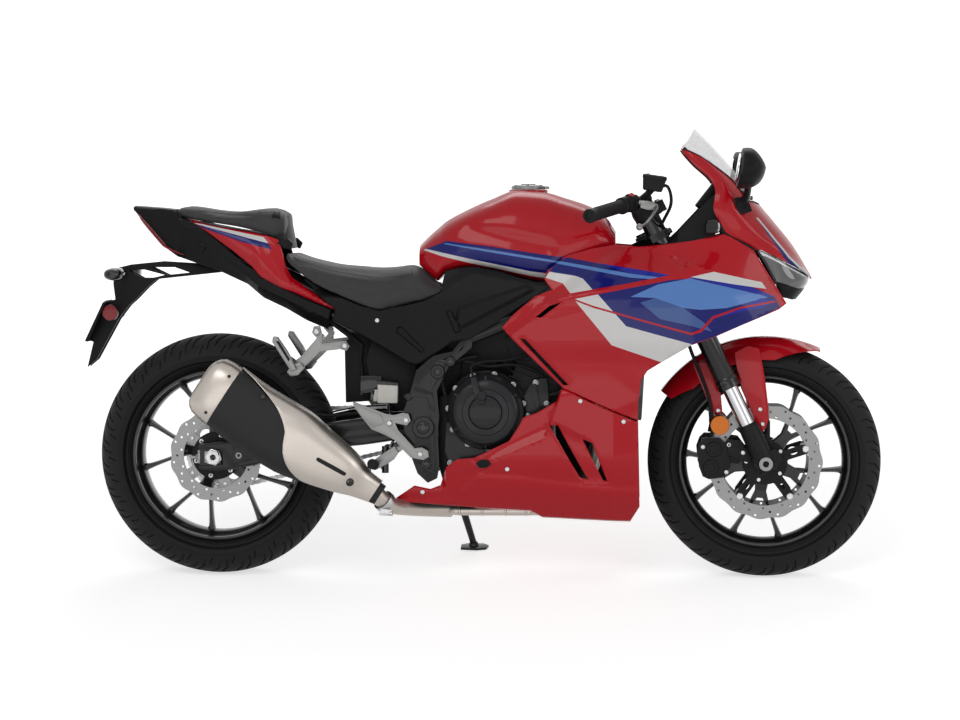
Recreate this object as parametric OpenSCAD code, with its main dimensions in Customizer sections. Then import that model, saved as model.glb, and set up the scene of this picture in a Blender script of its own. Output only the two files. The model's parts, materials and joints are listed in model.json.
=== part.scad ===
// Sport bike parked on its side stand. Millimetres.
// Built upright: +X forward, +Y rider's left, ground at z = 0, then laid over
// onto the stand by park().

/* [View] */
// sub-part to draw, or all

/* [Stance] */
// lean of the parked bike towards its side stand, degrees
lean = 10; // [6:0.5:14]
// distance between the wheel axles
wheelbase = 1410; // [1380:5:1440]
// sideways reach of the stand foot from the centre plane
foot_y = 232; // [200:2:260]

/* [Wheels] */
// front tyre outer radius
front_r = 300; // [290:1:305]
// rear tyre outer radius
rear_r = 312; // [300:1:318]
// front brake disc radius
front_disc_r = 148; // [130:1:155]
// rear brake disc radius
rear_disc_r = 120; // [100:1:125]

/* [Panels] */
// thickness of the moulded panels
panel_t = 5; // [3:0.5:8]
// thickness of the windscreen
screen_t = 3.5; // [3:0.5:5]

/* [Fork] */
// sideways distance of each fork leg from the centre plane
leg_y = 105; // [100:1:110]
// radius of the fork's outer tube
leg_r = 27; // [24:0.5:29]
// radius of the fork's inner tube
slider_r = 20.5; // [18:0.5:22]

/* [Hidden] */
rake = 25.5;
xf = wheelbase / 2;
xr = -wheelbase / 2;
zr = rear_r + 0.3;
zf = front_r;
lift = 1.0;
ctr_x = -22.5;
ctr_y = 173.94;
st_x = 807;
ax_lx = 37.1;
ax_lz = 314.7;
fine = 40;

// ---------- helpers ----------
function lerp(a, b, t) = a + (b - a) * t;
function sum3(l, i = 0, s = [0, 0, 0]) = i == len(l) ? s : sum3(l, i + 1, s + l[i]);
function cen(l) = sum3(l) / len(l);
function flat(l) = [for (a = l) each a];
function turned(l) = [for (i = [len(l) - 1:-1:0]) l[i]];
function sixvol(p, f) = [for (t = f) p[t[0]] * cross(p[t[1]], p[t[2]])];
function total(l, i = 0, s = 0) = i == len(l) ? s : total(l, i + 1, s + l[i]);
function sgn_pow(v, e) = sign(v) * pow(abs(v), e);

module body3(p, f) {
  up = total(sixvol(p, f)) > 0;
  polyhedron(points = p, faces = [for (t = f) up ? [t[0], t[2], t[1]] : t]);
}

// closed solid through rings of equal count
module loft(rings) {
  n = len(rings[0]);
  m = len(rings);
  p = concat(flat(rings), [cen(rings[0]), cen(rings[m - 1])]);
  f = concat(
    [for (i = [0:m - 2]) for (j = [0:n - 1]) each [
      [i * n + j, i * n + (j + 1) % n, (i + 1) * n + (j + 1) % n],
      [i * n + j, (i + 1) * n + (j + 1) % n, (i + 1) * n + j]]],
    [for (j = [0:n - 1]) each [
      [m * n, (j + 1) % n, j],
      [m * n + 1, (m - 1) * n + j, (m - 1) * n + (j + 1) % n]]]);
  body3(p, f);
}

// closed sheet between an outer and an inner grid of points
module sheet(g, h) {
  m = len(g);
  k = len(g[0]);
  o = m * k;
  p = concat(flat(g), flat(h));
  f = concat(
    [for (i = [0:m - 2]) for (j = [0:k - 2])
      let (a = i * k + j, b = a + 1, d = a + k, c = d + 1)
      each [[a, b, c], [a, c, d], [a + o, c + o, b + o], [a + o, d + o, c + o]]],
    [for (i = [0:m - 2])
      let (a = i * k, d = a + k, b = a + k - 1, c = d + k - 1)
      each [[a, d, d + o], [a, d + o, a + o], [c, b, b + o], [c, b + o, c + o]]],
    [for (j = [0:k - 2])
      let (a = j, b = j + 1, d = (m - 1) * k + j, c = d + 1)
      each [[b, a, a + o], [b, a + o, b + o], [d, c, c + o], [d, c + o, d + o]]]);
  body3(p, f);
}

// round bar between two points
module bar(a, b, r, r2 = -1) {
  v = b - a;
  l = norm(v);
  translate(a) rotate([0, acos(v[2] / l), atan2(v[1], v[0])])
    cylinder(r1 = r, r2 = r2 < 0 ? r : r2, h = l, $fn = fine);
}

// bent pipe through points, one faceted solid
function along(p, i) = i == 0 ? p[1] - p[0]
  : i == len(p) - 1 ? p[i] - p[i - 1]
  : (p[i] - p[i - 1]) / norm(p[i] - p[i - 1]) + (p[i + 1] - p[i]) / norm(p[i + 1] - p[i]);
function ring(c, d, r, s, n) =
  let (e = d / norm(d), k = abs(e[1]) < 0.85 ? [0, 1, 0] : [1, 0, 0],
    u = cross(k, e) / norm(cross(k, e)), w = cross(e, u))
  [for (j = [0:n - 1]) c + u * r * cos(360 * j / n) + w * s * sin(360 * j / n)];
module pipe(p, r, s = 0, n = 12) {
  loft([for (i = [0:len(p) - 1]) ring(p[i], along(p, i), r, s == 0 ? r : s, n)]);
}

// flat plate from an outline in x and z, between two y values
module plate(o, y0, y1) {
  translate([0, y1, 0]) rotate([90, 0, 0]) linear_extrude(y1 - y0) polygon(o);
}

module both() {
  children();
  mirror([0, 1, 0]) children();
}

module park() {
  translate([-ctr_x, -ctr_y, lift]) rotate([-lean, 0, 0]) children();
}

// along the steering axis: local z up the axis, local x forward
module steer() {
  translate([st_x, 0, 0]) rotate([0, -rake, 0]) children();
}
function up(x, y, z) = [st_x + x * cos(rake) - z * sin(rake), y, x * sin(rake) + z * cos(rake)];

module spin(x, z, y = 0) {
  translate([x, y, z]) rotate([90, 0, 0]) children();
}

// ---------- body shape ----------
// half width of the bodywork: one row of stations per height
XS = [-260, 0, 150, 300, 450, 600, 680, 760];
WZ = [[150, [100, 120, 122, 125, 120, 100, 90, 80]],
  [240, [140, 168, 174, 176, 165, 140, 120, 100]],
  [330, [165, 192, 200, 200, 180, 150, 130, 110]],
  [450, [180, 188, 196, 200, 185, 160, 140, 120]],
  [550, [186, 192, 202, 206, 200, 182, 160, 125]],
  [620, [186, 196, 214, 221, 214, 188, 165, 125]],
  [700, [180, 198, 217, 224, 216, 188, 160, 118]],
  [780, [165, 182, 198, 204, 196, 168, 138, 95]],
  [850, [150, 155, 160, 161, 158, 144, 124, 80]],
  [900, [145, 150, 152, 152, 150, 134, 112, 70]]];
function row(w, x) = lookup(x, [for (i = [0:len(XS) - 1]) [XS[i], w[i]]]);
function half(x, z) = lookup(z, [for (w = WZ) [w[0], row(w[1], x)]]);

// side panel from columns [x, top, bottom], k steps high; s = 1 left, -1 right
module side(cols, k, s, t, inset = 0) {
  g = [for (c = cols) [for (j = [0:k])
    let (z = lerp(c[1], c[2], j / k)) [c[0], s * (half(c[0], z) - inset), z]]];
  h = [for (q = g) [for (p = q) p - [0, s * t, 0]]];
  sheet(g, h);
}

// ---------- chassis ----------
SPAR = [[-42, 628, 24], [60, 672, 26], [160, 722, 28], [270, 770, 27], [352, 790, 24]];
SPAR_Y = [152, 150, 143, 118, 84];
PIVOT = [-165, 392];

module frame_side() {
  loft([for (i = [0:4])
    let (x = SPAR[i][0], z = SPAR[i][1], h = SPAR[i][2], y = SPAR_Y[i])
    [[x, y - 12, z - h], [x, y + 4, z - h], [x, y + 9, z - h * 0.5],
      [x, y + 9, z + h * 0.5], [x, y + 4, z + h], [x, y - 12, z + h]]]);
  plate([[-91, 586], [-141, 574], [-183, 538], [-197, 488], [-219, 424], [-212, 360],
    [-190, 300], [-180, 274], [-154, 250], [-130, 262], [-124, 296], [-128, 378],
    [-124, 420], [-130, 485], [-101, 545], [-41, 595], [-38, 640], [-62, 624]], 144, 160);
  bar([-165, 138, 392], [-165, 166, 392], 25);
}

module frame_left() frame_side();
module frame_right() mirror([0, 1, 0]) frame_side();

module steering_head() {
  difference() {
    union() {
      steer() translate([0, 0, 774]) cylinder(r = 29, h = 164, $fn = fine);
      both() loft([for (q = [[430, 12, 772, 52], [395, 40, 782, 40], [356, 76, 790, 26]])
        [[q[0], q[1] - 10, q[2] - q[3]], [q[0], q[1] + 8, q[2] - q[3]],
          [q[0], q[1] + 8, q[2] + q[3]], [q[0], q[1] - 10, q[2] + q[3]]]]);
      both() loft([for (q = [[424, 12, 735, 14], [340, 66, 668, 12], [240, 112, 600, 11]])
        [[q[0], q[1] - 9, q[2] - q[3]], [q[0], q[1] + 9, q[2] - q[3]],
          [q[0], q[1] + 9, q[2] + q[3]], [q[0], q[1] - 9, q[2] + q[3]]]]);
    }
    steer() translate([0, 0, 700]) cylinder(r = 15.05, h = 320, $fn = fine);
  }
}

module subframe() {
  both() pipe([[-190, 131, 560], [-300, 122, 622], [-420, 88, 684], [-560, 68, 772],
    [-700, 52, 842]], 12);
  both() pipe([[-150, 122, 660], [-290, 106, 688], [-420, 92, 722], [-560, 80, 792],
    [-690, 60, 852]], 11);
  for (q = [[-420, 88, 702], [-560, 72, 782]])
    bar([q[0], -q[1], q[2]], [q[0], q[1], q[2]], 9);
  plate([[-420, 706], [-560, 778], [-700, 840], [-700, 852], [-560, 790], [-420, 718]], -60, 60);
  both() bar([-150, 122, 660], [-172, 130, 570], 10);
  both() bar([-62, 132, 628], [-150, 122, 662], 10);
}

module swingarm() {
  difference() {
    union() {
      both() loft([for (q = [[-737, 312, 26, 124, 13], [-690, 313, 36, 124, 15],
          [-620, 322, 34, 124, 15], [-500, 346, 32, 124, 15], [-400, 369, 33, 122, 16],
          [-330, 377, 34, 118, 18], [-250, 384, 30, 112, 17], [-152, 392, 24, 112, 17]])
        [[q[0], q[3] - q[4], q[1] - q[2] + 7], [q[0], q[3] - q[4] + 7, q[1] - q[2]],
          [q[0], q[3] + q[4] - 7, q[1] - q[2]], [q[0], q[3] + q[4], q[1] - q[2] + 7],
          [q[0], q[3] + q[4], q[1] + q[2] - 7], [q[0], q[3] + q[4] - 7, q[1] + q[2]],
          [q[0], q[3] - q[4] + 7, q[1] + q[2]], [q[0], q[3] - q[4], q[1] + q[2] - 7]]]);
      plate([[-366, 350], [-366, 396], [-300, 412], [-262, 398], [-262, 366], [-300, 350]], -105, 105);
      bar([-165, -130, 392], [-165, 130, 392], 23);
    }
    spin(xr, zr, 150) cylinder(r = 12.55, h = 300, $fn = fine);
    both() translate([-640, 150, 317]) rotate([90, 0, 0]) cylinder(r = 4, h = 33, $fn = fine);
    plate([[-158, 370], [-120, 370], [-120, 440], [-250, 446], [-320, 440],
      [-380, 440], [-380, 408], [-250, 408]], 78, 108);
    plate([[-120, 340], [-240, 330], [-380, 300], [-380, 345], [-250, 376], [-120, 384]], 78, 94.9);
  }
}

module engine() {
  difference() {
    plate([[-128, 470], [-132, 300], [-108, 215], [-60, 198], [150, 202], [168, 300],
      [160, 420], [60, 455], [-20, 480]], -118, 118);
    translate([-200, 80, 330]) cube([166, 60, 200]);
  }
  difference() {
    translate([100, 0, 430]) rotate([0, 20, 0]) translate([-78, -118, 0]) cube([150, 236, 190]);
    translate([100, 0, 430]) rotate([0, 20, 0]) for (z = [30:22:96])
      translate([-90, -130, z]) cube([20, 260, 6]);
  }
  translate([100, 0, 430]) rotate([0, 20, 0]) translate([-70, -112, 189]) cube([134, 224, 34]);
  both() bar([45, 80, 560], [-60, 80, 620], 24);
  bar(PIV - HN * 40, PIV - HN * 7, 14);
  bar(PIV - HN * 10, PIV + HN * 12, 8);
  bar(PIV + HN * 6.6, PIV + HN * 11, 12.5);
}

module engine_covers() {
  translate([-6, -118.5, 432]) rotate([90, 0, 0]) {
    cylinder(r = 104, h = 44, $fn = 64);
    translate([0, 0, 44]) cylinder(r1 = 98, r2 = 88, h = 18, $fn = 64);
    cylinder(r = 60, h = 66, $fn = 64);
  }
  plate([[-104, 310], [-90, 272], [60, 262], [136, 274], [136, 380], [90, 380]], -148, -118.5);
  translate([60, 118.5, 350]) rotate([-90, 0, 0]) {
    cylinder(r = 92, h = 36, $fn = 64);
    translate([0, 0, 36]) cylinder(r1 = 86, r2 = 72, h = 20, $fn = 64);
  }
  plate([[-108, 350], [-108, 448], [-50, 456], [-10, 430], [-20, 350], [-80, 322]], 118.5, 140);
}

module radiator() {
  loft([for (y = [-150, -100, -50, 0, 50, 100, 150])
    let (d = 26 * pow(y / 150, 2))
    [[334 + d, y, 425], [364 + d, y, 415], [378 + d, y, 655], [348 + d, y, 665]]]);
  both() bar([352, 110, 420], [340, 110, 405], 12);
}

module exhaust_pipes() {
  for (y = [-45, 45])
    pipe([[242, y, 512], [266, y, 496], [282, y, 440], [272, y, 320], [236, y * 0.8, 234],
      [180, y * 0.7, 180], [100, y * 0.7, 174]], 19, n = 14);
  loft([for (q = [[122, 50, 8], [104, 66, 13], [-90, 66, 13], [-112, 50, 9]])
    [[q[0], -q[1] + 8, 169 - q[2]], [q[0], q[1] - 8, 169 - q[2]], [q[0], q[1], 169 - q[2] + 6],
      [q[0], q[1], 169 + q[2] - 4], [q[0], q[1] - 8, 169 + q[2]], [q[0], -q[1] + 8, 169 + q[2]],
      [q[0], -q[1], 169 + q[2] - 4], [q[0], -q[1], 169 - q[2] + 6]]]);
  midpipe(24);
}
module midpipe(r) {
  pipe([[-104, -30, 166], [-160, -66, 166], [-215, -122, 170], [-248, -164, 188],
    [-272, -190, 214], [-292, -203, 236]], r, n = 14);
}

// silencer stations along its own axis: [x, y, z, half height, half width]
SIL = [[-272, -196, 222, 27, 27], [-318, -204, 250, 34, 34], [-352, -210, 274, 50, 50],
  [-430, -216, 318, 72, 62], [-506, -220, 365, 86, 68], [-600, -222, 424, 84, 68],
  [-700, -226, 500, 79, 64], [-724, -226, 514, 66, 54]];
function silring(q, n = 20) = [for (j = [0:n - 1])
  let (c = sgn_pow(cos(360 * j / n), 0.75), s = sgn_pow(sin(360 * j / n), 0.75))
  [q[0] + 0.545 * q[3] * s, q[1] + q[4] * c, q[2] + 0.838 * q[3] * s]];
module silencer() {
  difference() {
    loft([for (q = SIL) silring(q)]);
    translate([-732, -226, 519]) rotate([0, -57, 0]) translate([0, 0, -60])
      cylinder(r = 30, h = 100, $fn = fine);
    midpipe(24.15);
  }
  bar([-420, -150, 372], [-420, -190, 352], 9);
}

function silpt(q, a, o) = let (c = sgn_pow(cos(a), 0.75), t = sgn_pow(sin(a), 0.75))
  [q[0] + 0.545 * (q[3] + o) * t, q[1] + (q[4] + o) * c, q[2] + 0.838 * (q[3] + o) * t];
module silencer_guard() {
  G = [[[-285, -198, 230, 29, 29], 70, 226], [SIL[1], 60, 240], [SIL[2], 62, 240], [SIL[3], 72, 232],
    [[-470, -218, 342, 80, 66], 76, 206], [SIL[4], 80, 182], [[-555, -221, 396, 85, 68], 82, 150],
    [SIL[5], 82, 120], [[-640, -223, 452, 82, 67], 80, 96]];
  g = [for (q = G) [for (k = [0:8]) silpt(q[0], lerp(q[1], q[2], k / 8), 8)]];
  h = [for (q = G) [for (k = [0:8]) silpt(q[0], lerp(q[1], q[2], k / 8), 3.5)]];
  sheet(g, h);
}

module side_covers() {
  both() side([[-470, 766, 758], [-427, 740, 718], [-403, 729, 694], [-400, 728, 662],
    [-338, 702, 632], [-281, 682, 602], [-244, 688, 580], [-203, 698, 557], [-180, 702, 552],
    [-140, 716, 578], [-121, 728, 590], [-115, 786, 593], [-92, 792, 612], [-54, 800, 616],
    [-43, 801, 618], [20, 791, 658], [80, 773, 698], [120, 763, 726], [158, 757, 752]],
    4, 1, panel_t, 22);
}

// ---------- tank and seats ----------
TANK = [[-186, 806, 846, 66], [-164, 786, 868, 86], [-147, 770, 884, 98], [-133, 762, 896, 106],
  [-114, 784, 912, 114], [-73, 790, 935, 128], [6, 792, 971, 146],
  [70, 784, 993, 150], [138, 776, 988, 150], [191, 800, 973, 148], [259, 822, 949, 140],
  [300, 834, 918, 122], [326, 842, 878, 96]];
function tankring(q) = let (c = (q[1] + q[2]) / 2 - 8, h = q[2] - c, b = c - q[1])
  [for (j = [0:19]) let (a = 18 * j)
    [q[0], q[3] * sgn_pow(cos(a), 0.62), c + (sin(a) > 0 ? h : b) * sgn_pow(sin(a), 0.8)]];
module fuel_tank() {
  difference() {
    union() {
      loft([for (q = TANK) tankring(q)]);
      translate([96, 0, 955]) cylinder(r = 47, h = 41, $fn = 48);
    }
    translate([96, 0, 930]) cylinder(r = 26, h = 80, $fn = fine);
  }
  plate([[60, 770], [60, 790], [140, 790], [150, 764], [100, 752]], -98, 98);
}

module fuel_cap() {
  difference() {
    translate([96, 0, 997]) union() {
      cylinder(r = 44, h = 9, $fn = 48);
      translate([0, 0, 9]) cylinder(r1 = 40, r2 = 34, h = 3, $fn = 48);
      translate([38, -9, 0]) cube([16, 18, 9]);
    }
    translate([146, -20, 1001.5]) rotate([-90, 0, 0]) cylinder(r = 1.5, h = 40, $fn = fine);
  }
}

RSEAT = [[-520, 834, 824, 118], [-507, 829, 810, 130], [-468, 816, 776, 142], [-427, 806, 750, 147],
  [-386, 798, 732, 148], [-326, 793, 707, 146], [-281, 790, 692, 140], [-244, 792, 698, 134],
  [-204, 797, 708, 130], [-186, 795, 712, 130], [-162, 772, 717, 130], [-140, 754, 727, 130],
  [-120, 746, 738, 128]];
module rider_seat() {
  U = [-1, -0.97, -0.86, -0.62, -0.3, 0, 0.3, 0.62, 0.86, 0.97, 1];
  D = [1, 0.55, 0.22, 0.07, 0.01, 0, 0.01, 0.07, 0.22, 0.55, 1];
  T = [12, 14, 26, 44, 50, 52, 50, 44, 26, 14, 12];
  g = [for (q = RSEAT) [for (j = [0:10]) [q[0], q[3] * U[j], lerp(q[1], q[2], D[j])]]];
  h = [for (q = RSEAT) [for (j = [0:10]) let (f = q[0] < -510 || q[0] > -165 ? 0.35 : 1)
    [q[0], (q[3] - (abs(U[j]) > 0.8 ? 12 : 0)) * U[j], lerp(q[1], q[2], D[j]) - T[j] * f
      + (abs(U[j]) > 0.96 ? 8 * f : 0)]]];
  sheet(g, h);
}

module pillion_seat() {
  loft([for (q = [[-806, 930, 950, 62], [-774, 921, 949, 84], [-700, 909, 941, 100],
      [-645, 900, 936, 108], [-574, 881, 943, 112], [-540, 872, 944, 110], [-524, 876, 938, 102]])
    [for (a = [0:22.5:337.5]) [q[0], q[3] * sgn_pow(cos(a), 0.6),
      (q[1] + q[2]) / 2 + (q[2] - q[1]) / 2 * sgn_pow(sin(a), 0.7)]]]);
}

// ---------- tail ----------
TC = [[-414, 692, 640, 115, 88], [-469, 713, 662, 118, 88], [-520, 735, 694, 119, 86],
  [-586, 767, 722, 116, 82], [-623, 800, 754, 111, 78], [-698, 858, 788, 100, 70],
  [-771, 908, 812, 85, 60], [-804, 914, 822, 78, 54]];
module tail_cowl() {
  g = [for (q = TC) [for (u = [-1, -0.93, -0.8, 0, 0.8, 0.93, 1])
    let (a = abs(u)) [q[0], (a == 1 ? q[3] : a > 0.9 ? (q[3] + q[4]) / 2 : a > 0.5 ? q[4] : 0) * sign(u),
      a == 1 ? q[1] : a > 0.9 ? lerp(q[1], q[2], 0.62) : q[2]]]];
  h = [for (r = g) [for (p = r) p + [0, -sign(p[1]) * 4, 4]]];
  sheet(g, h);
  plate([[-519, 938], [-512, 938], [-503, 880], [-498, 846], [-508, 844], [-514, 880]], -100, 100);
  both() plate([[-545, 860], [-508, 844], [-503, 858], [-519, 872]], 96, 113);
  loft([for (q = [[-820, 930, 944, 66], [-862, 930, 947, 60], [-907, 932, 952, 48], [-926, 944, 953, 36]])
    [[q[0], -q[3], q[1]], [q[0], q[3], q[1]], [q[0], q[3] - 6, q[2]], [q[0], -q[3] + 6, q[2]]]]);
}

module tail_panels() {
  P = [[-768, 918, 914, 86], [-727, 908, 889, 98], [-660, 895, 842, 108], [-608, 886, 800, 113],
    [-586, 882, 774, 116], [-556, 862, 758, 119], [-532, 806, 746, 123], [-505, 768, 736, 124],
    [-460, 742, 716, 124], [-420, 712, 699, 121], [-396, 698, 690, 118]];
  g = [for (q = P) [for (j = [0:4]) let (z = lerp(q[1], q[2], j / 4))
    [q[0], q[3] + 6 * sin(j * 45) + (j < 2 ? -6 + 3 * j : 0), z]]];
  both() sheet(g, [for (r = g) [for (p = r) p - [0, panel_t, 0]]]);
}

module tail_light() {
  loft([for (q = [[0, 62], [8, 66], [26, 62]])
    [[-808 - q[0] * 0.2, -q[1], 845], [-808 - q[0] * 0.2, q[1], 845],
      [-838 - q[0] * 0.3, q[1], 846 + q[0] * 0.2], [-896 - q[0] * 0.2, q[1] - 8, 918],
      [-896 - q[0] * 0.2, -q[1] + 8, 918], [-838 - q[0] * 0.3, -q[1], 846 + q[0] * 0.2]]]);
}

module plate_hanger() {
  difference() {
    union() {
      plate([[-854, 811], [-934, 803], [-980, 792], [-981, 751], [-976, 712], [-1000, 707],
        [-1048, 606], [-1034, 602], [-1050, 536], [-1026, 556], [-968, 661], [-940, 697],
        [-922, 713], [-892, 744], [-867, 765], [-700, 783], [-700, 788], [-770, 806]], -26, 26);
      plate([[-1000, 707], [-1048, 606], [-1042, 603], [-994, 704]], -75, 75);
    }
    for (y = [-62, 62]) translate([-1021, y, 655]) rotate([0, -64.6, 0])
      translate([0, 0, -20]) cylinder(r = 3.2, h = 40, $fn = fine);
  }
  spin(-984, 679, 64) cylinder(r = 20, h = 5, $fn = fine);
  spin(-984, 679, -59) cylinder(r = 20, h = 5, $fn = fine);
  bar([-984, -60, 679], [-984, 60, 679], 6);
}

module rear_indicators() {
  both() {
    bar([-952, 27, 780], [-956, 96, 780], 7);
    loft([for (q = [[92, 12, 9], [110, 20, 14], [168, 18, 12], [180, 9, 7]])
      [for (a = [0:45:315]) [-956 + q[1] * cos(a), q[0], 780 + q[2] * sin(a)]]]);
  }
}

// ---------- front bodywork ----------
FAIR = [[36, 654, 646], [66, 682, 616], [120, 728, 562], [143, 770, 542], [197, 829, 493],
  [260, 846, 464], [323, 858, 436], [381, 852, 415]];
FAIR2 = [[381, 852, 470], [388, 852, 516], [404, 854, 540], [440, 857, 562], [512, 866, 604],
  [577, 880, 627], [600, 884, 638], [640, 862, 654], [672, 843, 667], [715, 775, 686],
  [750, 712, 700]];
module fairing(s) {
  side(concat(FAIR, [for (i = [1:len(FAIR2) - 1]) FAIR2[i]]), 8, s, panel_t);
}
module fairing_left() fairing(1);
module fairing_right() fairing(-1);

TIP = [[-226, 214, 206, 118], [-189, 238, 200, 112], [-148, 234, 196, 108], [-116, 258, 193, 100],
  [-106, 292, 191, 90], [-78, 313, 189, 84]];
BELLY = [[-34, 317, 187, 84], [54, 360, 182, 84],
  [84, 404, 180, 84], [124, 432, 168, 84], [175, 463, 163, 78], [186, 486, 162, 70],
  [260, 455, 159, 40], [334, 424, 157, 30], [364, 411, 157, 24], [382, 406, 190, 24]];
module belly(s) {
  g = [for (q = concat(s < 0 ? TIP : [], BELLY)) concat([for (j = [0:6]) let (z = lerp(q[1], q[2], j / 6))
    [q[0], s * half(q[0], z), z]], [[q[0], s * q[3], q[2] - 5]])];
  h = [for (r = g) [for (j = [0:7]) r[j] + [0, j < 7 ? -s * panel_t : 0, j > 5 ? 6 : 0]]];
  sheet(g, h);
}
module belly_left() belly(1);
module belly_right() belly(-1);

XF = [[1155, 527], [1110, 573], [1060, 617], [1010, 653], [987, 668], [961, 686], [906, 732],
  [853, 774], [800, 806], [765, 823], [737, 806], [715, 788]];
XE = [[1155, 470], [1102, 486], [1063, 517], [1013, 568], [991, 575], [950, 570], [905, 592],
  [886, 604], [845, 676], [765, 726], [715, 748]];
YE = [[1155, 84], [1102, 116], [1050, 130], [990, 140], [950, 145], [897, 140], [850, 124],
  [765, 100], [715, 92]];
function onnose(z, u, d = 0) =
  let (e = lookup(z, XE), f = lookup(z, XF), y = lookup(z, YE))
  [e + (f - e) * pow(cos(90 * u), 0.9) - d * cos(70 * u), (y - d * abs(sin(90 * u))) * sin(90 * u), z];
NU = [-1, -0.9, -0.8, -0.68, -0.6, -0.45, -0.3, -0.15, 0, 0.15, 0.3, 0.45, 0.6, 0.68, 0.8, 0.9, 1];
function nose_top(u) = lookup(abs(u), [[0, 955], [0.45, 962], [0.6, 978], [0.68, 1052], [0.8, 1084], [1, 1100]]);
function nose_low(u) = lookup(abs(u), [[0, 768], [0.3, 786], [0.5, 801], [0.68, 818], [0.83, 857], [0.93, 864], [1, 892]]);
module nose_cowl() {
  g = [for (u = NU) [for (j = [0:7]) onnose(lerp(nose_top(u), nose_low(u), j / 7), u)]];
  h = [for (u = NU) [for (j = [0:7]) onnose(lerp(nose_top(u), nose_low(u), j / 7), u, 5)]];
  sheet(g, h);
  lo = [for (u = [-0.95, -0.7, -0.45, -0.2, 0, 0.2, 0.45, 0.7, 0.95]) [for (z = [745, 730, 716]) onnose(z, u)]];
  li = [for (u = [-0.95, -0.7, -0.45, -0.2, 0, 0.2, 0.45, 0.7, 0.95]) [for (z = [745, 730, 716]) onnose(z, u, 6)]];
  sheet(lo, li);
}
module headlights() {
  U = [0.1, 0.25, 0.4, 0.55, 0.68, 0.8];
  g = [for (u = U) [for (j = [0:4]) onnose(lerp(nose_low(u) - 4, 750, j / 4), u, 2)]];
  h = [for (u = U) [for (j = [0:4]) onnose(lerp(nose_low(u) - 4, 750, j / 4), u, 40) - [18, 0, 0]]];
  both() sheet(g, h);
}
module windscreen() {
  U = [-0.62, -0.5, -0.36, -0.22, -0.08, 0.08, 0.22, 0.36, 0.5, 0.62];
  function st(u) = lookup(abs(u), [[0, 1155], [0.36, 1150], [0.5, 1136], [0.62, 1082]]);
  g = [for (u = U) [for (j = [0:8]) onnose(lerp(st(u), nose_top(u) + 6, j / 8), u)]];
  h = [for (u = U) [for (j = [0:8]) onnose(lerp(st(u), nose_top(u) + 6, j / 8), u, screen_t)]];
  sheet(g, h);
}
module cockpit() {
  translate([560, 0, 985]) rotate([0, 38, 0]) translate([-10, -72, -45]) cube([22, 144, 88]);
  bar([560, 0, 975], [640, 0, 900], 10);
  both() bar([570, 60, 960], [640, 104, 905], 8);
  plate([[600, 895], [680, 880], [690, 890], [610, 906]], -104, 104);
  both() side([[380, 828, 800], [440, 832, 790], [520, 838, 780], [590, 850, 780]], 2, 1, 4, 7);
  both() plate([[640, 882], [648, 882], [604, 985], [596, 985]], 96, 104);
}
module mirrors() {
  both() {
    pipe([[640, 130, 966], [650, 150, 976], [654, 190, 1002], [655, 232, 1030]], 9, n = 10);
    loft([for (q = [[208, 12, 20, 1034], [226, 24, 40, 1040], [300, 28, 50, 1046], [372, 26, 44, 1054],
        [396, 14, 22, 1062]])
      [for (a = [0:30:330]) [655 + (cos(a) > 0 ? 1.25 : 0.6) * q[1] * sgn_pow(cos(a), 0.8), q[0],
        q[3] + q[2] * sgn_pow(sin(a), 0.8)]]]);
  }
}

module footpegs() {
  both() {
    plate([[-150, 340], [-168, 300], [-232, 318], [-276, 286], [-300, 286], [-282, 330],
      [-224, 372], [-240, 440], [-210, 440], [-190, 380]], 168, 176);
    plate([[-344, 458], [-340, 440], [-281, 434], [-222, 424], [-219, 436], [-280, 450]], 168, 174);
    bar([-218, 160.5, 420], [-218, 170, 420], 9);
    bar([-160, 160.5, 325], [-160, 170, 325], 9);
    bar([-290, 174, 298], [-290, 246, 306], 12);
    plate([[-446, 640], [-436, 618], [-372, 590], [-360, 604], [-400, 600], [-470, 556],
      [-485, 539], [-505, 532], [-505, 548], [-478, 566]], 140, 148);
    bar([-490, 146, 541], [-490, 212, 546], 12);
    bar([-428, 118, 620], [-428, 142, 620], 8);
  }
  plate([[-250, 450], [-284, 450], [-284, 505], [-232, 505], [-232, 460]], -140, -100);
}

module chain() {
  R1 = 39;
  R2 = 103;
  c1 = [-85, 396];
  c2 = [xr, zr];
  d = norm(c2 - c1);
  a = atan2(c2[1] - c1[1], c2[0] - c1[0]);
  b = acos((R1 - R2) / d);
  function arc(c, r, s, e, n) = [for (i = [0:n]) c + r * [cos(lerp(s, e, i / n)), sin(lerp(s, e, i / n))]];
  function loopat(e) = concat(arc(c1, R1 + e, a - b, a + b - 360, 12), arc(c2, R2 + e, a + b, a - b, 20));
  translate([0, 104.5, 0]) rotate([90, 0, 0]) linear_extrude(18) difference() {
    polygon(loopat(6));
    polygon(loopat(-6));
  }
  spin(c1[0], c1[1], 97) cylinder(r = R1 - 6.5, h = 6, $fn = fine);
  spin(c1[0], c1[1], 118.3) cylinder(r = 13, h = 22, $fn = fine);
}

module rear_shock() {
  bar([-250, 0, 470], [-228, 0, 560], 34);
  bar([-258, 0, 425], [-218, 0, 610], 16);
  translate([-218, 0, 620]) rotate([90, 0, 0]) cylinder(r = 18, h = 260, center = true, $fn = fine);
}

module rear_axle() {
  difference() {
    spin(xr, zr, 152) cylinder(r = 12.5, h = 304, $fn = fine);
    spin(xr, zr, 153) cylinder(r = 8, h = 306, $fn = fine);
  }
  both() difference() {
    spin(xr, zr, 152) cylinder(r = 19, h = 12, $fn = 6);
    spin(xr, zr, 153) cylinder(r = 12.4, h = 16, $fn = fine);
  }
}

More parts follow.
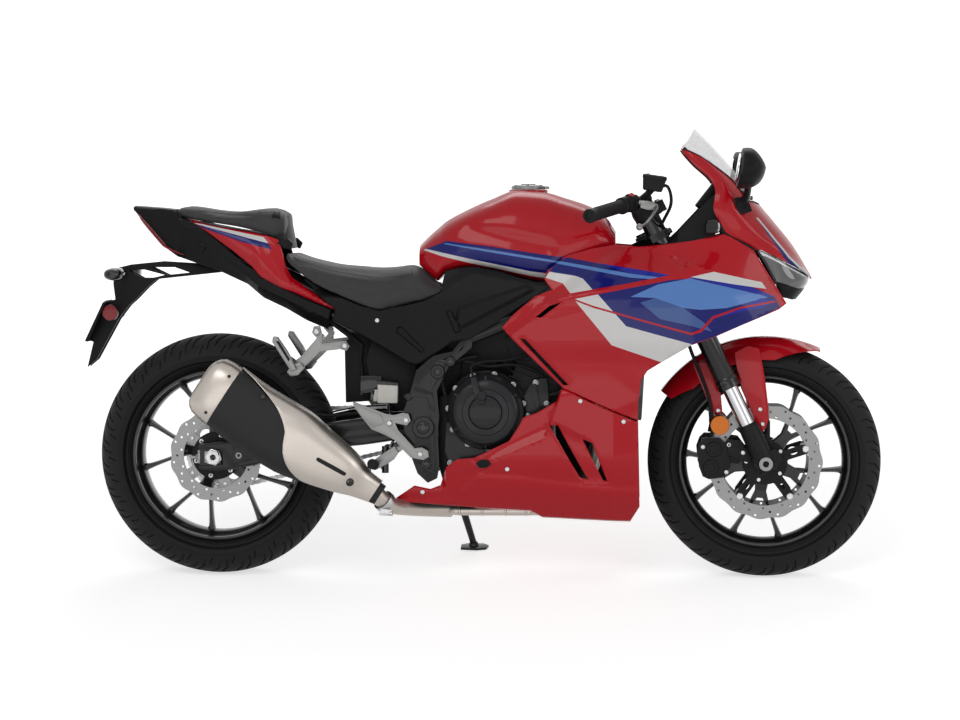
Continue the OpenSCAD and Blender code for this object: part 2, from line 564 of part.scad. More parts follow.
module rear_brake() {
  difference() {
    plate([[-640, 352], [-646, 420], [-600, 440], [-560, 420], [-566, 372], [-604, 352]], -106, -76);
    spin(xr, zr, -82.4) cylinder(r = 128, h = 15.2, $fn = 64);
  }
  plate([[-640, 346], [-600, 346], [-600, 356], [-640, 356]], -106, -100);
}

// ---------- steering ----------
module yokes() {
  steer() {
    difference() {
      union() {
        for (q = [[944, 20], [738, 26]]) translate([0, 0, q[0]]) linear_extrude(q[1])
          polygon([[-34, -30], [-34, 30], [8, 96], [16, 134], [58, 134], [70, 105], [40, 60],
            [40, -60], [70, -105], [58, -134], [16, -134], [8, -96]]);
      }
      for (y = [-leg_y, leg_y]) translate([ax_lx, y, 700])
        cylinder(r = leg_r + 0.05, h = 320, $fn = fine);
    }
    translate([0, 0, 740]) cylinder(r = 15, h = 240, $fn = fine);
    translate([0, 0, 963]) cylinder(r = 20, h = 10, $fn = fine);
  }
}

module fork_leg(s) {
  steer() translate([ax_lx, s * leg_y, 0]) {
    translate([0, 0, 540]) cylinder(r = leg_r, h = 510, $fn = fine);
    translate([0, 0, 528]) cylinder(r = leg_r + 2.5, h = 26, $fn = fine);
    translate([0, 0, 330]) cylinder(r = slider_r, h = 212, $fn = fine);
    translate([0, 0, 1049]) cylinder(r = 18, h = 8, $fn = fine);
    difference() {
      union() {
        translate([0, 0, 290]) cylinder(r = 26, h = 74, $fn = fine);
        translate([-20, -17, 296]) cube([64, 34, 44]);
      }
      translate([0, 40, ax_lz]) rotate([90, 0, 0]) cylinder(r = 12.55, h = 80, $fn = fine);
    }
  }
}
module fork_left() fork_leg(1);
module fork_right() fork_leg(-1);

module grips(o) {
  bar([405, 128, 975], [262, 358, 931], 11 + o);
  bar([340, 233, 955], [264, 355, 931.5], 16.5 + o);
  bar([264, 355, 931.5], [258, 365, 930], 18 + o);
}
module handlebars() {
  both() difference() {
    union() {
      steer() translate([ax_lx, leg_y, 1004]) {
        cylinder(r = 36, h = 34, $fn = fine);
        translate([0, -2, 0]) cube([50, 30, 34]);
      }
      grips(0);
    }
    steer() translate([ax_lx, leg_y, 980]) cylinder(r = leg_r + 0.1, h = 90, $fn = fine);
  }
}

module controls() {
  difference() {
    union() {
      both() bar([371, 183, 964.5], [347, 222, 957], 20);
      bar([414, -176, 994], [421, -176, 1029], 23);
      bar([388, -162, 972], [414, -176, 996], 9);
      both() {
        pipe([[380, 196, 964], [424, 198, 952], [416, 240, 935], [399, 300, 912], [384, 340, 903]], 6, n = 8);
        bar([384, 338, 903], [382, 344, 902.5], 9);
      }
    }
    both() grips(0.05);
    both() steer() translate([ax_lx, leg_y, 980]) cylinder(r = 37, h = 90, $fn = fine);
  }
}

module front_fender() {
  A = [for (a = [63:7:147]) a];
  Y = [-76, -70, -56, -30, 0, 30, 56, 70, 76];
  Q = [-58, -36, -16, -4, 0, -4, -16, -36, -58];
  function q(a) = a < 70 ? 0.35 : a < 80 ? 0.7 : a > 140 ? 0.55 : 1;
  g = [for (a = A) [for (j = [0:8]) let (r = 323 + Q[j] * q(a))
    [xf + r * cos(a), Y[j], zf + r * sin(a)]]];
  h = [for (a = A) [for (j = [0:8]) let (r = 320 + Q[j] * q(a))
    [xf + r * cos(a), Y[j] * (abs(Y[j]) > 60 ? 0.94 : 1), zf + r * sin(a)]]];
  sheet(g, h);
  both() {
    plate([[713, 441], [714, 408], [697, 378], [683, 394], [672, 432], [634, 540], [660, 566]], 75.8, 79);
    plate([[550, 550], [574, 430], [584, 420], [596, 428], [590, 470], [580, 552]], 72.5, 77);
  }
}

module front_axle() {
  difference() {
    spin(xf, zf, 138) cylinder(r = 12.5, h = 276, $fn = fine);
    spin(xf, zf, 139) cylinder(r = 8, h = 278, $fn = fine);
  }
  both() difference() {
    spin(xf, zf, 138) cylinder(r = 17, h = 6, $fn = fine);
    spin(xf, zf, 139) cylinder(r = 12.4, h = 8, $fn = fine);
  }
}

module front_brakes() {
  both() difference() {
    plate([[532, 330], [540, 268], [560, 257], [600, 262], [617, 290], [612, 340], [590, 362],
      [552, 364]], 50, 96);
    spin(xf, zf, 75.6) cylinder(r = front_disc_r + 7, h = 15.2, $fn = 64);
    spin(xf, zf, 63) cylinder(r = 128, h = 20, $fn = 64);
  }
  both() plate([[600, 300], [600, 350], [640, 354], [652, 340], [652, 312], [636, 296]], 80, 87.8);
}

// ---------- wheels ----------
module tyre(r, w, c, rim, x, z) {
  T = [0, 10, 20, 35, 50, 65, 78];
  o = [for (i = [6:-1:1]) [r - c + c * cos(T[i]), -c * sin(T[i])]];
  p = [for (i = [0:6]) [r - c + c * cos(T[i]), c * sin(T[i])]];
  k = w * 0.66;
  spin(x, z) rotate_extrude($fn = 72) polygon(concat(
    [[rim - 2, -k * 0.98], [rim + 8, -k - 3], [rim + 22, -c * sin(78) + 2]], o, p,
    [[rim + 22, c * sin(78) - 2], [rim + 8, k + 3], [rim - 2, k * 0.98], [rim - 2, k * 0.78],
      [rim + 10, k * 0.84], [r - 34, w * 0.72], [r - 14, w * 0.42], [r - 11, 0],
      [r - 14, -w * 0.42], [r - 34, -w * 0.72], [rim + 10, -k * 0.84], [rim - 2, -k * 0.78]]));
}
module front_tyre() tyre(front_r, 60, 62, 222, xf, zf);
module rear_tyre() tyre(rear_r, 80, 82, 222, xr, zr);

// one arm that forks into two thin spokes
module spoke(r0, r1, r2, y0, y1, a) {
  rotate([0, 0, a]) {
    loft([for (q = [[r0, 22, y0], [r1, 15, lerp(y0, y1, 0.3)]])
      [[q[0], -q[1], -q[2]], [q[0], q[1], -q[2]], [q[0], q[1], q[2]], [q[0], -q[1], q[2]]]]);
    for (s = [-1, 1])
      loft([for (q = [[r1 - 12, s * 6, 8, lerp(y0, y1, 0.3)], [r2, s * r2 * tan(18), 6.5, y1]])
        [[q[0], q[1] - q[2], -q[3]], [q[0], q[1] + q[2], -q[3]], [q[0], q[1] + q[2], q[3]],
          [q[0], q[1] - q[2], q[3]]]]);
  }
}
module rim(x, z, k, hub, bore, a0) {
  spin(x, z) {
    rotate_extrude($fn = 72) polygon([[214, -k - 4], [219.9, -k - 4], [219.9, -k * 0.74],
      [208, -k * 0.6], [208, k * 0.6], [219.9, k * 0.74], [219.9, k + 4], [214, k + 4],
      [212, k * 0.7], [201, k * 0.5], [199, 0], [201, -k * 0.5], [212, -k * 0.7]]);
    difference() {
      union() {
        cylinder(r = 30, h = hub * 2, center = true, $fn = fine);
        cylinder(r = 46, h = 50, center = true, $fn = 48);
        for (i = [0:4]) spoke(38, 92, 199, 20, 17, a0 + 72 * i);
      }
      cylinder(r = bore, h = 300, center = true, $fn = fine);
    }
  }
}
module front_rim() rim(xf, zf, 45, 70, 12.55, 48);
module rear_rim() rim(xr, zr, 64, 78, 12.55, 30);

module disc(x, z, y, r, t, ri) {
  spin(x, z, y + t / 2) difference() {
    union() {
      cylinder(r = r, h = t, $fn = 90);
    }
    difference() {
      translate([0, 0, -1]) cylinder(r = ri, h = t + 2, $fn = 64);
      for (i = [0:4]) rotate([0, 0, 72 * i]) translate([0, -14, -2]) cube([ri + 4, 28, t + 4]);
      translate([0, 0, -2]) cylinder(r = 60, h = t + 4, $fn = 48);
    }
    translate([0, 0, -1]) cylinder(r = 30.05, h = t + 2, $fn = fine);
  }
}
module front_discs() {
  disc(xf, zf, 68, front_disc_r, 5, 112);
  disc(xf, zf, -68, front_disc_r, 5, 112);
}
module rear_disc() {
  disc(xr, zr, -90, rear_disc_r, 5, 84);
  difference() {
    spin(xr, zr, 98.5) cylinder(r = 91, h = 6, $fn = 80);
    spin(xr, zr, 99) cylinder(r = 30.05, h = 8, $fn = fine);
    for (i = [0:4]) translate([xr, 96, zr]) rotate([90, 72 * i, 0])
      translate([64, 0, -4]) cylinder(r = 17, h = 12, $fn = fine);
  }
  both() difference() {
    spin(xr, zr, 97) cylinder(r = 44, h = 19, $fn = 48);
    spin(xr, zr, 98) cylinder(r = 30.05, h = 22, $fn = fine);
  }
}

// ---------- stand ----------
PIV = [-100, 146, 214];
FOOT = [-58, foot_y, foot_y * tan(lean) - lift / cos(lean)];
FOLD = [-190, 34, 6];
HN = cross(FOOT - PIV, FOLD) / norm(cross(FOOT - PIV, FOLD));

module side_stand() {
  d = (FOOT - PIV) / norm(FOOT - PIV);
  difference() {
    union() {
      bar(PIV + d * 12, PIV + d * 40, 5.2, 11.5);
      bar(PIV + d * 30, FOOT + [0, -3, 13], 10, 8.6);
      bar(PIV - HN * 6, PIV + HN * 6, 17);
    }
    bar(PIV - HN * 20, PIV + HN * 20, 8.05);
  }
  translate(FOOT) rotate([lean, 0, 0]) {
    linear_extrude(7) polygon([[-34, -18], [-34, 14], [-14, 26], [26, 24], [40, 8], [34, -16], [8, -24]]);
    cylinder(r = 13, h = 18, $fn = fine);
  }
}

color([0.12, 0.12, 0.13]) park() frame_left();
color([0.12, 0.12, 0.13]) park() frame_right();
color([0.12, 0.12, 0.13]) park() steering_head();
color([0.12, 0.12, 0.13]) park() subframe();
color([0.12, 0.12, 0.13]) park() swingarm();
color([0.32, 0.32, 0.34]) park() engine();
color([0.32, 0.32, 0.34]) park() engine_covers();
color([0.4, 0.4, 0.42]) park() radiator();
color([0.4, 0.4, 0.42]) park() exhaust_pipes();
color([0.16, 0.16, 0.17]) park() silencer();
color([0.7, 0.69, 0.66]) park() silencer_guard();
color([0.72, 0.05, 0.07]) park() fuel_tank();
color([0.08, 0.08, 0.08]) park() rider_seat();
color([0.08, 0.08, 0.08]) park() pillion_seat();
color([0.12, 0.12, 0.13]) park() tail_cowl();
color([0.72, 0.05, 0.07]) park() tail_panels();
color([0.6, 0.05, 0.05]) park() tail_light();
color([0.12, 0.12, 0.13]) park() plate_hanger();
color([0.2, 0.2, 0.22]) park() rear_indicators();
color([0.12, 0.12, 0.13]) park() side_covers();
color([0.72, 0.05, 0.07]) park() fairing_left();
color([0.72, 0.05, 0.07]) park() fairing_right();
color([0.72, 0.05, 0.07]) park() belly_left();
color([0.72, 0.05, 0.07]) park() belly_right();
color([0.15, 0.17, 0.4]) park() nose_cowl();
color([0.2, 0.2, 0.22]) park() headlights();
color([0.25, 0.28, 0.3, 0.6]) park() windscreen();
color([0.12, 0.12, 0.13]) park() cockpit();
color([0.16, 0.16, 0.17]) park() mirrors();
color([0.7, 0.69, 0.66]) park() footpegs();
color([0.12, 0.12, 0.13]) park() chain();
color([0.12, 0.12, 0.13]) park() rear_shock();
color([0.7, 0.69, 0.66]) park() rear_axle();
color([0.2, 0.2, 0.21]) park() rear_brake();
color([0.16, 0.16, 0.17]) park() yokes();
color([0.2, 0.2, 0.21]) park() fork_left();
color([0.2, 0.2, 0.21]) park() fork_right();
color([0.16, 0.16, 0.17]) park() handlebars();
color([0.16, 0.16, 0.17]) park() controls();
color([0.12, 0.12, 0.13]) park() front_fender();
color([0.7, 0.69, 0.66]) park() front_axle();
color([0.2, 0.2, 0.21]) park() front_brakes();
color([0.08, 0.08, 0.08]) park() front_tyre();
color([0.2, 0.2, 0.21]) park() front_rim();
color([0.7, 0.69, 0.66]) park() front_discs();
color([0.08, 0.08, 0.08]) park() rear_tyre();
color([0.2, 0.2, 0.21]) park() rear_rim();
color([0.7, 0.69, 0.66]) park() rear_disc();
color([0.2, 0.2, 0.21]) park() side_stand();
color([0.6, 0.6, 0.6]) park() fuel_cap();
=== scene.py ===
"""Sport bike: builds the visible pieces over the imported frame."""

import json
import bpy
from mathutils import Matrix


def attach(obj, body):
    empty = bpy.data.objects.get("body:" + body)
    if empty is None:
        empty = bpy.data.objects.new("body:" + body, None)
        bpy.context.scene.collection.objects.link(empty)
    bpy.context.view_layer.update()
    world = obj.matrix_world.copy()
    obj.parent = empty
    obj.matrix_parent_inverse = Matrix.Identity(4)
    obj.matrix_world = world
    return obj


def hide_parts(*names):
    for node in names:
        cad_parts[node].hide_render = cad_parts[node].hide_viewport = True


bl_info = {
    "name": "Sport Bike",
    "version": (1, 0, 0),
    "blender": (4, 5, 0),
    "location": "View3D > Sidebar > Sport Bike",
    "description": "Builds a faired sport bike piece by piece on its packed frame",
    "category": "Add Mesh",
}

from math import acos, atan2, copysign, cos, exp, pi, radians, sin, sqrt, tan, tau

import bmesh
import bpy
from mathutils import Matrix, Vector
from mathutils.geometry import delaunay_2d_cdt

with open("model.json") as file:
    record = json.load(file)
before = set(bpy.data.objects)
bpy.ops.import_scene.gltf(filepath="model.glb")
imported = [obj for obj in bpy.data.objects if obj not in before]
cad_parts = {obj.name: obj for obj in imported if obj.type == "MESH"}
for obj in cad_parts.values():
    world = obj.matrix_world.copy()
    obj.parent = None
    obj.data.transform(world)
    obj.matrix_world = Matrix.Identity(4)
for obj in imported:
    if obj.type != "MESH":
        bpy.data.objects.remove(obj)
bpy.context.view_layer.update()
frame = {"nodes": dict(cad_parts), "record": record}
JOINT = {j["name"]: j for j in frame["record"]["behaviour"]["joints"]}

# Everything is drawn upright in millimetres: +x forward, +y to the rider's
# left, z up from the ground. PARK lays it over onto the side stand.
XF, ZF, XR, ZR = 705.0, 300.0, -705.0, 312.3  # front and rear axle
_axis = Vector(JOINT["rear_wheel"]["axis"]).normalized()
LEAN = atan2(-_axis.z, _axis.y)
_turn = Matrix.Rotation(-LEAN, 4, "X") @ Matrix.Scale(0.001, 4)
PARK = Matrix.Translation(Vector(JOINT["rear_wheel"]["pos_m"]) - _turn @ Vector((XR, 0, ZR))) @ _turn
RAKE = radians(25.5)
STEER = Matrix.Translation((807, 0, 0)) @ Matrix.Rotation(-RAKE, 4, "Y")
STEERED = PARK @ STEER
UP, LEFT, ORIGIN = (0, 0, 1), (0, 1, 0), (0, 0, 0)

STAND_PIVOT = Vector((-100, 146, 214))
FORK_X, FORK_Y = 37.1, 105  # fork legs' offset from the steering axis
CHAIN_Y, CHAIN_PITCH = 95.5, 15.875
FRONT_SPROCKET = (-85, 396)
SPROCKET_TEETH = 40
DISC_Y = 65.5  # front discs' distance from the wheel's middle
RIM_SEAT = 222  # radius where the tyre sits
SPOKE_PAIRS = 5


def stand_axis():
    """Axis of the side stand's hinge in the drawing frame."""
    return (PARK.to_3x3().inverted() @ Vector(JOINT["side_stand"]["axis"])).normalized()


# ---------------------------------------------------------------- numbers
def lerp(a, b, t):
    """Value or point between a and b."""
    return a + (b - a) * t


def turns(n, first=0.0):
    """Angles of n even steps around a circle."""
    return [tau * (k + first) / n for k in range(n)]


def spow(v, e):
    """Power that keeps the sign."""
    return copysign(abs(v) ** e, v)


def curve(keys):
    """Smooth function through (x, value) keys, without overshoot."""
    xs = [k[0] for k in keys]
    ys = [k[1] for k in keys]
    if xs[0] > xs[-1]:
        xs, ys = xs[::-1], ys[::-1]
    n = len(xs)
    d = [(ys[i + 1] - ys[i]) / (xs[i + 1] - xs[i]) for i in range(n - 1)]
    m = [d[0]] + [0.0 if d[i - 1] * d[i] <= 0 else 2 * d[i - 1] * d[i] / (d[i - 1] + d[i])
                  for i in range(1, n - 1)] + [d[-1]]

    def at(x):
        if x <= xs[0]:
            return ys[0]
        if x >= xs[-1]:
            return ys[-1]
        i = max(k for k in range(n - 1) if xs[k] <= x)
        h = xs[i + 1] - xs[i]
        t = (x - xs[i]) / h
        return ((1 + 2 * t) * (1 - t) ** 2 * ys[i] + t * (1 - t) ** 2 * h * m[i]
                + t * t * (3 - 2 * t) * ys[i + 1] + t * t * (t - 1) * h * m[i + 1])
    return at


def line(keys):
    """Straight-line function through (x, value) keys."""
    ks = sorted(keys)

    def at(x):
        if x <= ks[0][0]:
            return ks[0][1]
        for a, b in zip(ks, ks[1:]):
            if x <= b[0]:
                return lerp(a[1], b[1], (x - a[0]) / (b[0] - a[0]))
        return ks[-1][1]
    return at


def smooth_path(pts, k=6):
    """Catmull-Rom points through pts."""
    p = [Vector(q) for q in pts]
    p = [p[0] * 2 - p[1]] + p + [p[-1] * 2 - p[-2]]
    out = []
    for i in range(1, len(p) - 2):
        a, b, c, d = p[i - 1:i + 3]
        for j in range(k):
            t = j / k
            out.append(0.5 * (2 * b + (c - a) * t + (2 * a - 5 * b + 4 * c - d) * t * t
                              + (3 * b - a - 3 * c + d) * t ** 3))
    out.append(p[-2])
    return out


def inside(poly, x, z):
    """True if the point is in the polygon."""
    hit = False
    for (ax, az), (bx, bz) in zip(poly, poly[1:] + poly[:1]):
        if (az > z) != (bz > z) and x < (bx - ax) * (z - az) / (bz - az) + ax:
            hit = not hit
    return hit


def edge_gap(poly, x, z):
    """Distance from the point to the polygon's outline."""
    best = 1e9
    for (ax, az), (bx, bz) in zip(poly, poly[1:] + poly[:1]):
        dx, dz = bx - ax, bz - az
        q = dx * dx + dz * dz
        t = 0 if q == 0 else max(0, min(1, ((x - ax) * dx + (z - az) * dz) / q))
        best = min(best, (x - ax - t * dx) ** 2 + (z - az - t * dz) ** 2)
    return sqrt(best)


# ---------------------------------------------------------------- materials
MATS = {}


def node(tree, kind, inputs=(), **settings):
    """Adds a node; each input takes another node's output or a plain value."""
    n = tree.nodes.new(kind)
    for key, v in settings.items():
        setattr(n, key, v)
    for key, v in dict(inputs).items():
        if isinstance(v, bpy.types.NodeSocket):
            tree.links.new(v, n.inputs[key])
        else:
            n.inputs[key].default_value = v
    return n


def material(name, rgb, rough, metal=0.0, scale=60.0, tint=0.06, relief=None, coat=0.0, spec=0.5,
             stretch=(1, 1, 1), rough_var=0.06, kind="noise", alpha=1.0, sheen=0.0):
    """Procedural finish: colour, gloss and relief all vary over Object coordinates.

    relief is (strength, scale, depth in metres); kind is the relief's pattern.
    """
    m = bpy.data.materials.new(name)
    m.use_nodes = True
    nt = m.node_tree
    nt.nodes.clear()
    at = node(nt, "ShaderNodeMapping", {"Vector": node(nt, "ShaderNodeTexCoord").outputs["Object"],
                                        "Scale": stretch}).outputs[0]
    no = node(nt, "ShaderNodeTexNoise", {"Vector": at, "Scale": scale, "Detail": 4}).outputs["Fac"]
    mix = node(nt, "ShaderNodeMix", {0: no, 6: (*[c * (1 - tint) for c in rgb], 1),
                                     7: (*[min(1, c * (1 + tint)) for c in rgb], 1)}, data_type="RGBA")
    gloss = node(nt, "ShaderNodeMapRange", {"Value": no, "To Min": max(0.02, rough - rough_var),
                                            "To Max": rough + rough_var})
    looks = {"Base Color": mix.outputs[2], "Roughness": gloss.outputs[0], "Metallic": metal,
        "Coat Weight": coat,
             "Coat Roughness": 0.05, "IOR": 1.45, "Alpha": alpha, "Specular IOR Level": spec,
                 "Sheen Weight": sheen}
    if relief:
        strength, size, depth = relief
        if kind == "cells":
            src = node(nt, "ShaderNodeTexVoronoi", {"Vector": at, "Scale": size}).outputs["Distance"]
        else:
            src = node(nt, "ShaderNodeTexNoise", {"Vector": at, "Scale": size, "Detail": 3}).outputs["Fac"]
        looks["Normal"] = node(nt, "ShaderNodeBump", {"Strength": strength, "Distance": depth,
                                                      "Height": src}).outputs[0]
    shader = node(nt, "ShaderNodeBsdfPrincipled", looks)
    node(nt, "ShaderNodeOutputMaterial", {0: shader.outputs[0]})
    m.diffuse_color = (*rgb, alpha)
    MATS[name] = m


GLOSS = dict(coat=0.3, spec=0.12)
DULL = dict(spec=0.15)
# name: colour, roughness, metal, scale, tint, relief, the rest
FINISHES = {
    "red paint": ((0.5, 0.004, 0.012), 0.24, 0, 35, 0.05, (0.04, 900, 0.0004), GLOSS),
    "navy paint": ((0.006, 0.009, 0.16), 0.24, 0, 35, 0.08, (0.04, 900, 0.0004), GLOSS),
    "royal paint": ((0.012, 0.02, 0.34), 0.24, 0, 35, 0.06, None, GLOSS),
    "sky paint": ((0.11, 0.25, 0.62), 0.24, 0, 35, 0.05, None, GLOSS),
    "steel blue paint": ((0.06, 0.12, 0.34), 0.24, 0, 35, 0.05, None, GLOSS),
    "white paint": ((0.74, 0.73, 0.72), 0.24, 0, 35, 0.03, None, GLOSS),
    "black plastic": ((0.008, 0.008, 0.009), 0.42, 0, 50, 0.2, (0.2, 2200, 0.0005),
        dict(kind="cells", spec=0.12)),
    "gloss black": ((0.006, 0.006, 0.007), 0.16, 0, 40, 0.15, None, dict(coat=0.5, spec=0.15)),
    # painted shade: near-black finish for the shadow inside slots and gaps
    "dark gap": ((0.004, 0.004, 0.004), 0.8, 0, 40, 0.3, None, {}),
    "frame black": ((0.009, 0.009, 0.01), 0.33, 0, 70, 0.16, (0.12, 1500, 0.0005),
        dict(coat=0.25, spec=0.15)),
    "cast black": ((0.011, 0.011, 0.012), 0.4, 0, 80, 0.22, (0.35, 1300, 0.0007), DULL),
    "cast grey": ((0.06, 0.06, 0.063), 0.42, 0.4, 80, 0.2, (0.35, 1300, 0.0007), {}),
    "rim black": ((0.007, 0.007, 0.008), 0.3, 0, 60, 0.15, (0.08, 1200, 0.0004),
        dict(coat=0.35, spec=0.15)),
    "bare alloy": ((0.2, 0.2, 0.197), 0.34, 0.9, 90, 0.08, (0.12, 1500, 0.0004), {}),
    "steel": ((0.42, 0.42, 0.42), 0.3, 1, 120, 0.12, (0.06, 1700, 0.0003), {}),
    "disc steel": ((0.22, 0.22, 0.22), 0.36, 0.85, 160, 0.1, (0.15, 600, 0.0002),
        dict(stretch=(1, 0.2, 1))),
    "dark steel": ((0.2, 0.2, 0.2), 0.34, 1, 120, 0.12, None, dict(rough_var=0.08)),
    "chrome": ((0.45, 0.45, 0.46), 0.12, 1, 80, 0.03, None, dict(rough_var=0.03)),
    "warm steel": ((0.46, 0.42, 0.38), 0.34, 0.85, 60, 0.06, (0.05, 500, 0.0003), dict(stretch=(1, 1, 6))),
    "pipe steel": ((0.36, 0.33, 0.3), 0.4, 0.85, 22, 0.2, (0.05, 500, 0.0003), {}),
    "silencer grey": ((0.03, 0.03, 0.031), 0.46, 0, 70, 0.12, (0.2, 2600, 0.0003), DULL),
    "tyre": ((0.013, 0.013, 0.014), 0.58, 0, 45, 0.25, (0.3, 900, 0.0005), dict(spec=0.15, rough_var=0.1)),
    "tread": ((0.02, 0.02, 0.021), 0.66, 0, 45, 0.2, (0.3, 700, 0.0005), dict(spec=0.15, rough_var=0.08)),
    "rubber": ((0.011, 0.011, 0.012), 0.6, 0, 60, 0.2, (0.3, 1200, 0.0005), DULL),
    "seat vinyl": ((0.045, 0.045, 0.046), 0.5, 0, 30, 0.2, (0.5, 700, 0.0007),
        dict(kind="cells", spec=0.2, sheen=0.15)),
    "seat panel": ((0.036, 0.036, 0.037), 0.56, 0, 30, 0.15, (0.5, 900, 0.0007),
        dict(kind="cells", sheen=0.2)),
    "stitch": ((0.06, 0.06, 0.06), 0.7, 0, 300, 0.2, None, {}),
    "red lens": ((0.25, 0.002, 0.006), 0.12, 0, 90, 0.25, (0.3, 600, 0.0006),
        dict(kind="cells", coat=0.25, spec=0.2)),
    "orange lens": ((0.85, 0.2, 0.0), 0.18, 0, 400, 0.2, (0.6, 1100, 0.0008),
        dict(kind="cells", coat=0.25, spec=0.2)),
    "smoke lens": ((0.06, 0.06, 0.065), 0.08, 0, 60, 0.2, None, dict(coat=1.0)),
    "lamp strip": ((0.75, 0.78, 0.8), 0.2, 0, 200, 0.06, None, dict(coat=1.0)),
    "screen": ((0.86, 0.86, 0.87), 0.06, 0, 40, 0.02, None, dict(spec=0.6, rough_var=0.02, alpha=0.24)),
    "mirror glass": ((0.75, 0.77, 0.8), 0.04, 1, 40, 0.02, None, dict(rough_var=0.01)),
    "bottle": ((0.62, 0.6, 0.56), 0.35, 0, 50, 0.06, (0.1, 300, 0.0004), {}),
    "switch red": ((0.6, 0.02, 0.02), 0.35, 0, 60, 0.08, None, {}),
    "dash glass": ((0.01, 0.012, 0.016), 0.05, 0, 20, 0.3, None, dict(coat=1.0)),
    "engine side": ((0.017, 0.017, 0.019), 0.38, 0.1, 70, 0.2, (0.25, 1600, 0.0005),
        dict(coat=0.15, spec=0.15)),
}


def finishes(s):
    """Makes every finish once; the panel sets the two main paints."""
    for name, (rgb, rough, metal, scale, tint, relief, rest) in FINISHES.items():
        rgb = {"red paint": tuple(s.red), "navy paint": tuple(s.navy)}.get(name, rgb)
        material(name, rgb, rough, metal, scale, tint, relief, **rest)


# ---------------------------------------------------------------- mesh code
def ring_faces(bm, rings, close=True, caps=(True, True), mi=0):
    """Faces between rows of vertices."""
    rows = [[bm.verts.new(p) for p in r] for r in rings]
    n = len(rows[0])
    for a, b in zip(rows, rows[1:]):
        for j in range(n if close else n - 1):
            k = (j + 1) % n
            bm.faces.new((a[j], a[k], b[k], b[j])).material_index = mi
    for row, cap in ((rows[0][::-1], caps[0]), (rows[-1], caps[1])):
        if cap and close:
            mid = sum((v.co for v in row), Vector()) / n
            c = bm.verts.new(mid)
            for j in range(n):
                bm.faces.new((row[j], row[(j + 1) % n], c)).material_index = mi
    return rows


def tube(bm, pts, r, n=12, smooth=0, mi=0, flat=1.0, caps=(True, True)):
    """Round bar along points; r may be one radius or one per point."""
    p = smooth_path(pts, smooth) if smooth else [Vector(q) for q in pts]
    if hasattr(r, "__len__"):
        rad = curve([(i * (len(p) - 1) / (len(r) - 1), v) for i, v in enumerate(r)])
    else:
        rad = lambda i: r
    rings = []
    up = None
    for i, q in enumerate(p):
        t = (p[min(i + 1, len(p) - 1)] - p[max(i - 1, 0)]).normalized()
        if up is None:
            up = Vector(LEFT) if abs(t.y) < 0.85 else Vector(UP)
        side = t.cross(up).normalized()
        up = side.cross(t).normalized()
        rings.append([q + (side * cos(a) + up * sin(a) * flat) * rad(i) for a in turns(n)])
    ring_faces(bm, rings, caps=caps, mi=mi)


def lathe(bm, prof, at, axis, n=32, mi=0):
    """Turned form: (radius, height) profile about an axis through at."""
    z = Vector(axis).normalized()
    x = z.orthogonal().normalized()
    y = z.cross(x)
    at = Vector(at)
    rows = []
    for r, h in prof:
        if r < 1e-4:
            rows.append([bm.verts.new(at + z * h)])
        else:
            rows.append([bm.verts.new(at + z * h + (x * cos(a) + y * sin(a)) * r) for a in turns(n)])
    for a, b in zip(rows, rows[1:]):
        for j in range(n):
            k = (j + 1) % n
            q = [a[j % len(a)], a[k % len(a)], b[k % len(b)], b[j % len(b)]]
            u = list(dict.fromkeys(q))
            if len(u) > 2:
                bm.faces.new(u).material_index = mi


def disc_prof(r, h, c=1.0):
    """Turned profile of a plain round slab with broken edges."""
    return [(0, 0), (r - c, 0), (r, c), (r, h - c), (r - c, h), (0, h)]


def plate2(outline, holes=(), step=0):
    """Flat mesh of an outline with holes: points and triangles in 2D."""
    pts = [Vector(p) for p in outline]
    edges = []
    loops = [list(range(len(pts)))]
    for h in holes:
        k = len(pts)
        pts += [Vector(p) for p in h]
        loops.append(list(range(k, len(pts))))
    for lp in loops:
        edges += [(lp[i], lp[(i + 1) % len(lp)]) for i in range(len(lp))]
    if step:
        xs = [p[0] for p in outline]
        zs = [p[1] for p in outline]
        x = min(xs) + step * 0.5
        row = 0
        while x < max(xs):
            z = min(zs) + step * (0.5 if row % 2 else 0.25)
            while z < max(zs):
                if inside(outline, x, z) and edge_gap(outline, x, z) > step * 0.45:
                    pts.append(Vector((x, z)))
                z += step
            x += step
            row += 1
    v, _, tris, *_ = delaunay_2d_cdt(pts, edges, [], 0, 1e-4)
    keep = []
    for t in tris:
        x = sum(v[i].x for i in t) / len(t)
        z = sum(v[i].y for i in t) / len(t)
        if inside(list(outline), x, z) and not any(inside(list(h), x, z) for h in holes):
            keep.append(t)
    return v, keep


def lying(x, y, z):
    """Lays a slab's outline in the ground plane."""
    return x, y, z


def across(x, z, y):
    """Stands a slab's outline across the bike."""
    return y, x, z


def slab(bm, outline, y0, y1, holes=(), mi=0, place=None, bevel=0.0):
    """Plate cut to an outline, standing between y0 and y1 (or placed by a function)."""
    y0, y1 = min(y0, y1), max(y0, y1)
    v, tris = plate2(outline, holes)
    put = place or (lambda x, z, y: (x, y, z))
    part = bmesh.new()
    a = [part.verts.new(put(p.x, p.y, y0)) for p in v]
    b = [part.verts.new(put(p.x, p.y, y1)) for p in v]
    seen = {}
    for t in tris:
        part.faces.new([a[i] for i in t])
        part.faces.new([b[i] for i in reversed(t)])
        for i, j in zip(t, list(t[1:]) + [t[0]]):
            seen[(i, j)] = seen.get((i, j), 0) + 1
    for (i, j) in seen:
        if (j, i) not in seen:
            part.faces.new((a[j], a[i], b[i], b[j]))
    outward(part)
    bmesh.ops.dissolve_limit(part, angle_limit=0.01, verts=part.verts, edges=part.edges)
    if bevel:
        soften(part, bevel, 50)
    for f in part.faces:
        f.material_index = mi
    merge(bm, part)


def outward(bm):
    """Turns every face outwards."""
    bmesh.ops.recalc_face_normals(bm, faces=bm.faces)


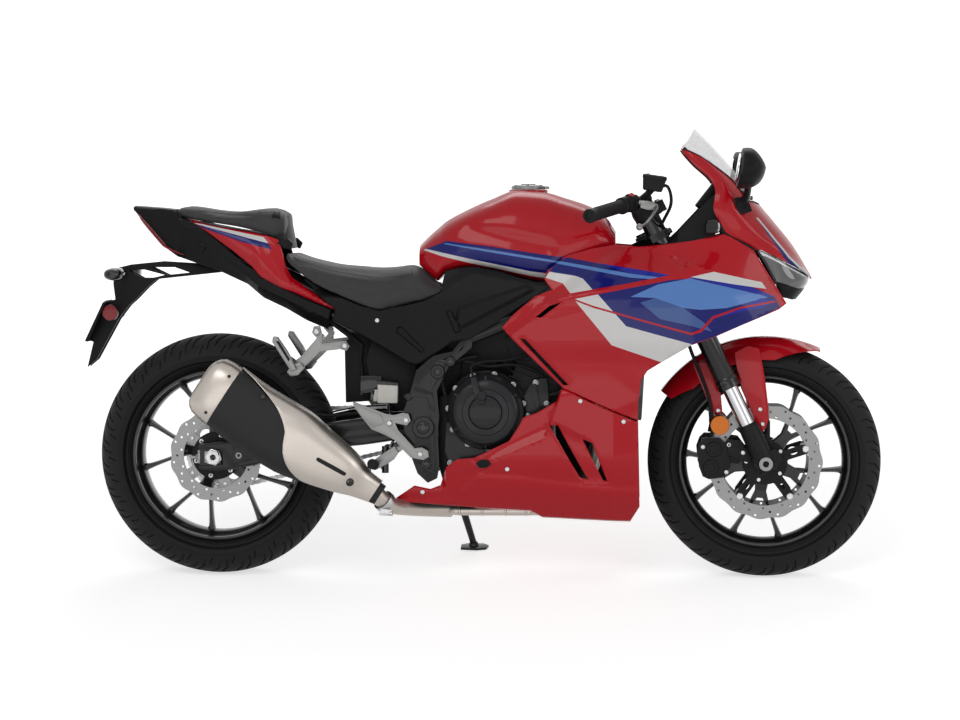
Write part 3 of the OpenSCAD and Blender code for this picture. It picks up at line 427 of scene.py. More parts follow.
def face_up(bm, axis):
    """Turns an open skin over if it mostly looks away from +axis (0, 1, 2)."""
    bm.normal_update()
    if sum(f.normal[axis] for f in bm.faces) < 0:
        bmesh.ops.reverse_faces(bm, faces=bm.faces)


def add_moved(bm, part, matrix):
    """Adds a mesh after moving it."""
    bmesh.ops.transform(part, matrix=matrix, verts=part.verts)
    merge(bm, part)


def merge(bm, part):
    """Adds one mesh to another and frees it."""
    me = bpy.data.meshes.new("part")
    part.to_mesh(me)
    part.free()
    bm.from_mesh(me)
    bpy.data.meshes.remove(me)


def soften(bm, width, angle=35):
    """Rounds every edge sharper than the angle."""
    lim = radians(angle)
    es = [e for e in bm.edges if len(e.link_faces) == 2 and e.calc_face_angle(0) > lim]
    if es:
        bmesh.ops.bevel(bm, geom=es, offset=width, segments=2, profile=0.6,
                        affect="EDGES", clamp_overlap=True)


def mirrored(bm):
    """Adds the left-right mirror image."""
    part = bm.copy()
    for v in part.verts:
        v.co.y = -v.co.y
    bmesh.ops.reverse_faces(part, faces=part.faces)
    merge(bm, part)


def stripe(bm, poly, mi, side=0, only=None, test=None):
    """Cuts a painted area into the skin along its side outline and colours it."""
    for (ax, az), (bx, bz) in zip(poly, poly[1:] + poly[:1]):
        d = Vector((bx - ax, bz - az))
        if d.length < 1e-6:
            continue
        x0, x1 = min(ax, bx) - 2, max(ax, bx) + 2
        z0, z1 = min(az, bz) - 2, max(az, bz) + 2
        near = []
        for f in bm.faces:
            if (only is not None and f.material_index not in only) or (test and not test(f)):
                continue
            if side and side * f.calc_center_median().y < 0:
                continue
            xs = [v.co.x for v in f.verts]
            zs = [v.co.z for v in f.verts]
            if max(xs) > x0 and min(xs) < x1 and max(zs) > z0 and min(zs) < z1:
                near.append(f)
        if not near:
            continue
        geom = list({v for f in near for v in f.verts}) + list({e for f in near for e in f.edges}) + near
        bmesh.ops.bisect_plane(bm, geom=geom, dist=0.01, plane_co=(ax, 0, az),
                               plane_no=(-d.y, 0, d.x))
    for f in bm.faces:
        if (only is not None and f.material_index not in only) or (test and not test(f)):
            continue
        c = f.calc_center_median()
        if side and side * c.y < 0:
            continue
        if inside(poly, c.x, c.z):
            f.material_index = mi


def listed(v):
    """A lone name as a list."""
    return [v] if isinstance(v, str) else v


def piece(bm, name, mats, hide=(), body="chassis", smooth=32, place=PARK, kept=False):
    """Writes the mesh in place, shades it and rides it on its body; kept keeps its normals."""
    bmesh.ops.remove_doubles(bm, verts=bm.verts, dist=0.004)
    bad = [f for f in bm.faces if f.calc_area() < 1e-7]
    if bad:
        bmesh.ops.delete(bm, geom=bad, context="FACES_ONLY")
    if not kept:
        outward(bm)
    lim = radians(smooth)
    for f in bm.faces:
        f.smooth = True
    for e in bm.edges:
        e.smooth = not (len(e.link_faces) == 2 and e.calc_face_angle(0) > lim)
    bmesh.ops.transform(bm, matrix=place, verts=bm.verts)
    me = bpy.data.meshes.new(name)
    bm.to_mesh(me)
    bm.free()
    for m in listed(mats):
        me.materials.append(MATS[m])
    ob = bpy.data.objects.new(name, me)
    bpy.context.scene.collection.objects.link(ob)
    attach(ob, body)
    if hide:
        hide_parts(*listed(hide))
    return ob


# ---------------------------------------------------------------- node trees
def socket_id(tree, name):
    """Identifier of a tree input by its name."""
    for it in tree.interface.items_tree:
        if it.item_type == "SOCKET" and it.in_out == "INPUT" and it.name == name:
            return it.identifier
    raise RuntimeError("no input " + name)


def new_tree(name, inputs):
    """Empty geometry tree with named inputs, and its input sockets."""
    t = bpy.data.node_groups.new(name, "GeometryNodeTree")
    t.interface.new_socket("Geometry", in_out="INPUT", socket_type="NodeSocketGeometry")
    for n, kind, val in inputs:
        s = t.interface.new_socket(n, in_out="INPUT", socket_type="NodeSocket" + kind)
        if val is not None:
            s.default_value = val
    t.interface.new_socket("Geometry", in_out="OUTPUT", socket_type="NodeSocketGeometry")
    return t, node(t, "NodeGroupInput").outputs


def place_copies(t, gi, **sockets):
    """Ends a tree: sets the shape on points, makes it real and gives it its material."""
    inst = node(t, "GeometryNodeInstanceOnPoints", sockets)
    real = node(t, "GeometryNodeRealizeInstances", {0: inst.outputs[0]})
    done = node(t, "GeometryNodeSetMaterial", {"Geometry": real.outputs[0], "Material": gi["Material"]})
    node(t, "NodeGroupOutput", {0: done.outputs[0]})
    return t


def ring_tree():
    """Repeats the incoming shape evenly about the Z axis."""
    t, gi = new_tree("ring repeat", [("Count", "Int", 5), ("Start angle", "Float", 0.0),
        ("Material", "Material", None)])
    pts = node(t, "GeometryNodePoints", {"Count": gi["Count"]})
    step = node(t, "ShaderNodeMath", {0: tau, 1: gi["Count"]}, operation="DIVIDE")
    turn = node(t, "ShaderNodeMath", {0: node(t, "GeometryNodeInputIndex").outputs[0], 1: step.outputs[0],
                                      2: gi["Start angle"]}, operation="MULTIPLY_ADD")
    xyz = node(t, "ShaderNodeCombineXYZ", {2: turn.outputs[0]})
    return place_copies(t, gi, Points=pts.outputs[0], Instance=gi["Geometry"], Rotation=xyz.outputs[0])


def row_tree():
    """Repeats the incoming shape along a straight step."""
    t, gi = new_tree("row repeat", [("Count", "Int", 5), ("Step", "Vector", UP),
        ("Material", "Material", None)])
    at = node(t, "ShaderNodeVectorMath", {0: gi["Step"]}, operation="SCALE")
    t.links.new(node(t, "GeometryNodeInputIndex").outputs[0], at.inputs["Scale"])
    pts = node(t, "GeometryNodePoints", {"Count": gi["Count"], "Position": at.outputs[0]})
    return place_copies(t, gi, Points=pts.outputs[0], Instance=gi["Geometry"])


def path_tree():
    """Sets the shape on every vertex of the incoming mesh, turned to its stored direction."""
    t, gi = new_tree("set on points", [("Shape", "Object", None), ("Size", "Float", 1.0),
        ("Material", "Material", None)])
    info = node(t, "GeometryNodeObjectInfo", {"Object": gi["Shape"]})
    out, along, size = (node(t, "GeometryNodeInputNamedAttribute", {"Name": name},
        data_type=kind).outputs["Attribute"] for name, kind in (("out", "FLOAT_VECTOR"),
        ("along", "FLOAT_VECTOR"), ("size", "FLOAT")))
    turn = node(t, "FunctionNodeAxesToRotation", {0: out, 1: along}, primary_axis="Z", secondary_axis="X")
    grow = node(t, "ShaderNodeMath", {0: size, 1: gi["Size"]}, operation="MULTIPLY")
    return place_copies(t, gi, Points=gi["Geometry"], Instance=info.outputs["Geometry"],
        Rotation=turn.outputs[0], Scale=grow.outputs[0])


TREES = {}


def grown(seed, tree, **values):
    """Runs a tree on a seed mesh and returns the plain result as a bmesh."""
    if tree not in TREES:
        TREES[tree] = {"ring": ring_tree, "row": row_tree, "path": path_tree}[tree]()
    t = TREES[tree]
    ob = bpy.data.objects.new("seed", seed)
    bpy.context.scene.collection.objects.link(ob)
    md = ob.modifiers.new("nodes", "NODES")
    md.node_group = t
    for k, v in values.items():
        md[socket_id(t, k.replace("_", " "))] = v
    dg = bpy.context.evaluated_depsgraph_get()
    me = bpy.data.meshes.new_from_object(ob.evaluated_get(dg))
    ob.modifiers.remove(md)
    bm = bmesh.new()
    bm.from_mesh(me)
    bpy.data.objects.remove(ob)
    bpy.data.meshes.remove(me)
    for f in bm.faces:
        f.material_index = 0
    return bm


def as_mesh(bm, name="seed"):
    """Plain mesh from a bmesh, which is freed."""
    outward(bm)
    me = bpy.data.meshes.new(name)
    bm.to_mesh(me)
    bm.free()
    return me


def around(bm, count, start=0.0):
    """Repeats a shape about the Z axis."""
    return grown(as_mesh(bm), "ring", Count=count, Start_angle=radians(start),
                 Material=MATS["steel"])


def in_row(bm, count, step):
    """Repeats a shape along a step."""
    return grown(as_mesh(bm), "row", Count=count, Step=step, Material=MATS["steel"])


def on_points(pts, shape):
    """Sets a shape on (point, out direction, along direction, size) entries."""
    me = bpy.data.meshes.new("points")
    me.from_pydata([p[0] for p in pts], [], [])
    for key, kind, i in (("out", "FLOAT_VECTOR", 1), ("along", "FLOAT_VECTOR", 2)):
        a = me.attributes.new(key, kind, "POINT")
        a.data.foreach_set("vector", [c for p in pts for c in p[i]])
    a = me.attributes.new("size", "FLOAT", "POINT")
    a.data.foreach_set("value", [p[3] if len(p) > 3 else 1.0 for p in pts])
    ob = bpy.data.objects.new("shape", as_mesh(shape))
    bpy.context.scene.collection.objects.link(ob)
    bm = grown(me, "path", Shape=ob, Size=1.0, Material=MATS["steel"])
    bpy.data.objects.remove(ob)
    return bm


def bolt_prof(r, h):
    """Turned profile of a socket bolt head."""
    return [(0, -2), (r * 1.1, -2), (r * 1.1, h * 0.4), (r * 0.95, h * 0.85), (r * 0.62, h), (r * 0.5, h),
            (r * 0.46, h * 0.35), (0, h * 0.35)]


def bolt_shape(r=6.0, h=4.0, kind="hex"):
    """Bolt head standing along +Z."""
    bm = bmesh.new()
    if kind == "hex":
        lathe(bm, [(0, -2), (r * 1.25, -2), (r * 1.25, 0.8), (r * 1.02, 1.2), (r, h - 0.6),
                   (r * 0.86, h), (0, h)], ORIGIN, UP, 6)
        lathe(bm, [(0, -2), (r * 1.45, -2), (r * 1.45, 0.6), (r * 1.3, 1.0), (0, 1.0)],
              ORIGIN, UP, 16)
    else:
        lathe(bm, bolt_prof(r, h), ORIGIN, UP, 12)
    return bm


def on_both(points, size=1.0):
    """Fastener spots facing outwards at points of the left side and their mirror images."""
    return [((x, s * y, z), (0, s, 0), size) for s in (1, -1) for x, y, z in points]


def bolts(name, spots, mat, r=6.0, h=4.0, kind="socket", body="chassis"):
    """Row of fasteners: each spot is (point, out direction[, size])."""
    pts = []
    for s in spots:
        o = Vector(s[1]).normalized()
        pts.append((s[0], o, o.orthogonal().normalized(), s[2] if len(s) > 2 else 1.0))
    bm = on_points(pts, bolt_shape(r, h, kind))
    piece(bm, name, mat, body=body, smooth=30, kept=True)


def quiet(node, mat):
    """Gives a CAD node that stays a procedural finish."""
    ob = frame["nodes"][node]
    ob.data.materials.clear()
    ob.data.materials.append(MATS[mat])


# ---------------------------------------------------------------- body shape
XS = [-260, 0, 150, 300, 450, 600, 680, 760]
WZ = [(150, [100, 120, 122, 125, 120, 100, 90, 80]), (240, [140, 168, 174, 176, 165, 140, 120, 100]),
      (330, [165, 192, 200, 200, 180, 150, 130, 110]), (450, [180, 188, 196, 200, 185, 160, 140, 120]),
      (550, [186, 192, 202, 206, 200, 182, 160, 125]), (620, [186, 196, 214, 221, 214, 188, 165, 125]),
      (700, [180, 198, 217, 224, 216, 188, 160, 118]), (780, [165, 182, 198, 204, 196, 168, 138, 95]),
      (850, [150, 155, 160, 161, 158, 144, 124, 80]), (900, [145, 150, 152, 152, 150, 134, 112, 70])]
ROWS = [(z, curve(list(zip(XS, w)))) for z, w in WZ]
_cols = {}


def half(x, z):
    """Half width of the bodywork at a point of the side view."""
    k = round(x, 1)
    if k not in _cols:
        _cols[k] = curve([(h, r(k)) for h, r in ROWS])
    return _cols[k](z)


def fold(x, z, a, b, k, lim):
    """How far the skin folds in beyond the line a-b (to its left)."""
    d = Vector((b[0] - a[0], b[1] - a[1])).normalized()
    off = d.x * (z - a[1]) - d.y * (x - a[0])
    return min(lim, max(0.0, off) * k)


def grid(x0, x1, z0, z1, step):
    """Flat mesh of squares in the side view."""
    bm = bmesh.new()
    nx, nz = max(2, round((x1 - x0) / step)), max(2, round((z1 - z0) / step))
    rows = [[bm.verts.new((lerp(x0, x1, i / nx), 0, lerp(z0, z1, j / nz))) for j in range(nz + 1)]
            for i in range(nx + 1)]
    for a, b in zip(rows, rows[1:]):
        for j in range(nz):
            bm.faces.new((a[j], a[j + 1], b[j + 1], b[j]))
    return bm


def cut(bm, pts, closed=True):
    """Scores the side view mesh along a line of points."""
    pairs = list(zip(pts, list(pts[1:]) + [pts[0]]))
    for (ax, az), (bx, bz) in pairs if closed else pairs[:-1]:
        d = Vector((bx - ax, bz - az))
        if d.length < 1e-6:
            continue
        x0, x1 = min(ax, bx) - 1, max(ax, bx) + 1
        z0, z1 = min(az, bz) - 1, max(az, bz) + 1
        near = []
        for f in bm.faces:
            xs = [v.co.x for v in f.verts]
            zs = [v.co.z for v in f.verts]
            if max(xs) > x0 and min(xs) < x1 and max(zs) > z0 and min(zs) < z1:
                near.append(f)
        if near:
            geom = [*{v for f in near for v in f.verts}, *{e for f in near for e in f.edges}, *near]
            bmesh.ops.bisect_plane(bm, geom=geom, dist=0.02, plane_co=(ax, 0, az), plane_no=(-d.y, 0, d.x))


def inset(poly, w):
    """Outline moved inwards by w (outline runs either way round)."""
    n = len(poly)
    area = sum(poly[i][0] * poly[(i + 1) % n][1] - poly[(i + 1) % n][0] * poly[i][1] for i in range(n))
    s = 1 if area > 0 else -1
    out = []
    for i in range(n):
        p, q, r = (Vector(poly[j % n]) for j in (i - 1, i, i + 1))
        d1, d2 = (q - p).normalized(), (r - q).normalized()
        n1, n2 = Vector((-d1.y, d1.x)) * s, Vector((-d2.y, d2.x)) * s
        m = n1 + n2
        k = 2 / max(0.8, m.length_squared)
        out.append(tuple(q + m * w * k))
    return out


def skin(outline, surf, step=9.0, holes=(), creases=(), paint=(), roll=3.0, drop=2.2, base=0):
    """Body panel over the side view outline, standing at y = surf(x, z)."""
    xs, zs = [p[0] for p in outline], [p[1] for p in outline]
    bm = grid(min(xs) - 2, max(xs) + 2, min(zs) - 2, max(zs) + 2, step)
    for f in bm.faces:
        f.material_index = base
    lines = [outline] + list(holes)
    for p in lines:
        cut(bm, p)
    if roll:
        cut(bm, inset(outline, roll))
        for h in holes:
            cut(bm, inset(h, -roll * 0.7))
    for c in creases:
        cut(bm, c, closed=False)
    gone = []
    for f in bm.faces:
        c = f.calc_center_median()
        if not inside(outline, c.x, c.z) or any(inside(h, c.x, c.z) for h in holes):
            gone.append(f)
    bmesh.ops.delete(bm, geom=gone, context="FACES")
    for poly, mi in paint:
        stripe(bm, poly, mi)
    for v in bm.verts:
        y = surf(v.co.x, v.co.z)
        if roll:
            g = min(edge_gap(p, v.co.x, v.co.z) for p in lines)
            if g < roll:
                y -= drop * (1 - g / roll)
        v.co.y = y
    face_up(bm, 1)
    bm.normal_update()
    return bm


def thicken(bm, t, mi=None):
    """Gives a skin its thickness, inwards."""
    bm.normal_update()
    faces = list(bm.faces)
    edges = [e for e in bm.edges if len(e.link_faces) == 1]
    inner = {v: bm.verts.new(v.co - v.normal * t) for v in list(bm.verts)}
    for f in faces:
        g = bm.faces.new([inner[v] for v in reversed(f.verts)])
        g.material_index = f.material_index if mi is None else mi
    for e in edges:
        f = e.link_faces[0]
        vs = list(f.verts)
        i = vs.index(e.verts[0])
        a, b = (e.verts[0], e.verts[1]) if vs[(i + 1) % len(vs)] == e.verts[1] else (e.verts[1], e.verts[0])
        bm.faces.new((b, a, inner[a], inner[b])).material_index = f.material_index
    return bm


def flip_side(bm):
    """Turns the left piece into the right one."""
    for v in bm.verts:
        v.co.y = -v.co.y
    bmesh.ops.reverse_faces(bm, faces=bm.faces)
    return bm


def sides(name, nodes, mats, make, smooth=32):
    """Builds a left piece and the mirror image of its like on the right."""
    for side, hidden in zip(("left", "right"), nodes):
        bm = make(side)
        if side == "right":
            flip_side(bm)
        piece(bm, name + "_" + side, mats, hidden, smooth=smooth, kept=True)


PAINT = ["red paint", "navy paint", "royal paint", "sky paint", "steel blue paint", "white paint",
         "black plastic", "dark gap"]
RED, NAVY, ROYAL, SKY, STEELB, WHITE, BLACK = range(7)

FAIR = [(36, 648), (66, 616), (143, 542), (184, 503), (190, 495), (260, 463), (334, 430), (380, 414),
        (381, 460), (388, 516), (404, 540), (440, 562), (512, 604), (577, 627), (640, 654),
        (736, 693), (756, 708), (715, 774), (672, 842), (640, 861), (598, 885), (577, 879), (512, 866),
        (440, 857), (381, 852), (323, 857), (260, 846), (197, 829), (150, 790), (143, 770),
        (152, 757), (163, 744), (120, 727), (66, 682)]
RIDGE = [(40, 650), (133, 706), (214, 727), (341, 752), (471, 779), (520, 790), (600, 800)]
_ridge = line(RIDGE)


def fair_y(x, z):
    """Side fairing surface with its ridge, scoop and folded edges."""
    y = half(x, z)
    d = z - _ridge(x)
    k = min(1, max(0, (x - 60) / 120)) * min(1, max(0, (560 - x) / 120))
    y += 7 * k * max(0.0, 1 - abs(d) / (30 if d > 0 else 46)) - 3 * k
    y -= fold(x, z, (62, 630), (188, 724), 0.55, 12)
    y -= fold(x, z, (392, 470), (300, 432), 0.3, 8) if x > 300 and z < 470 else 0
    q = [(440, 832), (456, 839), (507, 810), (507, 804), (489, 790), (474, 808)]
    if inside(q, x, z):
        y -= min(7.0, edge_gap(q, x, z) * 0.9)
    r = [(456, 839), (576, 792), (511, 792), (507, 808)]
    if inside(r, x, z):
        y += min(5.0, edge_gap(r, x, z) * 0.8)
    return y


def fairing(side):
    """Side panel with its slots and painted bands."""
    slots = [[(122, 675), (136, 674), (188, 713), (158, 704)],
             [(82, 621), (96, 619), (205, 503), (192, 503)]]
    paint = [([(199, 825), (320, 802), (435, 785), (458, 776), (347, 754), (269, 740), (241, 772),
               (224, 778), (156, 789), (170, 812)], NAVY),
             ([(278, 811), (400, 792), (470, 779), (440, 773), (385, 779)], ROYAL),
             ([(173, 815), (178, 816), (365, 784), (445, 774), (425, 770), (360, 775), (170, 810)], SKY),
             ([(146, 774), (156, 789), (224, 778), (241, 772), (269, 741), (215, 729), (190, 760)], WHITE),
             ([(219, 721), (279, 733), (350, 653), (515, 608), (510, 560), (444, 560), (314, 605),
               (234, 702)], WHITE),
             ([(279, 733), (461, 769), (536, 774), (649, 760), (732, 722), (742, 700), (700, 680),
               (571, 626), (516, 607), (350, 653)], NAVY),
             ([(361, 727), (430, 758), (511, 773), (576, 757), (675, 737), (707, 724), (602, 698),
               (536, 694), (493, 699), (423, 724)], SKY),
             ([(385, 712), (423, 724), (493, 699), (546, 661), (566, 639), (511, 654), (435, 671),
               (408, 694)], STEELB),
             ([(506, 776), (536, 779), (637, 762), (727, 724), (702, 727), (586, 755)], ROYAL),
             ([(512, 776), (570, 789), (692, 762), (704, 745), (624, 757)], WHITE),
             ([(580, 676), (690, 722), (728, 716), (700, 700)], ROYAL),
             ([(214, 724), (269, 704), (435, 657), (514, 636), (537, 645), (566, 677), (637, 701),
               (726, 716), (726, 711), (638, 696), (570, 672), (540, 638), (514, 630), (435, 652),
               (268, 699), (212, 720)], RED),
             ([(756, 708), (672, 843), (658, 851), (738, 700)], RED),
             ([(36, 648), (66, 682), (120, 727), (163, 744), (200, 734), (341, 758), (480, 785), (506, 789),
               (470, 773), (341, 746), (214, 721), (180, 700), (62, 630)], RED)]
    creases = [RIDGE, [(62, 630), (188, 724)], [(392, 470), (300, 432)],
               [(440, 832), (456, 839), (507, 810), (507, 804), (489, 790), (474, 808), (440, 832)],
               [(456, 839), (576, 792), (511, 792)]]
    return thicken(skin(FAIR, fair_y, 8.5, slots, creases, paint), 4.2, BLACK)


BELLY = [(-34, 317), (54, 360), (80, 400), (90, 420), (124, 432), (175, 462), (186, 492), (196, 492),
         (260, 460), (334, 428), (364, 415), (380, 411), (385, 190), (362, 152), (137, 163), (121, 172),
         (106, 180), (-34, 187)]
TIP = [(-78, 313), (-106, 292), (-116, 262), (-122, 244), (-148, 234), (-189, 242), (-243, 205),
       (-236, 200), (-34, 187)]


def belly_y(x, z):
    """Lower fairing surface: step line, vent recess and folded top edge."""
    y = half(x, z)
    y -= fold(x, z, (-240, 226), (-120, 226), 0.5, 10) if x < -110 else 0
    y -= min(9.0, 0.45 * max(0.0, z - line([(-60, 330), (-20, 292), (60, 332), (150, 372), (186, 480)])(x)))
    low = line([(-240, 206), (-95, 214), (-25, 280), (90, 272), (300, 246), (385, 244)])(x)
    if z < low:
        y += min(5.0, (low - z) * 0.35)
    v = [(152, 416), (172, 412), (262, 366), (310, 252), (240, 246)]
    if inside(v, x, z):
        y -= min(7.0, edge_gap(v, x, z) * 0.35)
    if x > 318:
        y -= (x - 318) * 0.25
    return y


def belly(side):
    """Lower side panel; the right one runs on to a rear tip."""
    outline = BELLY[:-1] + [TIP[-1]] + (TIP[:-1][::-1] if side == "right" else [])
    slots = [[(157, 401), (178, 401), (254, 262), (234, 268)], [(240, 367), (265, 357), (303, 258),
        (292, 262)]]
    creases = [[(-240, 206), (-95, 214), (-25, 280), (90, 272), (300, 246), (385, 244)],
               [(-20, 292), (60, 332), (150, 372), (182, 470)],
               [(152, 416), (172, 412), (262, 366), (310, 252), (240, 246), (152, 416)],
               [(318, 434), (318, 156)]]
    bm = thicken(skin(outline, belly_y, 8.5, slots, creases), 4.2, BLACK)
    lip = []
    for x in (-34, 20, 70, 106, 121, 137, 200, 260, 320, 362):
        z = line([(-34, 187), (106, 180), (137, 163), (362, 152)])(x)
        lip.append([(x, belly_y(x, z) - 4, z + 1), (x, belly_y(x, z) - 20, z - 4), (x, 26, z - 5),
                    (x, 26, z - 1), (x, belly_y(x, z) - 22, z), (x, belly_y(x, z) - 8, z + 6)])
    part = bmesh.new()
    ring_faces(part, lip, mi=RED)
    outward(part)
    merge(bm, part)
    return bm


def build_fairings():
    """Side fairings and lower panels with the screws that hold them."""
    sides("fairing", ("fairing_left", "fairing_right"), PAINT, fairing)
    sides("belly", ("belly_left", "belly_right"), PAINT, belly)
    spots = on_both([(x, belly_y(x, z) + 0.5, z) for x, z in ((235, 463), (344, 411), (50, 289),
        (-168, 226))])
    bolts("fairing_screws", spots[:3] + spots[4:], "steel", 5.6, 3.0)
    bm = bmesh.new()
    for s in (1, -1):
        pts = [(-30, 303), (-18, 313), (0, 313), (10, 302), (-2, 293), (-20, 292)]
        slab(bm, pts, s * (belly_y(-9, 303) + 4) - 3, s * (belly_y(-9, 303) + 4) + 3, bevel=1.2)
        lathe(bm, disc_prof(6, 3), (-9, s * (belly_y(-9, 303) + 6), 303), (0, s, 0), 20)
    piece(bm, "belly_caps", "black plastic", smooth=30)


# ---------------------------------------------------------------- tank
TANK = [(-186, 806, 846, 66), (-164, 786, 868, 86), (-147, 770, 884, 98), (-133, 762, 896, 106),
        (-114, 784, 912, 114), (-73, 790, 935, 128),
        (6, 792, 971, 146), (70, 784, 993, 150), (138, 776, 988, 150), (191, 800, 973, 148),
        (259, 822, 949, 140), (300, 834, 918, 122), (326, 842, 878, 96)]
T_LO = line([(-186, 806), (-164, 786), (-147, 770), (-133, 762), (-114, 784), (-73, 794), (-38, 797),
    (20, 788), (80, 770), (121, 760), (160, 756), (200, 776), (259, 822), (300, 834), (326, 842)])
DENT = (Vector((-46, 892)), Vector((150, 852)))
T_HI, T_W = (curve([(q[0], q[i]) for q in TANK]) for i in (2, 3))


def tank_pt(x, a):
    """Point of the tank's skin at a station and an angle."""
    lo, hi, w = T_LO(x), T_HI(x), T_W(x)
    c = (lo + hi) / 2 - 8
    s = sin(a)
    y = w * spow(cos(a), 0.62 if s > 0 else 0.26)
    z = c + ((hi - c) if s > 0 else (c - lo)) * spow(s, 0.8)
    p = Vector((x, z))
    t = min(1.0, max(0.0, (p - DENT[0]).dot(DENT[1] - DENT[0]) / (DENT[1] - DENT[0]).length_squared))
    y -= copysign(8.5 * exp(-((p - DENT[0].lerp(DENT[1], t)).length / 21) ** 2), y)
    if s > 0:
        u = abs(y) / w
        z += 3.5 * exp(-((u - 0.34) * 7) ** 2) - 3.0 * exp(-(u * 6) ** 2)
        y *= 1 - 0.05 * sin(min(1, s) * pi) * min(1, max(0, (x + 60) / 200))
    return Vector((x, y, z))


def build_tank():
    """Painted tank with its raised shoulders, cap ring and bands."""
    bm = bmesh.new()
    n, m = 88, 72
    rings = []
    for i in range(m + 1):
        x = lerp(-186, 326, 0.5 - 0.5 * cos(pi * (0.06 + 0.88 * i / m)))
        rings.append([tank_pt(x, tau * (j + 0.5) / n) for j in range(n)])
    ring_faces(bm, rings)
    outward(bm)
    for s in (1, -1):
        for poly, mi in (([(-165, 844), (-108, 866), (12, 851), (177, 826), (190, 829), (170, 782),
                (106, 789), (-47, 820)], NAVY), ([(-117, 858), (-110, 860), (30, 839), (185, 814),
                (182, 809), (30, 833)], SKY), ([(-170, 842), (-163, 845), (-47, 820), (106, 789),
                (172, 780), (166, 768), (106, 777), (-47, 809), (-122, 827)], WHITE)):
            stripe(bm, poly, mi, side=s)
    for f in bm.faces:
        c = f.calc_center_median()
        if c.z < T_LO(c.x) + 4 or (c.x > 164 and c.z < line([(164, 790), (189, 826), (320, 864),
                (340, 868)])(c.x) - 1):
            f.material_index = RED
    lathe(bm, [(50, -16), (50, 1.2), (48.5, 2.4), (46.5, 2.4), (45.2, 0.8), (45.2, -12)], (96, 0, 994),
          UP, 56, mi=RED)
    piece(bm, "tank", PAINT, "fuel_tank", smooth=38)
    bm = bmesh.new()
    lathe(bm, [(46, -10), (46, 0.6), (44.8, 1.4), (33, 1.4), (32, 0.2), (27, 0.2), (26.2, -1.0), (26, -55),
               (0, -55)], (96, 0, 994.8), UP, 48)
    piece(bm, "filler_ring", "bare alloy", smooth=35)
    bm = bmesh.new()
    lathe(bm, [(0, 0), (42, 0), (43.8, 0.8), (43.8, 7.6), (42.8, 8.8), (39.6, 9.3), (35.4, 10.6),
        (34.0, 11.4), (32.5, 11.9), (0, 12.0)], (96, 0, 997), UP, 56)
    slab(bm, [(130, 998), (150, 998), (150.5, 1004), (146, 1005.4), (134, 1005.6)], -9, 9, bevel=1.0)
    for a in range(6):
        t = radians(60 * a + 30)
        lathe(bm, [(0, -1), (3.6, -1), (3.6, 1.2), (3.0, 1.7), (2.0, 1.7), (1.8, 0.8), (0, 0.8)],
              (96 + 37.5 * cos(t), 37.5 * sin(t), 1007), UP, 12)
    piece(bm, "fuel_cap_lid", "bare alloy", "fuel_cap", body="fuel_cap", smooth=30)
    bm = bmesh.new()
    slab(bm, [(-22, -8), (22, -8), (24, 0), (20, 7), (-20, 7), (-24, 0)], 0, 2.4, bevel=0.8,
         place=lambda x, z, y: (96 + x * 0.8, z, 1008.6 + y))
    piece(bm, "fuel_cap_flap", "gloss black", body="fuel_cap", smooth=30)


# ---------------------------------------------------------------- side covers
COVER = [(-399, 663), (-338, 634), (-281, 603), (-203, 558), (-180, 553), (-145, 575), (-117, 592),
    (-92, 611), (-54, 616), (-43, 618), (20, 658), (80, 698), (120, 724), (158, 750), (160, 757),
    (121, 763), (80, 773), (20, 791), (-38, 801), (-62, 799), (-88, 795), (-110, 789), (-117, 762),
    (-116, 738), (-140, 724), (-162, 714), (-203, 704), (-244, 696), (-281, 688), (-326, 702), (-386, 728),
    (-427, 744), (-470, 770), (-480, 774), (-472, 760), (-430, 722), (-392, 690)]


LID = [(-84, 660), (-78, 698), (98, 758), (114, 752), (122, 742), (-70, 640)]
SPEAR = [(-108, 690), (-92, 692), (-68, 636), (-84, 632)]
GROOVE = [(-232, 648), (-218, 648), (-160, 590), (-168, 580), (-234, 634)]


def cover_y(x, z):
    """Side cover surface with its raised lid and spear."""
    y = half(x, z) - 22 - 0.13 * max(0, -200 - x)
    if inside(LID, x, z):
        y += min(9.0, edge_gap(LID, x, z) * 0.9)
    if inside(SPEAR, x, z):
        y += min(5.0, edge_gap(SPEAR, x, z) * 1.4)
    y -= min(12.0, 0.55 * max(0.0, z - line([(-200, 720), (-125, 724), (-90, 756), (-40, 784),
        (130, 754)])(x)))
    if inside(GROOVE, x, z):
        y -= min(5.0, edge_gap(GROOVE, x, z) * 2)
    return y


def cover(side):
    """Plastic cover under the seat and tank."""
    creases = [[(-200, 720), (-125, 724), (-90, 756), (-40, 784), (130, 754)]]
    for shape, w in ((LID, 10), (SPEAR, 3.5), (GROOVE, 2.6)):
        creases += [shape + shape[:1], inset(shape, w) + inset(shape, w)[:1]]
    return thicken(skin(COVER, cover_y, 8.0, (), creases), 4, 0)


def build_covers():
    """Side covers with their screws."""
    sides("side_cover", ("", "side_covers"), "black plastic", cover, 26)
    bolts("cover_screws", on_both([(-283, cover_y(-283, 664) + 0.5, 664)]), "steel", 5.4, 3.0)


# ---------------------------------------------------------------- tail
TCOWL = [(-414, 692, 640, 115, 88), (-469, 713, 662, 118, 88), (-520, 735, 694, 119, 86),
         (-586, 767, 722, 116, 82), (-623, 800, 754, 111, 78), (-698, 858, 788, 100, 70),
         (-771, 908, 812, 85, 60), (-804, 914, 822, 78, 54)]
TPAN = [(-768, 918, 914, 86), (-727, 908, 889, 98), (-660, 895, 842, 108), (-608, 886, 800, 113),
        (-586, 882, 774, 116), (-556, 862, 758, 119), (-532, 806, 746, 123), (-505, 768, 736, 124),
        (-460, 742, 716, 124), (-420, 712, 699, 121), (-396, 698, 690, 118)]


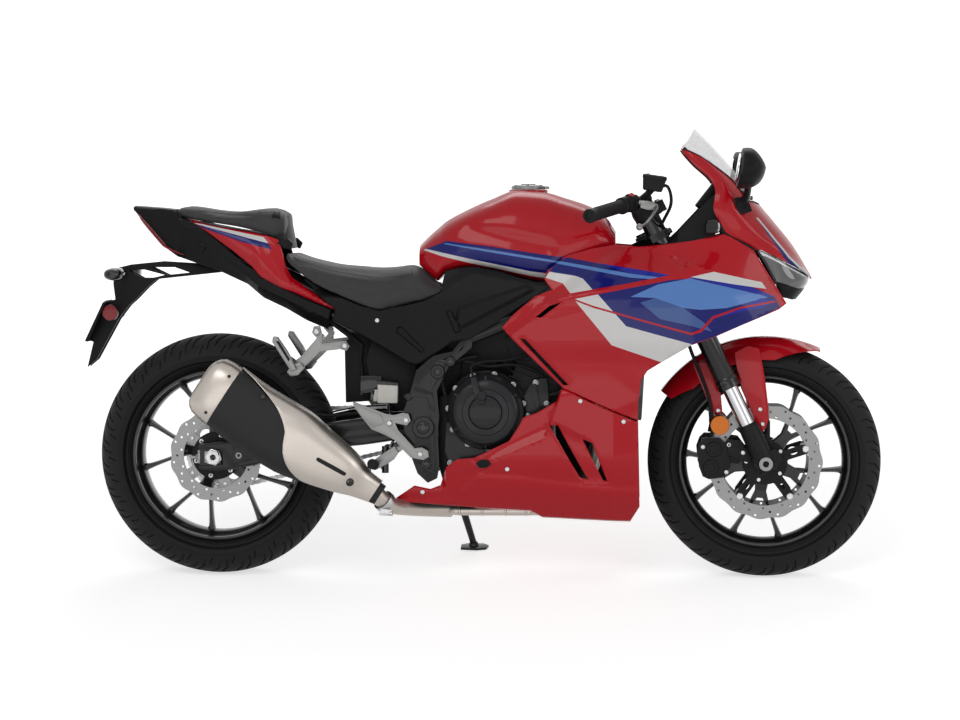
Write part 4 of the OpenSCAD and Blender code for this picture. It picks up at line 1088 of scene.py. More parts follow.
def build_tail():
    """Black lower cowl, red painted sides, lamp strip and the tail tip."""
    tw = curve([(q[0], q[3]) for q in TCOWL])
    tl = curve([(q[0], q[4]) for q in TCOWL])

    def shell_y(x, z):
        top = line([(q[0], q[1]) for q in TCOWL])(x)
        low = line([(q[0], q[2]) for q in TCOWL])(x)
        t = min(1.25, max(0, (top - z) / (top - low)))
        ridge = line([(-804, 0.1), (-698, 0.35), (-586, 0.42), (-414, 0.5)])(x)
        y = tw(x)
        if t > ridge:
            y = lerp(y, tl(x), ((t - ridge) / (1 - ridge)) ** 1.1)
        return y
    side = [(-414, 638), (-469, 661), (-524, 692), (-581, 719), (-623, 754), (-698, 788), (-771, 812),
            (-806, 824), (-838, 846), (-900, 916), (-925, 946), (-925, 952), (-818, 944), (-771, 908),
            (-740, 896), (-698, 866), (-623, 803), (-600, 790), (-586, 772), (-556, 760), (-520, 741),
            (-469, 716), (-420, 697), (-404, 690)]

    def cowl_y(x, z):
        if x > -804:
            return shell_y(x, z)
        k = (-804 - x) / 121
        return lerp(78, 37, k) - max(0, (930 - z)) * 0.12
    creases = [[(-404, 664), (-586, 747), (-698, 833), (-800, 905)]]
    bm = skin(side, cowl_y, 8.0, (), creases, roll=2.5, drop=1.8)
    thicken(bm, 4, 0)
    mirrored(bm)
    under = []
    for x in (-414, -469, -520, -586, -623, -698, -771, -806, -838):
        z = line([(-414, 641), (-469, 664), (-524, 695), (-586, 724), (-623, 757), (-698, 790), (-771, 814),
                  (-806, 826), (-838, 848)])(x)
        w = cowl_y(x, z) - 1.5
        under.append([(x, -w, z + 4), (x, -w * 0.6, z - 1), (x, 0, z - 3), (x, w * 0.6, z - 1),
            (x, w, z + 4), (x, w * 0.6, z + 3), (x, 0, z + 1), (x, -w * 0.6, z + 3)])
    part = bmesh.new()
    ring_faces(part, under)
    rows = []
    for q in ((-812, 928, 944, 70), (-850, 930, 948, 62), (-880, 931, 950, 56), (-907, 934, 952, 47),
              (-924, 943, 953, 37)):
        x, lo, hi, w = q
        rows.append([(x, -w, lo), (x, -w * 0.5, lo - 1), (x, w * 0.5, lo - 1), (x, w, lo), (x, w, hi - 4),
                     (x, w - 7, hi), (x, 0, hi + 2.5), (x, -w + 7, hi), (x, -w, hi - 4)])
    ring_faces(part, rows)
    outward(part)
    merge(bm, part)
    rows = []
    for y in (-102, -94, -70, -30, 30, 70, 94, 102):
        back = 6 + 26 * (abs(y) / 104) ** 3
        rows.append([(x - back, y, z) for x, z in ((-522, 936 - back * 0.4), (-515, 934 - back * 0.4),
            (-510, 900), (-504, 870), (-500, 846), (-512, 844), (-520, 880))])
    loft_bm(bm, rows)
    slab(bm, [(-800, 922), (-700, 901), (-640, 892), (-580, 879), (-536, 868), (-536, 850), (-640, 862),
        (-700, 872), (-790, 900)], -92, 92, bevel=2)
    for s in (1, -1):
        slab(bm, [(-545, 860), (-508, 842), (-501, 858), (-516, 872)], s * 96, s * 113, bevel=2)
    piece(bm, "tail_cowl_shell", "black plastic", "tail_cowl", smooth=24, kept=True)

    pt = line([(q[0], q[1]) for q in TPAN])
    pl = line([(q[0], q[2]) for q in TPAN])
    pw = curve([(q[0], q[3]) for q in TPAN])
    outline = [(-770, 916), (-727, 889), (-660, 842), (-608, 800), (-586, 774), (-556, 758), (-532, 746),
               (-505, 736), (-460, 716), (-420, 699), (-396, 689), (-394, 697), (-420, 711), (-460, 741),
               (-505, 772), (-520, 800), (-530, 840), (-540, 868), (-560, 876), (-586, 882), (-608, 887),
               (-660, 895), (-727, 908), (-764, 919)]

    def panel_y(x, z):
        t = min(1, max(0, (pt(x) - z) / max(4, pt(x) - pl(x))))
        y = pw(x) + 6 * sin(t * pi) - 6 * max(0, 1 - 4 * t)
        y -= fold(x, z, (-590, 830), (-530, 745), 0.25, 5)
        return y
    paint = [([(-764, 912), (-736, 908), (-578, 875), (-564, 858), (-660, 884), (-751, 908)], WHITE),
             ([(-753, 908), (-660, 884), (-565, 859), (-556, 843), (-634, 863), (-740, 900)], NAVY)]

    def panel(side):
        """Painted side of the tail."""
        return thicken(skin(outline, panel_y, 7.0, (), [[(-590, 830), (-530, 745)]], paint, roll=2.4,
            drop=1.8), 3.6, BLACK)
    sides("tail_panel", ("", "tail_panels"), PAINT, panel)
    spots = on_both([(-586, cowl_y(-586, 742) + 0.5, 742)], 1.5) + on_both([(-742, cowl_y(-742, 849) + 1,
        849)], 2.0)
    bolts("tail_knobs", spots, "black plastic", 5.4, 3.0)

    bm = bmesh.new()
    rows = []
    for k, (x, z, w, t) in enumerate(((-806, 836, 58, 10), (-822, 843, 58, 12), (-842, 855, 57, 12),
                                      (-862, 877, 54, 12), (-884, 902, 50, 12), (-902, 921, 46, 9),
                                      (-914, 938, 40, 6))):
        d = Vector((-0.8, 0, -0.6)) * t * 0.45
        c = Vector((x, 0, z)) + d * 0.4
        rows.append([c + Vector((0, -w, 0)) - d, c + Vector((0, -w - 1, 0)),
            c + Vector((0, -w * 0.8, 0)) + d, c + d * 1.25, c + Vector((0, w * 0.8, 0)) + d,
            c + Vector((0, w + 1, 0)), c + Vector((0, w, 0)) - d, c - d])
    ring_faces(bm, rows)
    piece(bm, "tail_lamp", "red lens", "tail_light")
    # edge strip of the lamp that shows from the side
    bm = bmesh.new()
    for s in (1, -1):
        pts = [(-905, s * 49, 923), (-880, s * 55, 895), (-855, s * 60, 866), (-838, s * 63, 850),
               (-815, s * 65, 838), (-790, s * 66, 829)]
        tube(bm, pts, [1.2, 3.2, 3.4, 3.0, 2.4, 1.0], 8, smooth=4)
    piece(bm, "tail_lamp_edges", "red lens")


def build_hanger():
    """Plate bracket arm, reflectors and rear indicators."""
    side = [(-854, 811), (-934, 803), (-980, 792), (-981, 751), (-976, 712), (-1000, 707), (-1048, 606),
            (-1034, 602), (-1050, 536), (-1026, 556), (-968, 661), (-940, 697), (-922, 713), (-892, 744),
            (-867, 765), (-700, 783), (-700, 788), (-770, 806)]
    bm = bmesh.new()
    holes = [[(-846, 776), (-900, 790), (-940, 788), (-905, 768), (-880, 768)],
             [(-838, 776), (-780, 782), (-820, 796), (-880, 796)]]
    for y0, y1 in ((-26, -14), (14, 26)):
        slab(bm, side, y0, y1, holes, bevel=1.6)
    slab(bm, [(-854, 809), (-934, 801), (-978, 790), (-979, 751), (-974, 714), (-964, 716), (-966, 780),
              (-932, 790), (-854, 800)], -15, 15)
    slab(bm, [(-1000, 704), (-1046, 606), (-1034, 604), (-1047, 540), (-1028, 560), (-972, 664)], -15, 15)
    plate = [(-75, -55), (75, -55), (75, 55), (40, 60), (-40, 60), (-75, 55)]
    hol = [[(62 * s + 3.2 * cos(a * pi / 6), 3.2 * sin(a * pi / 6)) for a in range(12)]
           for s in (-1, 1)]
    nrm = Vector((-0.903, 0, 0.429))
    upv = Vector((0.429, 0, 0.903))
    mid = Vector((-1021, 0, 655))
    slab(bm, plate, -3.3, 3.3, hol, bevel=1.0,
         place=lambda x, z, y: tuple(mid + upv * z + Vector((0, x, 0)) + nrm * y))
    tube(bm, [(-984, -58, 679), (-984, 58, 679)], 6, 14)
    piece(bm, "hanger", "black plastic", "plate_hanger", smooth=28)
    bm = bmesh.new()
    for s in (1, -1):
        lathe(bm, [(0, -1), (19.6, -1), (19.8, 3.4), (18.6, 4.6), (0, 5.6)], (-984, s * 59, 679), (0, s, 0),
            40)
    piece(bm, "reflectors_rear", "red lens")
    bm = bmesh.new()
    for s in (1, -1):
        lathe(bm, [(15, -6), (20.4, -6), (21.2, -3), (20.4, 1.6), (19.5, 1.6)], (-984, s * 59, 679),
            (0, s, 0), 40)
    piece(bm, "reflector_bezels", "gloss black")
    bm = bmesh.new()
    lens = bmesh.new()
    for s in (1, -1):
        tube(bm, [(-952, s * 22, 780), (-954, s * 60, 780), (-956, s * 98, 780)], [8, 6.4, 7], 14, smooth=3)
        rows = [[(-956 + w * cos(a) * (1.15 if cos(a) < 0 else 0.9), s * y, 780 + h * spow(sin(a), 0.8))
            for a in turns(24)] for y, w, h in ((92, 13, 9), (100, 20, 14), (112, 24, 17), (130, 25, 17),
            (150, 24, 16.5), (168, 21, 14), (176, 16, 11), (180, 9, 7))]
        ring_faces(bm, rows)
        rows = [[(-957 - w * cos(a), s * y, 780 + h * sin(a)) for a in (pi * (k / 12 - 0.5)
            for k in range(13))] for y, w, h in ((104, 17, 9), (114, 23.5, 12), (130, 24, 12.4),
            (150, 23.4, 12), (166, 20, 10), (173, 15, 7))]
        ring_faces(lens, rows, close=False)
    piece(bm, "indicators_rear", "gloss black", "rear_indicators")
    outward(lens)
    thicken(lens, 1.2)
    piece(lens, "indicator_lenses_rear", "smoke lens")


# ---------------------------------------------------------------- nose
XFN = curve([(1155, 527), (1110, 573), (1060, 617), (1010, 653), (987, 668), (961, 686), (906, 732),
             (853, 774), (800, 806), (765, 823), (737, 806), (715, 788)])
XEN = curve([(1155, 470), (1102, 486), (1063, 517), (1013, 568), (991, 575), (950, 570), (905, 592),
             (886, 604), (845, 676), (765, 726), (715, 748)])
YEN = curve([(1155, 84), (1102, 116), (1050, 130), (990, 140), (950, 145), (897, 140), (850, 124),
             (765, 100), (715, 92)])
N_TOP = line([(0, 955), (0.45, 966), (0.52, 990), (0.58, 1018), (0.68, 1048), (0.8, 1077), (1, 1101)])
N_LOW = line([(0, 768), (0.3, 786), (0.5, 800), (0.68, 814), (0.83, 831), (0.93, 842), (1, 846)])
SCREEN_TOP = curve([(0, 1155), (0.36, 1150), (0.6, 1139), (0.8, 1123), (0.97, 1106)])


def nose_pt(z, u, d=0.0):
    """Point of the nose at a height and a share round from the middle."""
    a = pi / 2 * u
    e, f, y = XEN(z), XFN(z), YEN(z)
    return Vector((e + (f - e) * max(0.0, cos(a)) ** 0.9 - d * cos(radians(70) * u),
                   (y - d * abs(sin(a))) * sin(a), z))


def nose_sheet(us, top, low, rows, t, mi=0, inner=None, relief=None):
    """Curved sheet of the nose between two edge heights."""
    bm = bmesh.new()
    pts = []
    for u in us:
        col = []
        for j in range(rows + 1):
            z = lerp(top(abs(u)), low(abs(u)), j / rows)
            p = nose_pt(z, u, -(relief(u, z) if relief else 0.0))
            col.append(p)
        pts.append(col)
    ring_faces(bm, pts, close=False, mi=mi)
    face_up(bm, 0)
    return bm if t is None else thicken(bm, t, inner)


def spread(a, b, n, extra=()):
    """Even values from a to b plus some exact ones."""
    v = sorted(set([round(lerp(a, b, i / n), 4) for i in range(n + 1)] + list(extra)))
    return v


def build_nose():
    """Nose cowl, lamps, chin and windscreen."""
    def relief(u, z):
        a = abs(u)
        r = 4.5 * exp(-((a - line([(1100, 0.86), (1000, 0.8), (900, 0.72), (840, 0.62), (780, 0.3)])(z))
            * 9) ** 2)
        r += 3.0 * exp(-(a * 9) ** 2)
        r -= 3.0 * max(0.0, 1 - (1 - a) / 0.05)
        return r
    us = spread(-1, 1, 90, (-0.93, -0.83, -0.68, -0.6, -0.45, 0.45, 0.6, 0.68, 0.83, 0.93, 0.0))
    bm = nose_sheet(us, N_TOP, N_LOW, 34, None, RED, relief=relief)
    for s in (1, -1):
        stripe(bm, [(678, 925), (684, 925), (765, 827), (824, 773), (814, 770), (800, 774), (767, 803),
                    (749, 828)], WHITE, side=s)
        stripe(bm, [(681, 922), (762, 822), (806, 781), (824, 768), (800, 768), (767, 801), (747, 827)],
            NAVY, side=s)
    thicken(bm, 4.2, BLACK)
    piece(bm, "nose", PAINT, "nose_cowl", kept=True)
    bm = nose_sheet(spread(-0.96, 0.96, 50), line([(0, 750), (0.45, 744), (0.7, 752), (0.96, 764)]),
                    line([(0, 716), (0.6, 716), (0.96, 722)]), 8, 4.5, 0,
                    relief=lambda u, z: -4 - 0.5 * max(0, z - 742) * 0.6)
    piece(bm, "chin", "black plastic", kept=True)
    lens, strip, dark, shell = bmesh.new(), bmesh.new(), bmesh.new(), bmesh.new()
    for s in (1, -1):
        us = [s * v for v in spread(0.07, 0.97, 30)]
        low_in = line([(0, 750), (0.3, 742), (0.5, 744), (0.68, 749), (0.97, 762)])
        up_in = lambda a: N_LOW(a) - 1.5
        part = nose_sheet(us, lambda a: up_in(a) + 1, low_in, 12, 2.5, 0, relief=lambda u, z: -5)
        merge(lens, part)
        drl = line([(0.3, 11), (0.6, 10), (0.8, 7), (0.97, 3)])
        part = nose_sheet([u for u in us if abs(u) > 0.33], lambda a: up_in(a) - drl(a),
            lambda a: up_in(a) - drl(a) - 4 - 22 * max(0, a - 0.66), 3, 3, 0, relief=lambda u, z: -3.6)
        merge(strip, part)
        part = nose_sheet(us, up_in, lambda a: low_in(a) - 6, 6, 3, 0, relief=lambda u, z: -26)
        merge(dark, part)
        for u0, r in ((0.3, 17), (0.52, 17)):
            c = nose_pt(lerp(up_in(u0), low_in(u0), 0.6), s * u0, 20)
            lathe(shell, [(0, -6), (r, -6), (r, 4), (r - 2, 8), (r - 5, 8), (r - 7, 2), (0, 0)], c,
                  (0.9, 0.42 * s, -0.05), 28)
    piece(lens, "headlamp_glass", "smoke lens", "headlights", kept=True)
    piece(strip, "headlamp_strips", "lamp strip", kept=True)
    piece(dark, "headlamp_backs", "gloss black", kept=True)
    piece(shell, "headlamp_projectors", "smoke lens")
    us = spread(-0.97, 0.97, 60)
    bm = nose_sheet(us, SCREEN_TOP, lambda a: N_TOP(a) - 8, 26, 3.0, 0, relief=lambda u, z: -2.6)
    piece(bm, "screen", "screen", "windscreen", smooth=45, kept=True)
    bm = bmesh.new()
    for s in (1, -1):
        pts = [nose_pt(N_TOP(a) + 3, s * a, -1.0) for a in (0.03, 0.15, 0.3, 0.45, 0.52, 0.58, 0.68, 0.8,
            0.96)]
        tube(bm, pts, 2.0, 8, smooth=3)
    for s in (1, -1):
        tube(bm, [nose_pt(z, s, 5) + Vector((-5, 0, 0)) for z in range(842, 908, 8)], 5.5, 10, smooth=2)
    piece(bm, "screen_edge_rubber", "rubber")
    spots = []
    for s in (1, -1):
        for u, dz in ((0.25, 14), (0.48, 14), (0.95, 4)):
            p = nose_pt(N_TOP(u) + dz, s * u, -0.4)
            q = nose_pt(N_TOP(u) + dz, s * u, 6)
            spots.append((p, p - q, 0.9))
    bolts("screen_screws", spots, "gloss black", 5.2, 2.6)


def build_cockpit():
    """Dash, its stay and the black inner sides with the front indicators."""
    bm = bmesh.new()
    for s in (1, -1):
        rows = []
        for x, top, low in ((452, 864, 858), (480, 890, 860), (510, 922, 862), (540, 954, 866),
                (562, 976, 874), (574, 986, 880), (574, 950, 884), (590, 915, 890), (604, 905, 890)):
            y0 = min(half(x, 862) - 10, 138)
            yt = YEN(top) - 8 - (0 if x > 560 else (562 - x) * 0.05)
            rows.append([(x, s * lerp(y0, min(yt, 132), j / 4), lerp(low, top, j / 4)) for j in range(5)])
        part = bmesh.new()
        ring_faces(part, rows, close=False)
        outward(part)
        thicken(part, 3)
        merge(bm, part)
        top = [(398, 847), (440, 850), (500, 858), (560, 870), (600, 880)]
        rows = []
        for x, z in top:
            w = half(x, z) - 8
            rows.append([(x, s * w, z - 2), (x, s * (w - 20), z - 8), (x, s * (w - 42), z - 30),
                         (x, s * (w - 46), z - 62), (x, s * (w - 50), z - 62), (x, s * (w - 46), z - 28),
                         (x, s * (w - 22), z - 4), (x, s * (w - 2), z + 1)])
        ring_faces(bm, rows)
    piece(bm, "cockpit_sides", "black plastic", smooth=30)
    bm = bmesh.new()
    rot = Matrix.Translation((560, 0, 985)) @ Matrix.Rotation(radians(38), 4, "Y")
    part = bmesh.new()
    slab(part, [(-72, -40), (-64, -45), (64, -45), (72, -40), (72, 34), (60, 43), (-60, 43), (-72, 34)],
        -10, 12, bevel=3, place=across)
    add_moved(bm, part, rot)
    tube(bm, [(560, 0, 975), (600, 0, 935), (640, 0, 900)], 9, 14)
    for s in (1, -1):
        tube(bm, [(570, s * 60, 960), (605, s * 82, 934), (640, s * 104, 905)], 7, 12)
    slab(bm, [(600, 895), (680, 880), (690, 890), (610, 906)], -104, 104, bevel=1)
    piece(bm, "dash_body", "black plastic", "cockpit", smooth=30)
    bm = bmesh.new()
    slab(bm, [(-60, -34), (60, -34), (60, 32), (-60, 32)], -11.5, -9, bevel=0.8, place=across)
    bmesh.ops.transform(bm, matrix=rot, verts=bm.verts)
    piece(bm, "dash_screen", "dash glass")
    bm, lens = bmesh.new(), bmesh.new()
    for s in (1, -1):
        rows = []
        for y, k in ((116, 0.72), (122, 1.0), (146, 1.0), (154, 0.94), (157, 0.8)):
            rows.append([(563 + k * px, s * y, 902 + k * pz) for px, pz in
                         ((-15, -18), (-16, 4), (-10, 17), (12, 20), (18, 16), (20, -4), (12, -18))])
        ring_faces(bm, rows)
        rows = []
        for y, k in ((126, 0.8), (130, 1.0), (146, 1.0), (151, 0.85)):
            rows.append([(583 + px * k, s * y, 902 + k * pz) for px, pz in
                         ((-4, -14), (-2, 12), (1.6, 10), (3.0, 0), (0.6, -12))])
        ring_faces(lens, rows)
    piece(bm, "indicators_front", "gloss black", smooth=25)
    piece(lens, "indicator_lenses_front", "lamp strip", smooth=25)


def build_mirrors():
    """Mirror pods on their stalks."""
    bm, glass = bmesh.new(), bmesh.new()
    for s in (1, -1):
        tube(bm, [(640, s * 131, 962), (648, s * 142, 972), (654, s * 166, 990), (655, s * 196, 1010),
                  (655, s * 232, 1030)], [15, 11, 8.6, 8, 9], 16, smooth=4, flat=1.35)
        rows = []
        for y, w, h, zc in ((206, 8, 14, 1032), (212, 17, 27, 1036), (226, 26, 40, 1041),
                (260, 32, 49, 1046), (300, 34, 51, 1048), (340, 33, 49, 1049), (372, 29, 42, 1051),
                (388, 22, 30, 1053), (396, 12, 17, 1054)):
            ring = []
            for k in range(36):
                a = tau * k / 36
                c, n = cos(a), sin(a)
                z = zc + h * spow(n, 0.85)
                out = 1.55 * w * spow(c, 0.75) * (1 - 0.5 * max(0, n)) if c > 0 else 0.5 * w * spow(c, 0.3)
                ring.append((642 + out + 0.15 * (z - 1049), s * y, z))
            rows.append(ring)
        ring_faces(bm, rows)
        pts = []
        for k in range(40):
            a = tau * k / 40
            pts.append((302 + 78 * spow(cos(a), 0.7), 1049 + 36 * spow(sin(a), 0.75)))
        slab(glass, pts, 624.4, 626.6, bevel=0.6, place=lambda y, z, x: (x + 0.15 * (z - 1049), s * y, z))
        slab(bm, [(612, 952), (640, 932), (668, 942), (658, 968), (634, 978), (618, 972)], s * 123, s * 137,
            bevel=3)
    piece(bm, "mirror_pods", "black plastic", "mirrors", smooth=40)
    piece(glass, "mirror_glass", "mirror glass")


# ---------------------------------------------------------------- seats
PUFF_LIMIT = 0.006  # most that the cloth run may move a seat's skin, in metres


def cushion(name, rows, node, puff=4.0):
    """Soft padded form: a closed shape filled by a short cloth run."""
    bm = bmesh.new()
    ring_faces(bm, rows)
    outward(bm)
    me = as_mesh(bm, name)
    me.transform(PARK)
    me.materials.append(MATS["seat vinyl"])
    ob = bpy.data.objects.new(name, me)
    bpy.context.scene.collection.objects.link(ob)
    rm = ob.modifiers.new("remesh", "REMESH")
    rm.mode = "VOXEL"
    rm.voxel_size = 0.0052
    rm.use_smooth_shade = True
    bake(ob)
    start = [v.co.copy() for v in ob.data.vertices]
    pins = ob.vertex_groups.new(name="base")
    pins.add([v.index for v in ob.data.vertices if v.normal.z < -0.3], 1.0, "REPLACE")
    cl = ob.modifiers.new("cloth", "CLOTH")
    st = cl.settings
    for key, v in dict(quality=5, mass=0.3, tension_stiffness=40, compression_stiffness=40,
            shear_stiffness=12, bending_stiffness=6, use_pressure=True, uniform_pressure_force=puff,
            vertex_group_mass="base").items():
        setattr(st, key, v)
    st.effector_weights.gravity = 0.0
    cl.collision_settings.use_collision = False
    for f in range(1, 21):
        bpy.context.scene.frame_set(f)
    dg = bpy.context.evaluated_depsgraph_get()
    ev = bpy.data.meshes.new_from_object(ob.evaluated_get(dg))
    moved = [v.co.copy() for v in ev.vertices]
    ob.modifiers.remove(cl)
    bpy.context.scene.frame_set(1)
    for v, a, b in zip(ob.data.vertices, start, moved):
        d = b - a
        if d.length > PUFF_LIMIT:
            d = d.normalized() * PUFF_LIMIT
        v.co = a + d
    bpy.data.meshes.remove(ev)
    sub = ob.modifiers.new("sub", "SUBSURF")
    sub.levels = sub.render_levels = 1
    bake(ob)
    ob.data.shade_smooth()
    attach(ob, "chassis")
    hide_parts(node)
    return ob


def bake(ob):
    """Applies every modifier."""
    dg = bpy.context.evaluated_depsgraph_get()
    me = bpy.data.meshes.new_from_object(ob.evaluated_get(dg))
    old = ob.data
    ob.modifiers.clear()
    ob.data = me
    bpy.data.meshes.remove(old)


def seam(name, lines, mat, r=1.1):
    """Raised piping or stitch line laid on a seat."""
    bm = bmesh.new()
    for pts in lines:
        tube(bm, pts, r, 8, smooth=5)
    piece(bm, name, mat, smooth=60)


RSEAT = [(-520, 834, 824, 118), (-507, 829, 810, 130), (-468, 816, 776, 142), (-427, 806, 750, 147),
         (-386, 798, 732, 148), (-326, 793, 707, 146), (-281, 790, 692, 140), (-244, 792, 698, 134),
         (-204, 797, 708, 130), (-186, 795, 712, 130), (-162, 772, 717, 130), (-140, 754, 727, 130),
         (-120, 746, 738, 128)]
PSEAT = [(-806, 930, 950, 62), (-774, 921, 949, 84), (-700, 909, 941, 100), (-645, 900, 936, 108),
         (-574, 881, 943, 112), (-546, 872, 944, 110), (-530, 876, 938, 100)]


def build_seats():
    """Rider's and pillion's seats with their seams."""
    st, se, sw = (curve([(q[0], q[i]) for q in RSEAT]) for i in (1, 2, 3))
    crown = line([(0, 0), (0.3, 0.01), (0.62, 0.07), (0.86, 0.22), (0.97, 0.55), (1, 1)])

    def top_pt(x, u, h):
        """Point of the rider's seat: station, share of its half width, height above the cover."""
        roll = 2.0 * exp(-((abs(u) - 0.8) * 6) ** 2)
        return x, sw(x) * u, lerp(st(x), se(x), crown(abs(u))) + roll + h
    rows = []
    for i in range(49):
        x = lerp(-520, -120, i / 48)
        w, top, edge = sw(x), st(x), se(x)
        us = [-1, -0.985, -0.95, -0.88, -0.78, -0.65, -0.5, -0.34, -0.17, 0, 0.17, 0.34, 0.5, 0.65, 0.78,
            0.88, 0.95, 0.985, 1]
        ring = [top_pt(x, u, 0) for u in us]
        th = 9 if x < -512 or x > -165 else 24
        for u in (1, 0.9, 0.75, 0.4, 0, -0.4, -0.75, -0.9, -1):
            d = line([(0, 0), (0.62, 0.1), (0.86, 0.4), (1, 1)])(abs(u))
            ring.append((x, (w - 9) * u, lerp(top - th, edge + (-3 if abs(u) > 0.95 else -6), d)
                         - (2 if abs(u) < 0.95 else 0)))
        rows.append(ring)
    cushion("rider_cushion", rows, "rider_seat")
    lines = []
    for s in (1, -1):
        lines.append([top_pt(x, s * 0.84, 1.2) for x in range(-500, -180, 20)])
    lines.append([top_pt(-200, u, 1.2) for u in (-0.84, -0.6, -0.3, 0, 0.3, 0.6, 0.84)])
    seam("rider_seams", lines, "stitch", 1.0)
    pb, pt, pw = (curve([(q[0], q[i]) for q in PSEAT]) for i in (1, 2, 3))
    rows = []
    for i in range(45):
        x = lerp(-805, -525, i / 44)
        k = min(1, (x + 806) / 16 + 0.45, (-523 - x) / 12 + 0.5)
        w, lo, hi = pw(x) * (0.75 + 0.25 * k), pb(x), pt(x)
        c, h = (lo + hi) / 2, (hi - lo) / 2
        dip = 3.0 * exp(-((x + 700) / 55) ** 2)
        rows.append([(x, w * spow(cos(a), 0.5), c + h * spow(sin(a), 0.6 if sin(a) > 0 else 0.3)
                      - (dip if sin(a) > 0 else 0)) for a in turns(40, 0.5)])
    cushion("pillion_cushion", rows, "pillion_seat")
    lines = [[(x, s * pw(x) * 0.86, pt(x) - 4.2) for x in range(-790, -530, 20)] for s in (1, -1)]
    lines.append([(-590, pw(-590) * u, pt(-590) + 0.8 - 5 * abs(u) ** 6)
        for u in (-0.9, -0.6, -0.3, 0, 0.3, 0.6, 0.9)])
    seam("pillion_seams", lines, "stitch", 1.0)
    bm = bmesh.new()
    rows = []
    for x, k in ((-556, 0.6), (-553, 2.6), (-539, 2.6), (-536, 0.6)):
        rows.append([(x, pw(x) * spow(cos(a), 0.6), pt(x) - 2 + k - (1 - spow(sin(a), 0.62)) * 26)
                     for a in (pi * (j + 1) / 24 for j in range(23))])
    part = bmesh.new()
    ring_faces(part, rows, close=False)
    outward(part)
    thicken(part, 2)
    merge(bm, part)
    piece(bm, "pillion_strap", "rubber", smooth=50)


# ---------------------------------------------------------------- chassis
def loft_bm(bm, rings, mi=0, bevel=0.0, angle=30):
    """Closed loft added to a mesh, with softened edges."""
    part = bmesh.new()
    ring_faces(part, rings, mi=mi)
    outward(part)
    if bevel:
        bmesh.ops.dissolve_limit(part, angle_limit=0.02, verts=part.verts, edges=part.edges)
        soften(part, bevel, angle)
    merge(bm, part)


def circle(x, z, r, n=20, a0=0.0):
    """Round outline in the side view."""
    return [(x + r * cos(a0 + tau * k / n), z + r * sin(a0 + tau * k / n))
            for k in range(n)]


